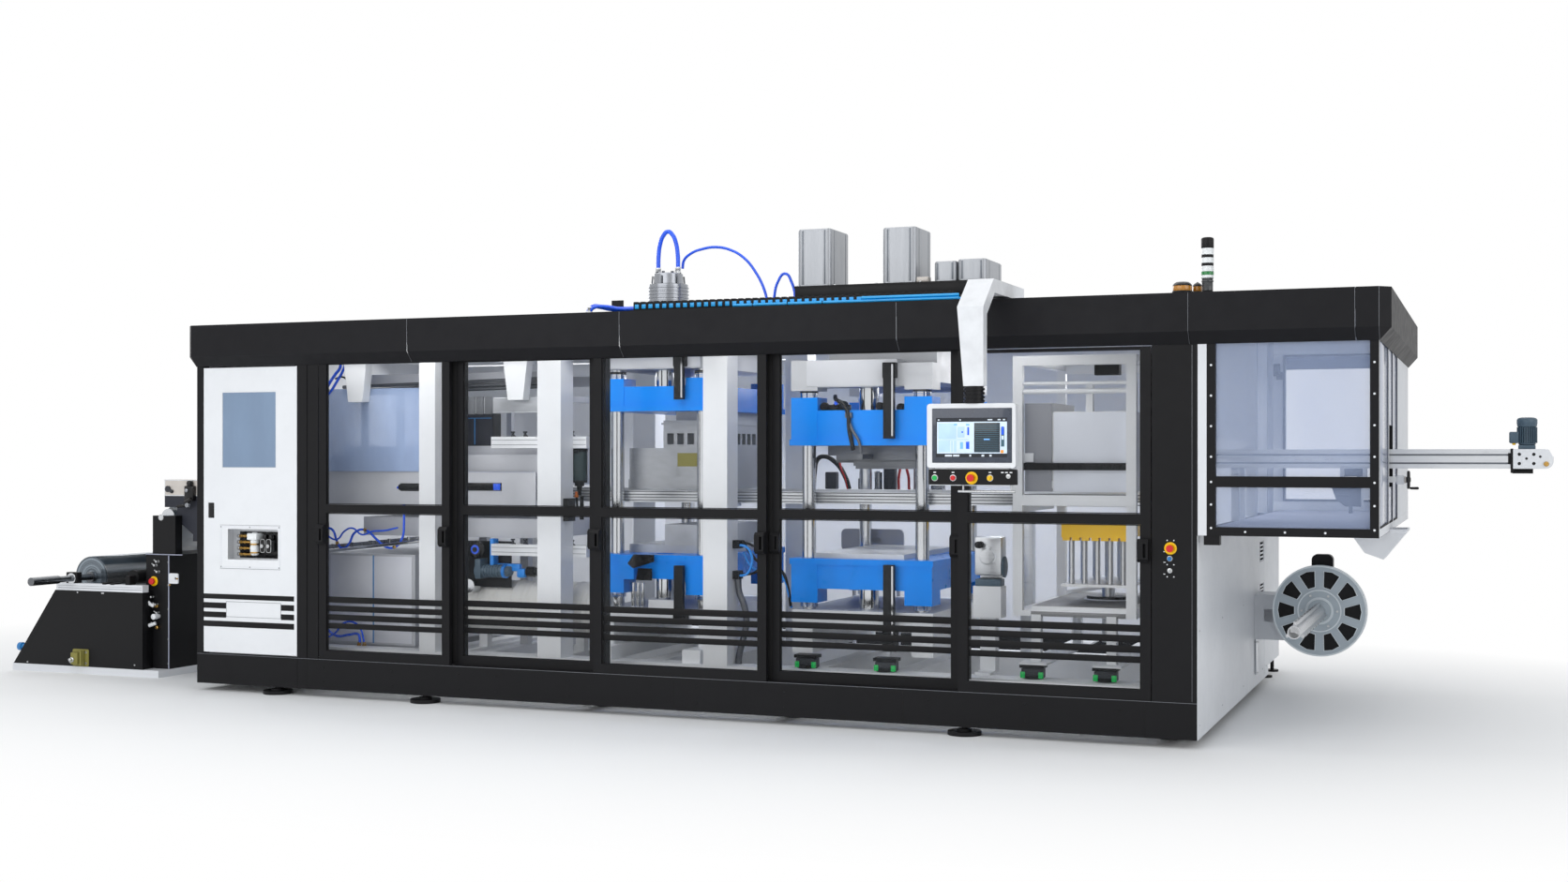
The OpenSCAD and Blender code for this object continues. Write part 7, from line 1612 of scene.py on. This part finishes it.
def pressBays():
    # Chrome collars of the guide columns; they ride on their platen
    for body, cols, zs in (("form_upper", (-420.5, 171.5), ((2025, 2055),)),
                           ("form_lower", (-420.5, 171.5), ((660, 690),)),
                           ("cut_upper", (868.5, 1580.5), ((1892, 1922),)),
                           ("cut_lower", (868.5, 1580.5), ((638, 668),))):
        bm = bmesh.new()
        for x in cols:
            for y in (534, 1566):
                for z0, z1 in zs:
                    for ring in range(3):
                        low = z0 + 1 + ring * 10
                        addTurnedRing(bm, x, y, low, low + 8.4, 50.3, 53)
        finishMesh("collars_" + body, bm, "chrome", body)
    # Skins of the press heads, and dark bands over the columns
    heads = [(884, 1452, 446.6, 449.6, 1958, 2110), (-470, 190, 446.6, 449.6, 2088, 2166)]
    boxes("headSkins", heads, "paleSteel", "machine", 2)
    for body, cols, z in (("form_upper", (-420.5, 171.5), 2055), ("cut_upper", (868.5, 1580.5), 1922)):
        bm = bmesh.new()
        for x in cols:
            for low in (z, z + 9):
                addTurnedRing(bm, x, 534, low, low + 7, 50.3, 56)
        finishMesh("wipers_" + body, bm, "black", body)
    # Slots of the film rails, the sill in front and a box behind
    slots = [(-3200, 2890, 577.6, 579.4, z, z + 5) for z in (1263, 1283, 1300, 1318)]
    boxes("railSlots", slots, "railShade", "machine", 0.5)
    boxes("frontSill", [(820, 1936, 104, 110.5, 262, 300), (1962, 3000, 104, 110.5, 262, 300)], "white",
          "machine", 2)
    bm = bmesh.new()
    addPlate(bm, roundedRect(662, 1095, 914, 1061, 34), [roundedRect(830, 940, 975, 1002, 12)], 1668,
             1688)
    addBox(bm, 690, 1065, 1688, 1750, 924, 1051, 14)
    for x in (720, 1030):
        addBox(bm, x, x + 20, 1720, 1750, 284, 930, 2)
    finishMesh("rearGearBox", bm, "ashGrey")
    # Olive band on the forming tool
    boxes("toolBand", [(-66, 150, 659.6, 661.7, 1478, 1562)], "olive", "form_upper", 1)
    # Valve box of the forming press: a black bracket
    bm = bmesh.new()
    addPlate(bm, [(-248, 848), (-104, 892), (-104, 934), (-244, 934), (-286, 878)], [], 401.4, 404)
    addPlate(bm, [(-228, 776), (-118, 776), (-118, 850), (-214, 850)], [], 401.4, 404)
    finishMesh("valveBoxFace", bm, "blackGloss", "form_lower")
    # Hose on the upper cutting platen
    hose("platenHose", [(1040, 520, 1900), (1060, 480, 1880), (1120, 444, 1850), (1150, 436, 1800),
                        (1160, 434, 1700), (1176, 436, 1620),
                        (1180, 450, 1580)], 13, "blackGloss", "cut_upper")
    bm = bmesh.new()
    for x, z in ((980, 1838), (1052, 1830), (1100, 1846), (1330, 1836), (1460, 1828)):
        addTurned(bm, spot(x, 520, z), toFront, [(0, 26), (30, 26), (34, 18), (44, 18)], 12)
    addBox(bm, 960, 1130, 500, 560, 1815, 1850, 6)
    finishMesh("platenValves", bm, "black", "cut_upper")
    bm = bmesh.new()
    addTurned(bm, spot(1066, 474, 1858), toFront, [(0, 12), (14, 12), (16, 8)], 8)
    finishMesh("blueFittings", bm, "royalHose", "cut_upper")
    # Feed machinery that shows behind the cutting press
    bm = bmesh.new()
    for x, r, top in ((1195, 46, 1464), (1319, 52, 1474), (908, 30, 1443)):
        addTurned(bm, spot(x, 1710, 1321), toTop,
                  [(0, r), (6, r), (8, r - 4), (top - 1331, r - 4), (top - 1327, r), (top - 1321, r - 6)],
                  28)
    finishMesh("rearCylinders", bm, "cylinderSteel")
    rear = [(951, 1031, 1680, 1740, 1321, 1478), (540, 620, 1680, 1740, 1321, 1437),
            (774, 846, 1680, 1730, 1321, 1396)]
    boxes("rearValveBlocks", rear, "slate", "machine", 8)
    carrier = [(431, 1960, 1668, 1752, 1268, 1322), (1880, 1960, 1668, 1752, 284, 1270)]
    boxes("rearCarrier", carrier, "profile", "machine", 3)


def addTurnedRing(bm, x, y, z0, z1, inner, outer):
    addTurned(bm, spot(x, y, z0), toTop, [(0, inner), (0.6, outer), (z1 - z0 - 0.6, outer),
                                          (z1 - z0, inner)], 40)


stackBay = {"chute": (2365.5, 2799.5, 510, 1340, 1796)}


def stackerBay():
    x0, x1, y0, z0, z1 = stackBay["chute"]
    boxes("chuteSkin", [(x0, x1, y0 - 2.4, y0 - 0.4, z0, z1)], "milkSheet", "machine", 1)
    boxes("chuteRims", [(x0 - 1, x1 + 1, y0 - 4, y0 - 2, z1 - 5, z1),
                        (x0 - 1, x0 + 4, y0 - 4, y0 - 2, z0, z1)],
          "white", "machine", 0.8)
    boxes("guardSkin", [(2203, x0 - 6.4, y0 - 2.4, y0 - 0.4, 1341, 1844)], "ashGrey", "machine", 1)
    boxes("traySkin", [(2252, 2792, 474, 1600, 689.2, 691)], "trayGrey", "machine", 0.6)
    boxes("trayEdge", [(2252, 2792, 448.4, 450, 634, 661)], "trayGrey", "machine", 0.6)
    bm = bmesh.new()
    cx, cy = 2573.5, 1050
    outline = [(cx + 148 * math.cos(math.radians(10 * k)), cy + 112 * math.sin(math.radians(10 * k)))
               for k in range(36)]
    outlineIn = [(cx + 130 * math.cos(math.radians(10 * k)), cy + 96 * math.sin(math.radians(10 * k)))
                 for k in range(36)]
    addPlate(bm, outlineIn, [(cx, cy, 44)], 697, 713.5, "z")
    finishMesh("liftFootTop", bm, "blackGloss")
    bm = bmesh.new()
    addPlate(bm, outline, [(cx, cy, 44)], 691.4, 697.2, "z")
    finishMesh("liftFootEdge", bm, "milkSheet")
    bm = bmesh.new()
    addPlate(bm, [(2212, 676), (2212, 704), (2700, 792), (2700, 764)], [], 1500, 1520)
    finishMesh("stackArm", bm, "white")
    bm = bmesh.new()
    for k in range(12):
        addBox(bm, 2380 + k * 33, 2398 + k * 33, 473, 480, 1466, 1501, 4)
    finishMesh("stopBarTeeth", bm, "black")
    # Knob on the take-off gearbox
    bm = bmesh.new()
    addTurned(bm, spot(1930, 520, 1030), toFront, [(0, 12), (12, 12), (16, 20), (34, 20), (38, 10)], 20)
    finishMesh("gearKnob", bm, "blackGloss")


def shoes():
    body = []
    ends = []
    for x in (910.5, 1405.5, 2278.5, 2692.5):
        body.append((x - 62, x + 62, 358, 440, 288, 346))
        ends += [(x - 66, x - 38, 354, 372, 290, 326), (x + 38, x + 66, 354, 372, 290, 326)]
    boxes("shoeBodies", body, "darkGrey", "machine", 8)
    boxes("shoeEnds", ends, "green", "machine", 4)


insideHoses()
heatingBays()
ductFolds()
swingArms()
pressBays()
stackerBay()
shoes()
print("bays dressed")


studio = {
    "floorHalf": 60.0,
    "skyLevel": 0.5,
    "backdropLevel": 1.0,
    "keySize": (9.0, 4.5),
    "keyPower": 225,
    "cameraPlace": (5.0025, -11.056, 1.547),
    "cameraTurn": 21.816,
    "lens": 41.05,
    "lensRise": 0.0092,
}


def makeFloor():
    bm = bmesh.new()
    half = studio["floorHalf"]
    bmesh.ops.create_grid(bm, x_segments=12, y_segments=12, size=half)
    for v in bm.verts:
        v.co.z = -0.0005
    mesh = bpy.data.meshes.new("studioFloor")
    bm.to_mesh(mesh)
    bm.free()
    floor = bpy.data.objects.new("studioFloor", mesh)
    scene.collection.objects.link(floor)
    material, tree, shader, place = blank("studioFloorPaint")
    mottled = noise(tree, place, 0.6)
    tree.links.new(blendColours(tree, spread(tree, mottled, 0, 1), tinted("#f4f5f6", 0.985),
                                tinted("#f4f5f6", 1.0)),
                   shader.inputs["Base Color"])
    shader.inputs["Roughness"].default_value = 0.85
    # Past the shadow, the floor is as white as the backdrop for the camera and for reflections
    glow = tree.nodes.new("ShaderNodeEmission")
    glow.inputs["Color"].default_value = (1.0, 1.0, 1.0, 1.0)
    glow.inputs["Strength"].default_value = studio["backdropLevel"]
    away = tree.nodes.new("ShaderNodeVectorMath")
    away.operation = "LENGTH"
    flat = tree.nodes.new("ShaderNodeVectorMath")
    flat.operation = "MULTIPLY"
    flat.inputs[1].default_value = (0.62, 1.0, 1.0)
    tree.links.new(place, flat.inputs[0])
    tree.links.new(flat.outputs["Vector"], away.inputs[0])
    far = spread(tree, away.outputs["Value"], 0, 1, 2.4, 5.0)
    path = tree.nodes.new("ShaderNodeLightPath")
    seen = addValues(tree, path.outputs["Is Camera Ray"], path.outputs["Is Glossy Ray"])
    seen = addValues(tree, seen, path.outputs["Is Transmission Ray"])
    both = tree.nodes.new("ShaderNodeMath")
    both.operation = "MULTIPLY"
    both.use_clamp = True
    tree.links.new(far, both.inputs[0])
    tree.links.new(seen, both.inputs[1])
    mix = tree.nodes.new("ShaderNodeMixShader")
    tree.links.new(both.outputs["Value"], mix.inputs["Fac"])
    tree.links.new(shader.outputs["BSDF"], mix.inputs[1])
    tree.links.new(glow.outputs["Emission"], mix.inputs[2])
    out = next(n for n in tree.nodes if n.type == "OUTPUT_MATERIAL")
    tree.links.new(mix.outputs["Shader"], out.inputs["Surface"])
    mesh.materials.append(material)


def addValues(tree, a, b):
    node = tree.nodes.new("ShaderNodeMath")
    node.operation = "ADD"
    node.use_clamp = True
    tree.links.new(a, node.inputs[0])
    tree.links.new(b, node.inputs[1])
    return node.outputs["Value"]


def makeSky():
    world = bpy.data.worlds.new("studioSky")
    world.use_nodes = True
    scene.world = world
    tree = world.node_tree
    tree.nodes.clear()
    out = tree.nodes.new("ShaderNodeOutputWorld")
    soft = tree.nodes.new("ShaderNodeBackground")
    soft.inputs["Color"].default_value = (0.93, 0.965, 1.0, 1.0)
    soft.inputs["Strength"].default_value = studio["skyLevel"]
    white = tree.nodes.new("ShaderNodeBackground")
    white.inputs["Color"].default_value = (1.0, 1.0, 1.0, 1.0)
    white.inputs["Strength"].default_value = studio["backdropLevel"]
    path = tree.nodes.new("ShaderNodeLightPath")
    seen = addValues(tree, path.outputs["Is Camera Ray"], path.outputs["Is Glossy Ray"])
    seen = addValues(tree, seen, path.outputs["Is Transmission Ray"])
    mix = tree.nodes.new("ShaderNodeMixShader")
    tree.links.new(seen, mix.inputs["Fac"])
    tree.links.new(soft.outputs["Background"], mix.inputs[1])
    tree.links.new(white.outputs["Background"], mix.inputs[2])
    tree.links.new(mix.outputs["Shader"], out.inputs["Surface"])


def softbox(name, place, aim, size, power, tint=(1, 1, 1)):
    lamp = bpy.data.lights.new(name, "AREA")
    lamp.shape = "RECTANGLE"
    lamp.size, lamp.size_y = size
    lamp.energy = power
    lamp.color = tint
    holder = bpy.data.objects.new(name, lamp)
    holder.location = place
    holder.rotation_euler = (Vector(aim) - Vector(place)).to_track_quat("-Z", "Y").to_euler()
    holder.visible_camera = False
    scene.collection.objects.link(holder)


def makeCamera():
    lens = bpy.data.cameras.new("studioCamera")
    lens.lens = studio["lens"]
    lens.sensor_width = 36.0
    lens.shift_y = studio["lensRise"]
    lens.clip_end = 300.0
    camera = bpy.data.objects.new("studioCamera", lens)
    camera.location = studio["cameraPlace"]
    camera.rotation_euler = (math.radians(90), 0, math.radians(studio["cameraTurn"]))
    scene.collection.objects.link(camera)
    scene.camera = camera


makeFloor()
makeSky()
makeCamera()
softbox("keyFront", (-1.5, -9.5, 5.2), (0.3, -1.5, 1.1), studio["keySize"], studio["keyPower"])
softbox("fillRight", (9.5, -4.5, 4.2), (2.5, 0.0, 1.2), (5.0, 4.0), 110)
softbox("overhead", (0.2, -0.2, 6.5), (0.2, 0.0, 0.0), (10.0, 5.0), 200)
softbox("rearLeft", (-6.0, 6.5, 4.2), (-0.5, 0.0, 1.2), (6.0, 3.5), 150)
# Long lamps under the roof light the inside, as the room does
for number, x in enumerate((-1.95, 0.1, 1.5, 2.55)):
    softbox("insideLamp" + str(number), (x, 0.75, 2.14), (x, 0.1, 1.0), (1.5, 0.55), 15)
for number, x in enumerate((-1.95, -1.05, 0.0, 1.15, 2.25)):
    softbox("doorLamp" + str(number), (x, -1.36, 2.26), (x, -0.9, 0.6), (0.9, 0.14), 2)
# A low lamp in front reaches the lower half of the bays
softbox("lowFront", (-0.8, -8.5, 1.3), (-0.2, 0.5, 0.9), (9.0, 1.8), 140)
bpy.data.objects["lowFront"].visible_glossy = False
scene.view_settings.view_transform = "Standard"
print("floor, light and camera are in place")
